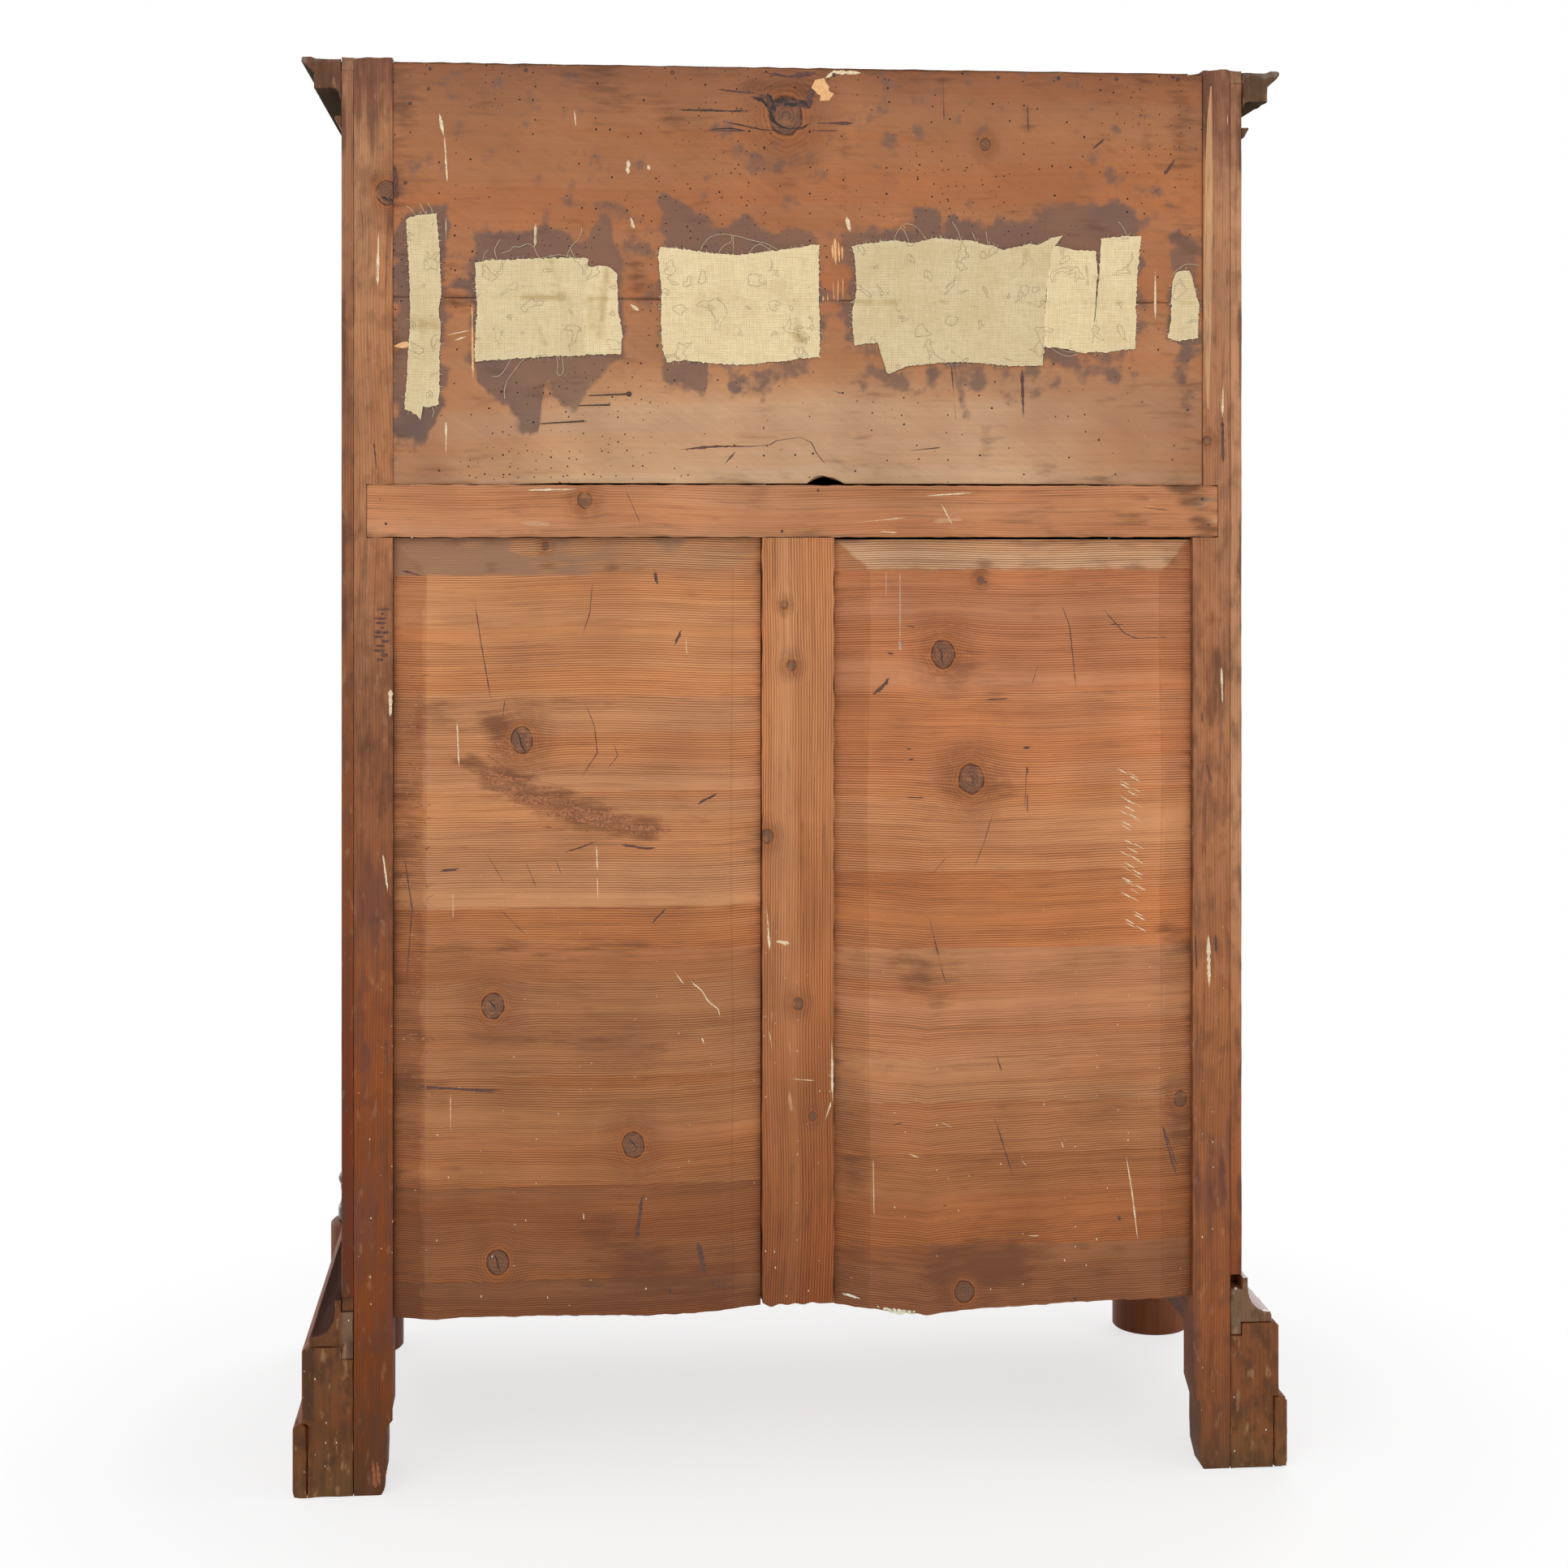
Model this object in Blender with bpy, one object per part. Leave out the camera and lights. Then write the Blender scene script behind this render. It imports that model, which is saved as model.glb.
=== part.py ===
"""A tall chiffonier with a frieze drawer over two doors, between full columns.

Metres, +Z up. The front faces -Y and the plain pine back faces +Y. Left and right are as
seen from the front, so left is -X. Depths are measured forward from the back plane.
"""

import math

import bmesh
import bpy

# Fits between pieces
SEAT = 0.0003
REVEAL = 0.0015
COLUMN_GAP = 0.003
PIN_CLEARANCE = 0.00035
KEY_CLEARANCE = 0.0007
BOLT_CLEARANCE = 0.0003
PANEL_CLEARANCE = 0.0005

# Carcase
CARCASE_WIDTH = 1.000
CARCASE_DEPTH = 0.504
TOP_FACE = 1.570
TOP_THICK = 0.0142
SIDE_THICK = 0.013
HOUSING = 0.005
POST_WIDTH = 0.032
POST_DEPTH = 0.045

# Back frame
STILE_WIDTH = 0.042
STILE_DEPTH = 0.045
STILE_RISE = 0.0015
LEG_STEP_HEIGHT = 0.075
LEG_STEP = 0.005
LEG_CHAMFER = 0.012
BACK_FRAME_THICK = 0.025
MID_RAIL_LOW = 1.046
MID_RAIL_TALL = 0.058
LAP_LENGTH = 0.028
LAP_DEPTH = 0.0125
MUNTIN_WIDTH = 0.081
MUNTIN_LOW = 0.195

# Back boards and panels
BACK_BOARD_SET = 0.003
BACK_BOARD_THICK = 0.018
BACK_BOARD_DROP = 0.005
UPPER_BOARD_TALL = 0.256
LEFT_REBATE = 0.011
TONGUE_SET = 0.010
TONGUE_THICK = 0.008
TONGUE_LENGTH = 0.007
PANEL_SET = 0.003
TOP_BEVEL = 0.040
SIDE_BEVEL = 0.034
# Worn lower edges of the panels: distance out from the middle of the back, and height
PANEL_FEET = {
    "left": ((0.030, 0.196), (0.090, 0.191), (0.142, 0.1805), (0.280, 0.182), (0.460, 0.183)),
    "right": ((0.030, 0.1955), (0.250, 0.1945), (0.460, 0.1925)),
}

# Base
PLINTH_TALL = 0.164
PLINTH_PROJECTION = 0.043
PLINTH_EASE = 0.003
STRIP_TALL = 0.080
STRIP_PROJECTION = 0.053
STRIP_THICK = 0.016
STRIP_EASE = 0.004
FLOOR_EASE = 0.002
BACK_FOOT_LENGTH = 0.110
APRON_HEIGHT = 0.100
APRON_CURVE = 0.055
FRONT_ARCH_RISE = 0.014
COVE_TALL = 0.051
COVE_PROJECTION = 0.035
COVE_EDGE = 0.0072
COVE_FOOT = 0.012
COVE_ROUND = 0.0045
COVE_FILLET = 0.0075
COVE_FILLET_TALL = 0.012
COVE_TONGUE = 0.0137
SIDE_LET_IN = 0.013
SLOT_TALL = 0.016
SLOT_LENGTH = 0.030
BOTTOM_THICK = 0.0175

# Columns at the front corners
COLUMN_OUT = 0.016
BLOCK_RADIUS = 0.043
BLOCK_FOOT_RADIUS = 0.050
BASE_RADIUS = 0.0335
BASE_TALL = 0.068
BASE_BEAD = 0.009
SHAFT_FOOT_RADIUS = 0.0285
SHAFT_NECK_RADIUS = 0.024
CAPITAL_RADIUS = 0.0285
CAPITAL_TALL = 0.070
CAPITAL_RING = 0.008

# Cornice and neck moulding
CORNICE_TALL = 0.047
BED_PROJECTION = 0.008
BED_TALL = 0.012
SOFFIT_PROJECTION = 0.030
LIP_PROJECTION = 0.044
LIP_TALL = 0.018
CORNICE_DROP = 0.002
NECK_GAP = 0.017
NECK_TALL = 0.0125
NECK_PROJECTION = 0.008

# Front rails and dust board
DRAWER_OPENING = 0.1105
DRAWER_RAIL_TALL = 0.022
FRIEZE_RAIL_THICK = 0.025
DUST_THICK = 0.012

# Doors
DOOR_THICK = 0.022
DOOR_MEMBER = 0.075
DOOR_SPLAY = 0.008
DOOR_PANEL_THICK = 0.012
DOOR_REBATE = 0.008
PIN_RADIUS = 0.003
PIN_IN_DOOR = 0.015
PIN_IN_RAIL = 0.010

# Lock and key
LOCK_HEIGHT = 0.786
LOCK_WIDTH = 0.046
LOCK_TALL = 0.066
LOCK_THICK = 0.012
LOCK_WALL = 0.0015
BOLT_THICK = 0.0055
BOLT_TALL = 0.0115
BOLT_LENGTH = 0.034
BOLT_THROW = 0.010
BOLT_ABOVE_KEY = 0.021
KEY_INSET = 0.027
KEY_DROP = 0.011
KEY_SHANK_RADIUS = 0.0028
KEY_BOW_RADIUS = 0.0115
KEY_BOW_WIRE = 0.0022
KEY_REACH = 0.024
KEY_BIT_LENGTH = 0.009
KEY_BIT_THICK = 0.002
KEY_BIT_WIDE = 0.004

# Drawer
DRAWER_FRONT_THICK = 0.020
DRAWER_LIP = 0.006
DRAWER_SWELL = 0.012
DRAWER_SPACE = 0.060
DRAWER_SIDE_THICK = 0.012
DRAWER_SIDE_TALL = 0.092
DRAWER_BACK_THICK = 0.010
DRAWER_BACK_DROP = 0.006
DRAWER_BOTTOM_THICK = 0.007
DRAWER_BOTTOM_RISE = 0.006
DRAWER_GROOVE = 0.004

# Shelves
SHELF_THICK = 0.018
LOWER_SHELF_HEIGHT = 0.600
UPPER_SHELF_HEIGHT = 0.980

# Linen patches: middle across and width as shares of the boards' reach to the left, then middle above the
# boards' joint and height as shares of the upper board's height
LINEN_THICK = 0.0006
LINEN_PATCHES = (
    (0.904, 0.085, -0.082, 0.867),
    (0.606, 0.354, -0.055, 0.438),
    (0.143, 0.390, -0.027, 0.500),
    (-0.431, 0.594, -0.023, 0.555),
    (-0.785, 0.105, 0.035, 0.500),
    (-0.957, 0.083, -0.012, 0.305),
)

# What follows from the sizes above
COLUMN_X = CARCASE_WIDTH / 2 + COLUMN_OUT
COLUMN_DEPTH = CARCASE_DEPTH + COLUMN_OUT
BACK_Y = (COLUMN_DEPTH + BLOCK_FOOT_RADIUS) / 2
HALF = CARCASE_WIDTH / 2
INNER = HALF - SIDE_THICK
STILE_OUT = INNER - SEAT
STILE_IN = STILE_OUT - STILE_WIDTH
BOARD_REACH = STILE_IN + LEFT_REBATE
STILE_TOP = TOP_FACE + STILE_RISE
SIDE_TOP = TOP_FACE - TOP_THICK - SEAT
MID_RAIL_HIGH = MID_RAIL_LOW + MID_RAIL_TALL
BACK_BOARD_TOP = TOP_FACE - BACK_BOARD_DROP
BOARD_JOINT = BACK_BOARD_TOP - UPPER_BOARD_TALL
PANEL_CUT = min(height for foot in PANEL_FEET.values() for _, height in foot) - SIDE_BEVEL
POST_IN = STILE_OUT - POST_WIDTH
POST_BACK = CARCASE_DEPTH - POST_DEPTH
COVE_HIGH = PLINTH_TALL + COVE_TALL
SIDE_FOOT = COVE_HIGH - SIDE_LET_IN
BOTTOM_HIGH = COVE_HIGH - SEAT
BOTTOM_LOW = BOTTOM_HIGH - BOTTOM_THICK
BLOCK_TOP = PLINTH_TALL - 2 * SEAT
BASE_TOP = BLOCK_TOP + SEAT + BASE_TALL
CORNICE_LOW = TOP_FACE - CORNICE_TALL
SOFFIT = CORNICE_LOW + BED_TALL
NECK_LOW = CORNICE_LOW - NECK_GAP - NECK_TALL
RAIL_HIGH = NECK_LOW - DRAWER_OPENING
DOOR_TOP = RAIL_HIGH - DRAWER_RAIL_TALL
DOOR_LOW = BOTTOM_HIGH + REVEAL
DOOR_HIGH = DOOR_TOP - REVEAL
DOOR_FRONT = CARCASE_DEPTH - REVEAL
DOOR_BACK = DOOR_FRONT - DOOR_THICK
DOOR_HINGE_EDGE = POST_IN - REVEAL
DOOR_LOCK_EDGE = REVEAL / 2
PIVOT_X = DOOR_HINGE_EDGE - DOOR_THICK / 2
PIVOT_DEPTH = DOOR_FRONT - DOOR_THICK / 2
LOCK_MIDDLE = DOOR_BACK + LOCK_THICK / 2
KEY_X = DOOR_LOCK_EDGE + KEY_INSET
KEY_Z = LOCK_HEIGHT - KEY_DROP
HOUSED_BOARDS = (
    ("shelf_lower", LOWER_SHELF_HEIGHT, SHELF_THICK),
    ("shelf_upper", UPPER_SHELF_HEIGHT, SHELF_THICK),
    ("dust_board", RAIL_HIGH - DUST_THICK, DUST_THICK),
)
SIDES = (("left", -1), ("right", 1))
TURNED_SIDES = 40
ROD_SIDES = 20

# Finishes: colour, roughness, metallic
FINISHES = {
    "pine_back": ((0.49, 0.22, 0.10), 0.75, 0.0),
    "pine_base": ((0.22, 0.12, 0.07), 0.75, 0.0),
    "veneer": ((0.19, 0.065, 0.03), 0.25, 0.0),
    "ebonised": ((0.02, 0.017, 0.015), 0.3, 0.0),
    "pine_inside": ((0.50, 0.31, 0.16), 0.7, 0.0),
    "iron": ((0.10, 0.09, 0.085), 0.45, 1.0),
    "brass": ((0.60, 0.42, 0.17), 0.35, 1.0),
    "linen": ((0.70, 0.57, 0.30), 0.9, 0.0),
}


def at(x, depth, z):
    """A point from its distance across, its depth in front of the back plane and its height."""
    return (x, BACK_Y - depth, z)


def span(side, near, far):
    """Limits across, in rising order, for the left (-1) or the right (1)."""
    return tuple(sorted((side * near, side * far)))


def mirrored(points, side):
    """An outline of (across, other) points for the left (-1) or the right (1)."""
    return [(side * x, other) for x, other in points]


def both_sides(right):
    """An outline that is the same on the left, from its points on the right."""
    return list(right) + [(-x, other) for x, other in reversed(right)]


def arc(centre, radii, start, stop, steps):
    """Points on an ellipse, between two angles in degrees."""
    points = []
    for i in range(steps + 1):
        angle = math.radians(start + (stop - start) * i / steps)
        points.append((centre[0] + radii[0] * math.cos(angle), centre[1] + radii[1] * math.sin(angle)))
    return points


def finish_of(name):
    """The material of a finish, made once."""
    found = bpy.data.materials.get(name)
    if found:
        return found
    colour, roughness, metallic = FINISHES[name]
    made = bpy.data.materials.new(name)
    made.use_nodes = True
    shader = made.node_tree.nodes["Principled BSDF"]
    shader.inputs["Base Color"].default_value = (*colour, 1.0)
    shader.inputs["Roughness"].default_value = roughness
    shader.inputs["Metallic"].default_value = metallic
    return made


def piece_from(name, builder, finish):
    """An object from a bmesh, with its faces turned outwards and its finish on."""
    bmesh.ops.recalc_face_normals(builder, faces=builder.faces)
    mesh = bpy.data.meshes.new(name)
    builder.to_mesh(mesh)
    builder.free()
    piece = bpy.data.objects.new(name, mesh)
    bpy.context.scene.collection.objects.link(piece)
    mesh.materials.append(finish_of(finish))
    return piece


def soften(piece):
    """Smooth shading, with the true edges kept sharp."""
    piece.data.shade_smooth()
    piece.data.set_sharp_from_angle(angle=math.radians(35))
    return piece


def skin(name, rings, finish, closed=False):
    """A solid through matching rings of points: capped at its ends, or closed on itself."""
    builder = bmesh.new()
    made = [[builder.verts.new(point) for point in ring] for ring in rings]
    count = len(rings[0])
    pairs = list(zip(made, made[1:]))
    if closed:
        pairs.append((made[-1], made[0]))
    else:
        builder.faces.new(made[0])
        builder.faces.new(made[-1])
    for low, high in pairs:
        for i in range(count):
            j = (i + 1) % count
            builder.faces.new((low[i], low[j], high[j], high[i]))
    return piece_from(name, builder, finish)


def upright(name, outline, heights, finish):
    """A plan outline of (across, depth) points, raised between two heights."""
    return skin(name, [[at(x, d, z) for x, d in outline] for z in heights], finish)


def sideways(name, outline, limits, finish):
    """A section of (depth, height) points, drawn out from side to side."""
    return skin(name, [[at(x, d, z) for d, z in outline] for x in limits], finish)


def forward(name, outline, depths, finish):
    """A section of (across, height) points, drawn out from back to front."""
    return skin(name, [[at(x, d, z) for x, z in outline] for d in depths], finish)


def board(name, across, depth, height, finish):
    """A plain squared board between pairs of limits."""
    outline = [(across[0], depth[0]), (across[1], depth[0]), (across[1], depth[1]), (across[0], depth[1])]
    return upright(name, outline, height, finish)


def turned(name, profile, side, finish):
    """A turned piece on a column's axis, from (radius, height) points, bottom to top."""
    x, y, _ = at(side * COLUMN_X, COLUMN_DEPTH, 0.0)
    rings = []
    for radius, z in profile:
        angles = [2 * math.pi * i / TURNED_SIDES for i in range(TURNED_SIDES)]
        rings.append([(x + radius * math.cos(angle), y + radius * math.sin(angle), z) for angle in angles])
    return soften(skin(name, rings, finish))


def upright_rod(name, radius, x, depth, heights, finish):
    """A round rod standing upright."""
    angles = [2 * math.pi * i / ROD_SIDES for i in range(ROD_SIDES)]
    outline = [(x + radius * math.cos(angle), depth + radius * math.sin(angle)) for angle in angles]
    return soften(upright(name, outline, heights, finish))


def forward_rod(name, radius, x, z, depths, finish):
    """A round rod lying from back to front."""
    angles = [2 * math.pi * i / ROD_SIDES for i in range(ROD_SIDES)]
    outline = [(x + radius * math.cos(angle), z + radius * math.sin(angle)) for angle in angles]
    return soften(forward(name, outline, depths, finish))


def shape_with(piece, tool, operation):
    """A Boolean of a piece with a tool solid, which stays hidden and goes where the piece goes."""
    tool.hide_render = True
    tool.display_type = "WIRE"
    tool.parent = piece
    modifier = piece.modifiers.new(tool.name, "BOOLEAN")
    modifier.operation = operation
    modifier.object = tool


def cut(piece, tool):
    """Takes the tool's solid out of the piece."""
    shape_with(piece, tool, "DIFFERENCE")


def join(piece, tool):
    """Adds the tool's solid to the piece."""
    shape_with(piece, tool, "UNION")


def hang(name, place, pieces):
    """Carries moving pieces on an empty at a point of their joint's axis."""
    holder = bpy.data.objects.new(name, None)
    bpy.context.scene.collection.objects.link(holder)
    holder.location = place
    for piece in pieces:
        piece.parent = holder
        piece.location = [-value for value in place]


# Back frame


def back_stile(word, side):
    """A back post that runs down as the leg, grooved for the panel and notched for the rail's lap."""
    name = "back_stile_" + word
    outline = [
        (STILE_IN + LEG_STEP, LEG_CHAMFER),
        (STILE_IN + LEG_STEP, LEG_STEP_HEIGHT),
        (STILE_IN, LEG_STEP_HEIGHT + LEG_STEP),
        (STILE_IN, STILE_TOP),
        (STILE_OUT, STILE_TOP),
        (STILE_OUT, 0.0),
        (STILE_IN + LEG_STEP + LEG_CHAMFER, 0.0),
    ]
    stile = forward(name, mirrored(outline, side), (0.0, STILE_DEPTH), "pine_back")
    groove = board(
        name + "_groove",
        span(side, STILE_IN - TONGUE_LENGTH, STILE_IN + TONGUE_LENGTH + SEAT),
        (TONGUE_SET - SEAT, TONGUE_SET + TONGUE_THICK + SEAT),
        (PANEL_CUT, MID_RAIL_LOW + TONGUE_LENGTH + SEAT),
        "pine_back",
    )
    notch = board(
        name + "_notch",
        span(side, STILE_IN - LAP_LENGTH, STILE_IN + LAP_LENGTH + SEAT),
        (-LAP_DEPTH, LAP_DEPTH + SEAT),
        (MID_RAIL_LOW - SEAT, MID_RAIL_HIGH + SEAT),
        "pine_back",
    )
    cut(stile, groove)
    cut(stile, notch)
    if side < 0:
        rebate = board(
            name + "_rebate",
            span(side, STILE_IN - LEFT_REBATE, STILE_IN + LEFT_REBATE),
            (-BACK_BOARD_SET, BACK_BOARD_SET + BACK_BOARD_THICK + SEAT),
            (MID_RAIL_HIGH, STILE_TOP + LEFT_REBATE),
            "pine_back",
        )
        cut(stile, rebate)


def back_mid_rail():
    """The rail across the back, lapped over the stiles and grooved below for the panels."""
    height = (MID_RAIL_LOW, MID_RAIL_HIGH)
    body = STILE_IN - SEAT
    lap = STILE_IN + LAP_LENGTH
    groove_end = STILE_IN + TONGUE_LENGTH + SEAT
    rail = board("back_mid_rail", (-body, body), (0.0, BACK_FRAME_THICK), height, "pine_back")
    laps = board("mid_rail_laps", (-lap, lap), (0.0, LAP_DEPTH), height, "pine_back")
    groove = board(
        "mid_rail_groove",
        (-groove_end, groove_end),
        (TONGUE_SET - SEAT, TONGUE_SET + TONGUE_THICK + SEAT),
        (MID_RAIL_LOW - TONGUE_LENGTH, MID_RAIL_LOW + TONGUE_LENGTH + SEAT),
        "pine_back",
    )
    join(rail, laps)
    cut(rail, groove)


def back_muntin():
    """The upright between the panels, grooved on both edges."""
    half = MUNTIN_WIDTH / 2
    bed = half - TONGUE_LENGTH - SEAT
    near = TONGUE_SET - SEAT
    far = TONGUE_SET + TONGUE_THICK + SEAT
    right = [(half, 0.0), (half, near), (bed, near), (bed, far), (half, far), (half, BACK_FRAME_THICK)]
    upright("back_muntin", both_sides(right), (MUNTIN_LOW, MID_RAIL_LOW - SEAT), "pine_back")


def back_panel(word, side):
    """A fielded panel, tongued into the muntin, the rail and the stile, with a worn free lower edge."""
    name = "back_panel_" + word
    near = MUNTIN_WIDTH / 2
    far = STILE_IN
    inner = TONGUE_SET + TONGUE_THICK
    panel = board(
        name,
        span(side, near - TONGUE_LENGTH, far + TONGUE_LENGTH),
        (TONGUE_SET, inner),
        (PANEL_CUT, MID_RAIL_LOW + TONGUE_LENGTH),
        "pine_back",
    )
    edges = (near + SEAT, far - SEAT, MID_RAIL_LOW - SEAT)
    field = (near + SIDE_BEVEL, far - SIDE_BEVEL, MID_RAIL_LOW - TOP_BEVEL)
    rings = []
    for (left, right, top), depth in ((edges, inner - SEAT), (edges, TONGUE_SET), (field, PANEL_SET)):
        corners = [(left, PANEL_CUT), (right, PANEL_CUT), (right, top), (left, top)]
        rings.append([at(side * x, depth, z) for x, z in corners])
    join(panel, skin(name + "_field", rings, "pine_back"))
    foot = PANEL_FEET[word]
    below = PANEL_CUT - SIDE_BEVEL
    outline = list(foot) + [(foot[-1][0], below), (foot[0][0], below)]
    cut(panel, forward(name + "_foot", mirrored(outline, side), (-PANEL_SET, BACK_FRAME_THICK), "pine_back"))


def back_boards():
    """The two wide boards above the rail, butted together and let into the left stile."""
    limits = (-BOARD_REACH + SEAT, STILE_IN - SEAT)
    depth = (BACK_BOARD_SET, BACK_BOARD_SET + BACK_BOARD_THICK)
    board("back_board_lower", limits, depth, (MID_RAIL_HIGH + SEAT, BOARD_JOINT - SEAT), "pine_back")
    board("back_board_upper", limits, depth, (BOARD_JOINT, BACK_BOARD_TOP), "pine_back")


def linen_patches():
    """Thin cloth strips glued over the joint of the upper boards."""
    depth = (BACK_BOARD_SET - SEAT - LINEN_THICK, BACK_BOARD_SET - SEAT)
    for number, (middle, width, above, tall) in enumerate(LINEN_PATCHES, 1):
        limits = ((middle - width / 2) * BOARD_REACH, (middle + width / 2) * BOARD_REACH)
        heights = [BOARD_JOINT + (above + share * tall) * UPPER_BOARD_TALL for share in (-0.5, 0.5)]
        board(f"linen_patch_{number}", limits, depth, heights, "linen")


# Carcase


def column_room(name, side, radius, low, high):
    """A round tool on a column's axis, for what stands against it."""
    return turned(name, [(radius, low), (radius, high)], side, "veneer")


def side_board(word, side):
    """A side of the carcase, housed for the boards inside and hollowed at the front for the column."""
    name = "side_board_" + word
    piece = board(name, span(side, INNER, HALF), (0.0, CARCASE_DEPTH), (SIDE_FOOT + SEAT, SIDE_TOP), "veneer")
    slot = board(
        name + "_slot",
        span(side, INNER - SIDE_THICK, HALF + SIDE_THICK),
        (-SLOT_LENGTH, SLOT_LENGTH),
        (SIDE_FOOT - SLOT_TALL, SIDE_FOOT + SLOT_TALL),
        "veneer",
    )
    cut(piece, slot)
    for label, low, thick in HOUSED_BOARDS:
        housing = board(
            name + "_" + label,
            span(side, INNER - HOUSING, INNER + HOUSING + SEAT),
            (STILE_DEPTH, POST_BACK + SEAT),
            (low - SEAT, low + thick + SEAT),
            "veneer",
        )
        cut(piece, housing)
    cut(piece, column_room(name + "_hollow", side, BASE_RADIUS + COLUMN_GAP, PLINTH_TALL, STILE_TOP))


def level_board(name, heights, back, corners, finish):
    """A level board cut round the back stiles; the corners give its edge from the stiles forward."""
    shoulder = STILE_DEPTH + SEAT
    near = STILE_IN - SEAT
    right = [(near, back), (near, shoulder), (corners[0][0], shoulder), *corners]
    return upright(name, both_sides(right), heights, finish)


def housed_boards():
    """The two shelves and the dust board, held in the side boards' housings."""
    reach = INNER + HOUSING - SEAT
    for label, low, thick in HOUSED_BOARDS:
        level_board(label, (low, low + thick), BACK_FRAME_THICK + SEAT, [(reach, POST_BACK)], "pine_inside")


def bottom_board():
    """The cupboard's floor, narrower where the posts stand on it and bored for the lower pins."""
    wide = INNER - SEAT
    narrow = POST_IN + POST_WIDTH - COLUMN_GAP - SEAT
    corners = [(wide, POST_BACK), (narrow, POST_BACK), (narrow, CARCASE_DEPTH - SEAT)]
    heights = (BOTTOM_LOW, BOTTOM_HIGH)
    piece = level_board("bottom_board", heights, BACK_FRAME_THICK + SEAT, corners, "pine_inside")
    for word, side in SIDES:
        cut(piece, pin_hole("bottom_pin_hole_" + word, side, BOTTOM_HIGH, PIN_IN_RAIL))


def top_board():
    """The top, resting on the side boards and the frieze rail."""
    back = BACK_BOARD_SET + BACK_BOARD_THICK + SEAT
    corners = [(HALF - SEAT, CARCASE_DEPTH - SEAT)]
    level_board("top_board", (TOP_FACE - TOP_THICK, TOP_FACE), back, corners, "pine_back")


def front_post(word, side):
    """A post between a door and the column, with its outer corner cut back from the column."""
    reach = (BASE_RADIUS + COLUMN_GAP) * math.sqrt(2)
    corner = COLUMN_X + COLUMN_DEPTH - reach
    outline = [
        (POST_IN, POST_BACK + SEAT),
        (STILE_OUT, POST_BACK + SEAT),
        (STILE_OUT, corner - STILE_OUT),
        (corner - CARCASE_DEPTH, CARCASE_DEPTH),
        (POST_IN, CARCASE_DEPTH),
    ]
    upright("front_post_" + word, mirrored(outline, side), (BOTTOM_HIGH + SEAT, NECK_LOW - SEAT), "veneer")


def drawer_rail():
    """The rail between the drawer and the doors, bored for the upper pivot pins."""
    half = POST_IN - SEAT
    depth = (POST_BACK + SEAT, CARCASE_DEPTH)
    rail = board("drawer_rail", (-half, half), depth, (DOOR_TOP, RAIL_HIGH), "veneer")
    for word, side in SIDES:
        cut(rail, pin_hole("rail_pin_hole_" + word, side, DOOR_TOP, PIN_IN_RAIL))


def neck_profile(face):
    """The small moulding under the cornice, as points past a face, from its foot up."""
    shares = ((0.2, 0.0), (0.5, 0.25), (0.7, 0.55), (1.0, 0.85), (0.9, 1.0))
    return [(face + NECK_PROJECTION * out, NECK_LOW + NECK_TALL * up) for out, up in shares]


def frieze_rail():
    """The fixed rail over the drawer, with the neck moulding worked on its face."""
    half = STILE_OUT - NECK_PROJECTION
    back = CARCASE_DEPTH - FRIEZE_RAIL_THICK
    section = [(back, NECK_LOW), *neck_profile(CARCASE_DEPTH)]
    section += [(CARCASE_DEPTH, NECK_LOW + NECK_TALL), (CARCASE_DEPTH, SIDE_TOP), (back, SIDE_TOP)]
    sideways("frieze_rail", section, (-half, half), "veneer")


def neck_moulding(word, side):
    """The neck moulding on a side, stopped short of the column."""
    outline = [(SEAT, NECK_LOW), *neck_profile(0.0), (SEAT, NECK_LOW + NECK_TALL)]
    section = [(side * (HALF + out), z) for out, z in outline]
    stop = COLUMN_DEPTH - BASE_RADIUS - COLUMN_GAP
    forward("neck_moulding_" + word, section, (0.0, stop), "veneer")


# Base


def plinth_section():
    """The side plinth as points past the carcase, rebated for the cove's tongue and for the strip."""
    top = PLINTH_TALL - SEAT
    strip_back = STRIP_PROJECTION - STRIP_THICK - SEAT
    tongue_bed = PLINTH_TALL - COVE_TONGUE - SEAT
    return [
        (-SIDE_THICK, 0.0),
        (strip_back, 0.0),
        (strip_back, STRIP_TALL + SEAT),
        (PLINTH_PROJECTION, STRIP_TALL + SEAT),
        (PLINTH_PROJECTION, top - PLINTH_EASE),
        (PLINTH_PROJECTION - PLINTH_EASE, top),
        (0.0, top),
        (0.0, tongue_bed),
        (-SIDE_THICK, tongue_bed),
    ]


def plinth_side(word, side):
    """A side of the plinth: a back foot, an arch and a hollow end at the corner block."""
    name = "plinth_" + word
    section = [(side * (HALF + out), z) for out, z in plinth_section()]
    plinth = forward(name, section, (0.0, COLUMN_DEPTH), "pine_base")
    spring = (BACK_FOOT_LENGTH + APRON_CURVE, APRON_HEIGHT - APRON_CURVE)
    arch = [(BACK_FOOT_LENGTH, -APRON_HEIGHT)]
    arch += arc(spring, (APRON_CURVE, APRON_CURVE), 180, 90, 8)
    arch += [(COLUMN_DEPTH + BLOCK_RADIUS, APRON_HEIGHT), (COLUMN_DEPTH + BLOCK_RADIUS, -APRON_HEIGHT)]
    limits = span(side, INNER - SIDE_THICK, HALF + STRIP_PROJECTION)
    cut(plinth, sideways(name + "_arch", arch, limits, "pine_base"))
    cut(plinth, column_room(name + "_hollow", side, BLOCK_RADIUS + SEAT, -PLINTH_TALL, 2 * PLINTH_TALL))


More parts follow.
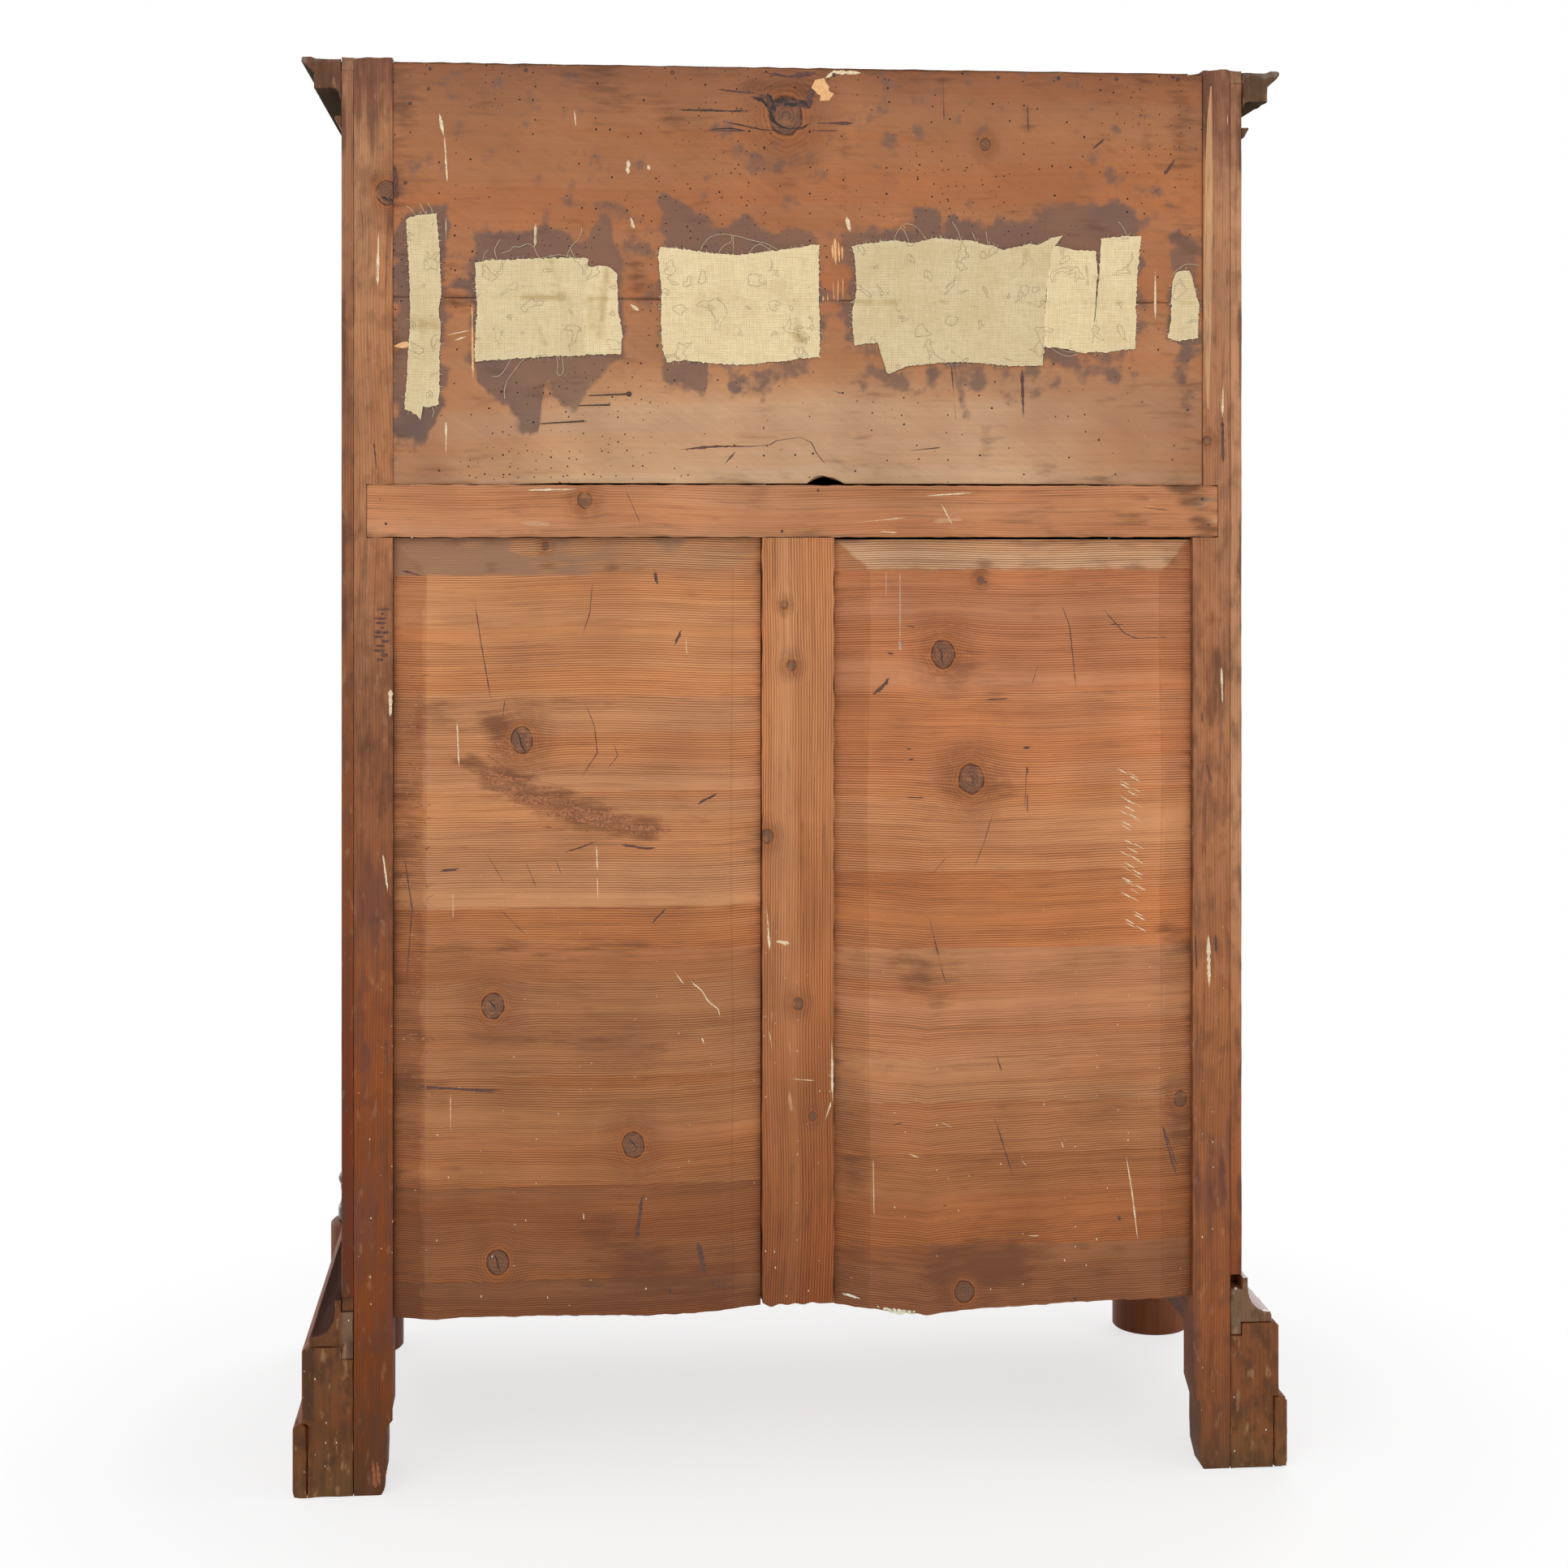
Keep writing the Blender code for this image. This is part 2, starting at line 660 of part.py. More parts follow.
def plinth_front():
    """The front of the plinth, arched below and hollow at both ends."""
    name = "plinth_front"
    steps = 12
    top = PLINTH_TALL - SEAT
    outline = []
    for i in range(steps + 1):
        share = 2 * i / steps - 1
        rise = FRONT_ARCH_RISE * math.cos(share * math.pi / 2)
        outline.append((share * COLUMN_X, APRON_HEIGHT + rise))
    outline += [(COLUMN_X, top), (-COLUMN_X, top)]
    depth = (CARCASE_DEPTH - SIDE_THICK, CARCASE_DEPTH + PLINTH_PROJECTION)
    plinth = forward(name, outline, depth, "veneer")
    rebate = board(
        name + "_rebate",
        (-COLUMN_X - SIDE_THICK, COLUMN_X + SIDE_THICK),
        (CARCASE_DEPTH - 2 * SIDE_THICK, CARCASE_DEPTH),
        (PLINTH_TALL - COVE_TONGUE - SEAT, PLINTH_TALL + COVE_TONGUE),
        "veneer",
    )
    cut(plinth, rebate)
    for word, side in SIDES:
        room = column_room(name + "_hollow_" + word, side, BLOCK_RADIUS + SEAT, -PLINTH_TALL, 2 * PLINTH_TALL)
        cut(plinth, room)


def base_strip(word, side):
    """The floor strip outside the back foot."""
    near = STRIP_PROJECTION - STRIP_THICK
    far = STRIP_PROJECTION
    outline = [
        (near, 0.0),
        (far - FLOOR_EASE, 0.0),
        (far, FLOOR_EASE),
        (far, STRIP_TALL - STRIP_EASE),
        (far - STRIP_EASE, STRIP_TALL),
        (near, STRIP_TALL),
    ]
    section = [(side * (HALF + out), z) for out, z in outline]
    forward("base_strip_" + word, section, (0.0, BACK_FOOT_LENGTH - SEAT), "pine_base")


def cove_section(ledge):
    """The cove moulding as points past a face, tongued below and stepped inside for what it carries."""
    inside = -SIDE_THICK + SEAT
    centre = (COVE_PROJECTION - COVE_ROUND, COVE_HIGH - COVE_FILLET_TALL)
    radii = (centre[0] - COVE_FILLET, centre[1] - PLINTH_TALL - COVE_FOOT)
    section = [
        (inside, PLINTH_TALL - COVE_TONGUE),
        (-SEAT, PLINTH_TALL - COVE_TONGUE),
        (-SEAT, PLINTH_TALL),
        (COVE_PROJECTION, PLINTH_TALL),
        (COVE_PROJECTION, PLINTH_TALL + COVE_EDGE),
        (COVE_PROJECTION - COVE_ROUND / 3, PLINTH_TALL + COVE_FOOT),
    ]
    section += arc(centre, radii, 270, 180, 7)
    section += [(COVE_FILLET, COVE_HIGH), (SEAT, COVE_HIGH), (SEAT, ledge), (inside, ledge)]
    return section


def cove_side(word, side):
    """A side cove, hollow at the front where the column's base stands."""
    name = "cove_" + word
    section = [(side * (HALF + out), z) for out, z in cove_section(SIDE_FOOT)]
    cove = forward(name, section, (0.0, COLUMN_DEPTH), "pine_base")
    cut(cove, column_room(name + "_hollow", side, BLOCK_RADIUS + SEAT, SEAT, 2 * PLINTH_TALL))


def cove_front():
    """The front cove, hollow at both ends, with the floor board on its ledge."""
    section = [(CARCASE_DEPTH + out, z) for out, z in cove_section(BOTTOM_LOW - SEAT)]
    cove = sideways("cove_front", section, (-COLUMN_X, COLUMN_X), "veneer")
    for word, side in SIDES:
        cut(cove, column_room("cove_front_hollow_" + word, side, BLOCK_RADIUS + SEAT, SEAT, 2 * PLINTH_TALL))


def corner_block(word, side):
    """The round block at the front corner, thicker at the foot: the front foot of the piece."""
    profile = [
        (BLOCK_FOOT_RADIUS - FLOOR_EASE, 0.0),
        (BLOCK_FOOT_RADIUS, FLOOR_EASE),
        (BLOCK_FOOT_RADIUS, STRIP_TALL - STRIP_EASE),
        (BLOCK_FOOT_RADIUS - STRIP_EASE, STRIP_TALL),
        (BLOCK_RADIUS, STRIP_TALL + SEAT),
        (BLOCK_RADIUS, BLOCK_TOP - PLINTH_EASE),
        (BLOCK_RADIUS - PLINTH_EASE, BLOCK_TOP),
    ]
    turned("corner_block_" + word, profile, side, "veneer")


# Columns


def column_base(word, side):
    """A black turned base between the corner block and the shaft: a pad, a hollow and a bead."""
    low = BLOCK_TOP + SEAT
    step = BASE_RADIUS - SHAFT_FOOT_RADIUS
    waist = SHAFT_FOOT_RADIUS + 0.2 * step
    shoulder = SHAFT_FOOT_RADIUS + 0.4 * step
    shares = ((BASE_RADIUS - 0.2 * step, 0.0), (BASE_RADIUS, 0.015), (BASE_RADIUS, 0.26))
    shares += ((BASE_RADIUS - 0.4 * step, 0.29), (waist, 0.41), (waist, 0.53), (shoulder, 0.61))
    profile = [(radius, low + BASE_TALL * up) for radius, up in shares]
    bead = (BASE_RADIUS - BASE_BEAD, low + BASE_TALL * 0.79)
    profile += arc(bead, (BASE_BEAD - SEAT, BASE_BEAD), -45, 60, 6)
    profile += [(SHAFT_FOOT_RADIUS, low + BASE_TALL * 0.97), (SHAFT_FOOT_RADIUS, low + BASE_TALL)]
    turned("column_base_" + word, profile, side, "ebonised")


def column(word, side):
    """A shaft with a slight swelling, and its capital turned on the same piece."""
    low = BASE_TOP + SEAT
    high = SOFFIT - SEAT
    neck = high - CAPITAL_TALL
    steps = 12
    profile = []
    for i in range(steps + 1):
        share = i / steps
        swelling = share ** 1.6
        radius = SHAFT_FOOT_RADIUS + (SHAFT_NECK_RADIUS - SHAFT_FOOT_RADIUS) * swelling
        profile.append((radius, low + (neck - low) * share))
    step = CAPITAL_RADIUS - SHAFT_NECK_RADIUS
    profile += [
        (SHAFT_NECK_RADIUS + 0.55 * step, neck + 0.15 * CAPITAL_RING),
        (SHAFT_NECK_RADIUS + 0.65 * step, neck + 0.75 * CAPITAL_RING),
        (SHAFT_NECK_RADIUS, neck + CAPITAL_RING),
        (SHAFT_NECK_RADIUS, neck + 0.43 * CAPITAL_TALL),
    ]
    swell = (SHAFT_NECK_RADIUS - 0.3 * step, neck + 0.64 * CAPITAL_TALL)
    profile += arc(swell, (1.25 * step, 0.19 * CAPITAL_TALL), -70, 20, 5)
    profile += [(CAPITAL_RADIUS, neck + 0.74 * CAPITAL_TALL), (CAPITAL_RADIUS, high)]
    turned("column_" + word, profile, side, "veneer")


# Cornice


def cornice_section():
    """The cornice as points past a face: a bed cove, a flat soffit and a lip that turns up."""
    lip = LIP_PROJECTION - SOFFIT_PROJECTION
    root = TOP_FACE - LIP_TALL
    shares = ((0.0, 0.0), (0.3, 0.22), (0.72, 0.5), (0.96, 0.72), (1.0, 0.86), (0.86, 1.0), (0.2, 1.0))
    bed_radii = (BED_PROJECTION - REVEAL, BED_TALL)
    section = [(SEAT, CORNICE_LOW)]
    section += arc((BED_PROJECTION, CORNICE_LOW), bed_radii, 180, 90, 4)
    section += [(SOFFIT_PROJECTION, SOFFIT)]
    section += [(SOFFIT_PROJECTION + lip * out, root + LIP_TALL * up) for out, up in shares]
    section += [(SOFFIT_PROJECTION - CORNICE_DROP, TOP_FACE - CORNICE_DROP), (SEAT, TOP_FACE - CORNICE_DROP)]
    return section


def cornice_side(word, side):
    """A side return of the cornice, mitred at the front corner and cut away round the column's capital."""
    name = "cornice_" + word
    section = cornice_section()
    rings = [
        [at(side * (HALF + out), 0.0, z) for out, z in section],
        [at(side * (HALF + out), CARCASE_DEPTH + out - SEAT, z) for out, z in section],
    ]
    piece = skin(name, rings, "veneer")
    cut(piece, column_room(name + "_hollow", side, CAPITAL_RADIUS + SEAT, CORNICE_LOW - BED_TALL, SOFFIT))


def cornice_front():
    """The front length of the cornice, mitred at both ends."""
    name = "cornice_front"
    section = cornice_section()
    rings = [
        [at(-HALF - out + SEAT, CARCASE_DEPTH + out, z) for out, z in section],
        [at(HALF + out - SEAT, CARCASE_DEPTH + out, z) for out, z in section],
    ]
    piece = skin(name, rings, "veneer")
    for word, side in SIDES:
        room = column_room(
            name + "_hollow_" + word, side, CAPITAL_RADIUS + SEAT, CORNICE_LOW - BED_TALL, SOFFIT
        )
        cut(piece, room)


# Doors


def pin_hole(name, side, face, deep):
    """A round tool for a pivot pin, as deep to either side of a face."""
    heights = (face - deep - SEAT, face + deep + SEAT)
    return upright_rod(name, PIN_RADIUS + PIN_CLEARANCE, side * PIVOT_X, PIVOT_DEPTH, heights, "iron")


def door_pins(word, side):
    """The lower and upper pivot pins, each half in the carcase and half in the door."""
    x = side * PIVOT_X
    low = (BOTTOM_HIGH - PIN_IN_RAIL, DOOR_LOW + PIN_IN_DOOR)
    high = (DOOR_HIGH - PIN_IN_DOOR, DOOR_TOP + PIN_IN_RAIL)
    upright_rod(f"door_pin_{word}_low", PIN_RADIUS, x, PIVOT_DEPTH, low, "iron")
    upright_rod(f"door_pin_{word}_high", PIN_RADIUS, x, PIVOT_DEPTH, high, "iron")


def door_frame(word, side):
    """A door frame splayed in front and rebated behind for its panel, rounded at the hinge edge."""
    name = "door_frame_" + word
    radius = DOOR_THICK / 2
    plan = [(DOOR_LOCK_EDGE, DOOR_BACK)]
    plan += arc((PIVOT_X, PIVOT_DEPTH), (radius, radius), -90, 90, 12)
    plan += [(DOOR_LOCK_EDGE, DOOR_FRONT)]
    frame = upright(name, mirrored(plan, side), (DOOR_LOW, DOOR_HIGH), "veneer")
    near, far, low, high = door_light()
    slope = DOOR_SPLAY / (DOOR_THICK - DOOR_PANEL_THICK)
    front = DOOR_FRONT + DOOR_THICK
    rings = []
    for depth in (DOOR_BACK - DOOR_THICK, DOOR_BACK + DOOR_PANEL_THICK, front):
        spread = slope * max(0.0, depth - DOOR_BACK - DOOR_PANEL_THICK)
        corners = [
            (near - spread, low - spread),
            (far + spread, low - spread),
            (far + spread, high + spread),
            (near - spread, high + spread),
        ]
        rings.append([at(side * x, depth, z) for x, z in corners])
    rebate = board(
        name + "_rebate",
        span(side, near - DOOR_REBATE, far + DOOR_REBATE),
        (DOOR_BACK - DOOR_THICK, DOOR_BACK + DOOR_PANEL_THICK + SEAT),
        (low - DOOR_REBATE, high + DOOR_REBATE),
        "veneer",
    )
    cut(frame, skin(name + "_light", rings, "veneer"))
    cut(frame, rebate)
    cut(frame, pin_hole(name + "_low_hole", side, DOOR_LOW, PIN_IN_DOOR))
    cut(frame, pin_hole(name + "_high_hole", side, DOOR_HIGH, PIN_IN_DOOR))
    return frame


def door_light():
    """The opening in a door frame: its near and far limits across, and its low and high limits."""
    near = DOOR_LOCK_EDGE + DOOR_MEMBER
    far = DOOR_HINGE_EDGE - DOOR_MEMBER
    return near, far, DOOR_LOW + DOOR_MEMBER, DOOR_HIGH - DOOR_MEMBER


def door_panel(word, side):
    """A flat panel laid into the frame's rebate from inside."""
    near, far, low, high = door_light()
    overlap = DOOR_REBATE - PANEL_CLEARANCE
    return board(
        "door_panel_" + word,
        span(side, near - overlap, far + overlap),
        (DOOR_BACK, DOOR_BACK + DOOR_PANEL_THICK),
        (low - overlap, high + overlap),
        "veneer",
    )


def doors():
    """Both doors, with the lock in the right one, each on its pivot."""
    left = door_frame("left", -1)
    right = door_frame("right", 1)
    mortise = (-DOOR_LOCK_EDGE - BOLT_THROW - REVEAL, DOOR_LOCK_EDGE)
    cut(left, bolt_room("bolt_mortise", mortise, 2 * BOLT_CLEARANCE))
    cut(right, lock_recess())
    cut(right, key_hole("door_key_hole", (LOCK_MIDDLE, CARCASE_DEPTH + DOOR_THICK)))
    hang("door_left_pivot", at(-PIVOT_X, PIVOT_DEPTH, DOOR_LOW), [left, door_panel("left", -1)])
    hang("door_right_pivot", at(PIVOT_X, PIVOT_DEPTH, DOOR_LOW), [right, door_panel("right", 1), lock_case()])
    hang("bolt_slide", at(DOOR_LOCK_EDGE, LOCK_MIDDLE, KEY_Z + BOLT_ABOVE_KEY), [lock_bolt()])
    hang("key_axis", at(KEY_X, DOOR_FRONT, KEY_Z), [key()])


# Lock and key


def lock_recess():
    """A tool for the recess of the lock case, open at the door's edge and its inner face."""
    half = LOCK_TALL / 2 + SEAT
    return board(
        "lock_recess",
        (DOOR_LOCK_EDGE - LOCK_THICK, DOOR_LOCK_EDGE + LOCK_WIDTH + SEAT),
        (DOOR_BACK - LOCK_THICK, DOOR_BACK + LOCK_THICK + SEAT),
        (LOCK_HEIGHT - half, LOCK_HEIGHT + half),
        "iron",
    )


def key_hole(name, depths):
    """A keyhole tool: round for the shank, with a slot below for the bit."""
    hole = forward_rod(name, KEY_SHANK_RADIUS + KEY_CLEARANCE, KEY_X, KEY_Z, depths, "iron")
    half = KEY_BIT_THICK / 2 + KEY_CLEARANCE
    low = KEY_Z - KEY_BIT_LENGTH - KEY_CLEARANCE
    join(hole, board(name + "_slot", (KEY_X - half, KEY_X + half), depths, (low, KEY_Z), "iron"))
    return hole


def bolt_room(name, limits, clearance):
    """A squared solid along the bolt's path, the bolt itself when there is no clearance."""
    deep = BOLT_THICK / 2 + clearance
    tall = BOLT_TALL / 2 + clearance
    middle = KEY_Z + BOLT_ABOVE_KEY
    depth = (LOCK_MIDDLE - deep, LOCK_MIDDLE + deep)
    return board(name, limits, depth, (middle - tall, middle + tall), "iron")


def lock_case():
    """The iron lock case, open for the bolt at the edge and hollow round the key's bit."""
    near = DOOR_LOCK_EDGE
    case = board(
        "lock_case",
        (near, near + LOCK_WIDTH),
        (DOOR_BACK, DOOR_BACK + LOCK_THICK),
        (LOCK_HEIGHT - LOCK_TALL / 2, LOCK_HEIGHT + LOCK_TALL / 2),
        "iron",
    )
    half = KEY_BIT_WIDE / 2 + KEY_CLEARANCE
    radius = KEY_BIT_LENGTH + 2 * KEY_CLEARANCE
    chamber_depth = (LOCK_MIDDLE - half, LOCK_MIDDLE + half)
    cut(case, bolt_room("bolt_channel", (near - BOLT_LENGTH, near + BOLT_LENGTH + REVEAL), BOLT_CLEARANCE))
    cut(case, key_hole("case_key_hole", (DOOR_BACK + LOCK_WALL, DOOR_BACK + 2 * LOCK_THICK)))
    cut(case, forward_rod("key_chamber", radius, KEY_X, KEY_Z, chamber_depth, "iron"))
    return case


def lock_bolt():
    """The sliding bolt, drawn back in its case."""
    return bolt_room("lock_bolt", (DOOR_LOCK_EDGE + SEAT, DOOR_LOCK_EDGE + BOLT_LENGTH), 0.0)


def key():
    """The key: a shank with a bit in the lock and a ring bow in front of the door."""
    half = KEY_BIT_WIDE / 2
    shoulder = DOOR_FRONT + KEY_REACH
    shank = forward_rod("key", KEY_SHANK_RADIUS, KEY_X, KEY_Z, (LOCK_MIDDLE - half, shoulder), "brass")
    bit = board(
        "key_bit",
        (KEY_X - KEY_BIT_THICK / 2, KEY_X + KEY_BIT_THICK / 2),
        (LOCK_MIDDLE - half + SEAT / 2, LOCK_MIDDLE + half),
        (KEY_Z - KEY_BIT_LENGTH, KEY_Z),
        "brass",
    )
    join(shank, bit)
    join(shank, key_bow(shoulder + KEY_BOW_RADIUS - KEY_BOW_WIRE / 2))
    return shank


def key_bow(depth):
    """The key's ring, upright and edge on to the door, centred at a depth."""
    around = 20
    wire = 8
    rings = []
    for i in range(around):
        turn = 2 * math.pi * i / around
        ring = []
        for j in range(wire):
            bend = 2 * math.pi * j / wire
            radius = KEY_BOW_RADIUS + KEY_BOW_WIRE * math.cos(bend)
            x = KEY_X + KEY_BOW_WIRE * math.sin(bend)
            ring.append(at(x, depth + radius * math.cos(turn), KEY_Z + radius * math.sin(turn)))
        rings.append(ring)
    return skin("key_bow", rings, "brass", closed=True)


# Drawer


def drawer_front(half, behind):
    """The drawer's front, swelling forward past the rails so that it can be gripped from below."""
    low = RAIL_HIGH + REVEAL
    high = NECK_LOW - REVEAL
    middle = (low + high) / 2
    face = CARCASE_DEPTH + DRAWER_LIP
    section = [(behind, low)]
    section += arc((face, middle), (DRAWER_SWELL - DRAWER_LIP, (high - low) / 2), -90, 90, 10)
    section += [(behind, high)]
    return sideways("drawer_front", section, (-half, half), "veneer")


def drawer():
    """The frieze drawer: a swelling front, grooved sides, a bottom in the grooves and a back over it."""
    half = POST_IN - REVEAL
    inner = half - DRAWER_SIDE_THICK
    behind = CARCASE_DEPTH - DRAWER_FRONT_THICK
    foot = RAIL_HIGH + SEAT
    top = foot + DRAWER_SIDE_TALL
    bottom_low = foot + DRAWER_BOTTOM_RISE
    bottom_high = bottom_low + DRAWER_BOTTOM_THICK
    groove = inner + DRAWER_GROOVE
    pieces = [drawer_front(half, behind)]
    for word, side in SIDES:
        outline = [
            (inner, foot),
            (half, foot),
            (half, top),
            (inner, top),
            (inner, bottom_high + SEAT),
            (groove, bottom_high + SEAT),
            (groove, bottom_low - SEAT),
            (inner, bottom_low - SEAT),
        ]
        depths = (DRAWER_SPACE, behind - SEAT)
        pieces.append(forward("drawer_side_" + word, mirrored(outline, side), depths, "pine_inside"))
    reach = groove - SEAT
    heights = (bottom_low, bottom_high)
    floor = board("drawer_bottom", (-reach, reach), (DRAWER_SPACE, behind - SEAT), heights, "pine_inside")
    width = inner - SEAT
    heights = (bottom_high + SEAT, top - DRAWER_BACK_DROP)
    depth = (DRAWER_SPACE, DRAWER_SPACE + DRAWER_BACK_THICK)
    end = board("drawer_back", (-width, width), depth, heights, "pine_inside")
    hang("drawer_runner", at(0.0, CARCASE_DEPTH, foot), [*pieces, floor, end])


def build():
    """The whole piece, from the back frame to the front."""
    for word, side in SIDES:
        back_stile(word, side)
        back_panel(word, side)
        side_board(word, side)
        front_post(word, side)
        neck_moulding(word, side)
        plinth_side(word, side)
        base_strip(word, side)
        cove_side(word, side)
        corner_block(word, side)
        column_base(word, side)
        column(word, side)
        cornice_side(word, side)
        door_pins(word, side)
    back_mid_rail()
    back_muntin()
    back_boards()
    linen_patches()
    housed_boards()
    bottom_board()
    top_board()
    drawer_rail()
    frieze_rail()
    plinth_front()
    cove_front()
    cornice_front()
    doors()
    drawer()


for leftover in list(bpy.data.objects):
    bpy.data.objects.remove(leftover)
build()
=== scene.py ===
"""A tall antique chiffonier seen from behind: its looks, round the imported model."""

import math

import bmesh
import bpy
import numpy as np
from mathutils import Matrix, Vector


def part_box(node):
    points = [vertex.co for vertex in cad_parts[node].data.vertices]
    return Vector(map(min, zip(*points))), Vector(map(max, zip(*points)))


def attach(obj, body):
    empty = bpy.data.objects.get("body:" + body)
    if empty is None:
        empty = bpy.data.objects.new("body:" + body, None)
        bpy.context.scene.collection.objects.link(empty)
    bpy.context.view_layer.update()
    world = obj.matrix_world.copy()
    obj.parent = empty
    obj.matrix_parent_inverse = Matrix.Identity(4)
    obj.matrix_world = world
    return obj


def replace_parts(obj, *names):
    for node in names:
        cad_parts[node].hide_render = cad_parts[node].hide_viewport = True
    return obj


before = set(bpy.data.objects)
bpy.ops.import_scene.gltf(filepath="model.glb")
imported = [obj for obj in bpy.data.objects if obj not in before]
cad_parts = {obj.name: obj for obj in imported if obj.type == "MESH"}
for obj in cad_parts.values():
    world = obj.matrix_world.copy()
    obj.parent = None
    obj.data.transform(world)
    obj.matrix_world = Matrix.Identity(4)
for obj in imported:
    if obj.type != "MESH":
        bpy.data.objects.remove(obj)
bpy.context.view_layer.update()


# The studio: a plain pale floor under a white sky, with large soft lamps behind and before the
# chiffonier. The camera stands behind the chiffonier, a little to one side, and looks level.
# The floor is lit near the chiffonier and fades to plain white from FLOOR_NEAR to FLOOR_FAR.
SKY_LIGHT = 0.55
FLOOR_RADIUS = 14.0
FLOOR_COLOUR = (0.93, 0.93, 0.93)
FLOOR_SHOWN = 0.7
FLOOR_NEAR = 0.65
FLOOR_FAR = 1.08
# Each lamp's name, place, width and power.
LAMPS = (
    ("lamp_behind", (1.3, 3.4, 3.0), 2.6, 62.0),
    ("lamp_behind_low", (-1.8, 3.2, 1.2), 2.0, 16.0),
    ("lamp_before", (-1.5, -3.2, 2.8), 2.6, 62.0),
    ("lamp_before_low", (1.9, -3.0, 1.2), 2.0, 22.0),
    ("lamp_left", (-3.4, 0.4, 2.2), 1.6, 18.0),
    ("lamp_right", (3.4, -0.4, 2.2), 1.6, 18.0),
)
LAMP_AIM = Vector((0.0, 0.0, 0.8))
CAMERA_PLACE = (0.253, 3.085, 1.057)
CAMERA_TURN = 4.84
CAMERA_LENS = 58.34
CAMERA_SHIFT = -0.1636


def finish(name, roughness, metallic=0.0):
    """A new material, with its node tree and its shader."""
    made = bpy.data.materials.new(name)
    made.use_nodes = True
    shader = made.node_tree.nodes["Principled BSDF"]
    shader.inputs["Roughness"].default_value = roughness
    shader.inputs["Metallic"].default_value = metallic
    return made, made.node_tree, shader


def node(tree, kind, inputs, out=0, **settings):
    """Adds a shader node, feeds its inputs and gives back one of its outputs."""
    made = tree.nodes.new("ShaderNode" + kind)
    for key, value in settings.items():
        setattr(made, key, value)
    for key, value in inputs.items():
        if isinstance(value, bpy.types.NodeSocket):
            tree.links.new(value, made.inputs[key])
        elif made.inputs[key].type == "RGBA":
            made.inputs[key].default_value = (*value, 1.0)
        else:
            made.inputs[key].default_value = value
    return made.outputs[out]


def here(tree):
    """The place of a point of the surface, in metres."""
    return node(tree, "TexCoord", {}, out="Object")


def maths(tree, operation, *values):
    """One sum on numbers."""
    return node(tree, "Math", dict(enumerate(values)), operation=operation)


def times_plus(tree, value, factor, more):
    """A value times a factor, plus another."""
    return maths(tree, "MULTIPLY_ADD", value, factor, more)


def between(tree, value, low, high):
    """A soft step from 0 at the low value to 1 at the high one."""
    inputs = {"Value": value, "From Min": low, "From Max": high}
    return node(tree, "MapRange", inputs, interpolation_type="SMOOTHSTEP")


def placed(name, data):
    """A new object in the scene."""
    made = bpy.data.objects.new(name, data)
    bpy.context.scene.collection.objects.link(made)
    return made


def shown_rays(tree):
    """1 for what the camera sees, straight, in a gloss or through glass, and 0 for light on things."""
    path = tree.nodes.new("ShaderNodeLightPath")
    straight = maths(tree, "MAXIMUM", path.outputs["Is Camera Ray"], path.outputs["Is Glossy Ray"])
    return maths(tree, "MAXIMUM", straight, path.outputs["Is Transmission Ray"])


sky = bpy.data.worlds.new("studio_sky")
bpy.context.scene.world = sky
sky.use_nodes = True
backdrop = sky.node_tree.nodes["Background"]
backdrop.inputs["Color"].default_value = (1.0, 1.0, 1.0, 1.0)
sky_strength = times_plus(sky.node_tree, shown_rays(sky.node_tree), 1.0 - SKY_LIGHT, SKY_LIGHT)
sky.node_tree.links.new(sky_strength, backdrop.inputs["Strength"])

bpy.ops.mesh.primitive_circle_add(vertices=96, radius=FLOOR_RADIUS, fill_type="NGON")
floor = bpy.context.object
floor.name = "studio_floor"
floor_finish, tree, shader = finish("floor_white", 0.9)
shader.inputs["Base Color"].default_value = (*FLOOR_COLOUR, 1.0)
shader.inputs["Specular IOR Level"].default_value = 0.0
distance = node(tree, "VectorMath", {0: here(tree)}, out="Value", operation="LENGTH")
away = between(tree, distance, FLOOR_NEAR, FLOOR_FAR)
share = times_plus(tree, away, 1.0 - FLOOR_SHOWN, FLOOR_SHOWN)
share = maths(tree, "MULTIPLY", share, shown_rays(tree))
white = node(tree, "Emission", {"Color": (1.0, 1.0, 1.0), "Strength": 1.0})
both = node(tree, "MixShader", {0: share, 1: shader.outputs[0], 2: white})
tree.links.new(both, tree.nodes["Material Output"].inputs["Surface"])
floor.data.materials.append(floor_finish)

for name, place, size, power in LAMPS:
    lamp = placed(name, bpy.data.lights.new(name, "AREA"))
    lamp.data.size = size
    lamp.data.energy = power
    lamp.location = place
    aim = lamp.location - LAMP_AIM
    lamp.rotation_euler = aim.to_track_quat("Z", "Y").to_euler()

camera = placed("camera", bpy.data.cameras.new("camera"))
camera.location = CAMERA_PLACE
camera.rotation_euler = (math.radians(90), 0.0, math.radians(180 - CAMERA_TURN))
camera.data.lens = CAMERA_LENS
camera.data.shift_y = CAMERA_SHIFT
bpy.context.scene.camera = camera
bpy.context.scene.view_settings.view_transform = "Standard"


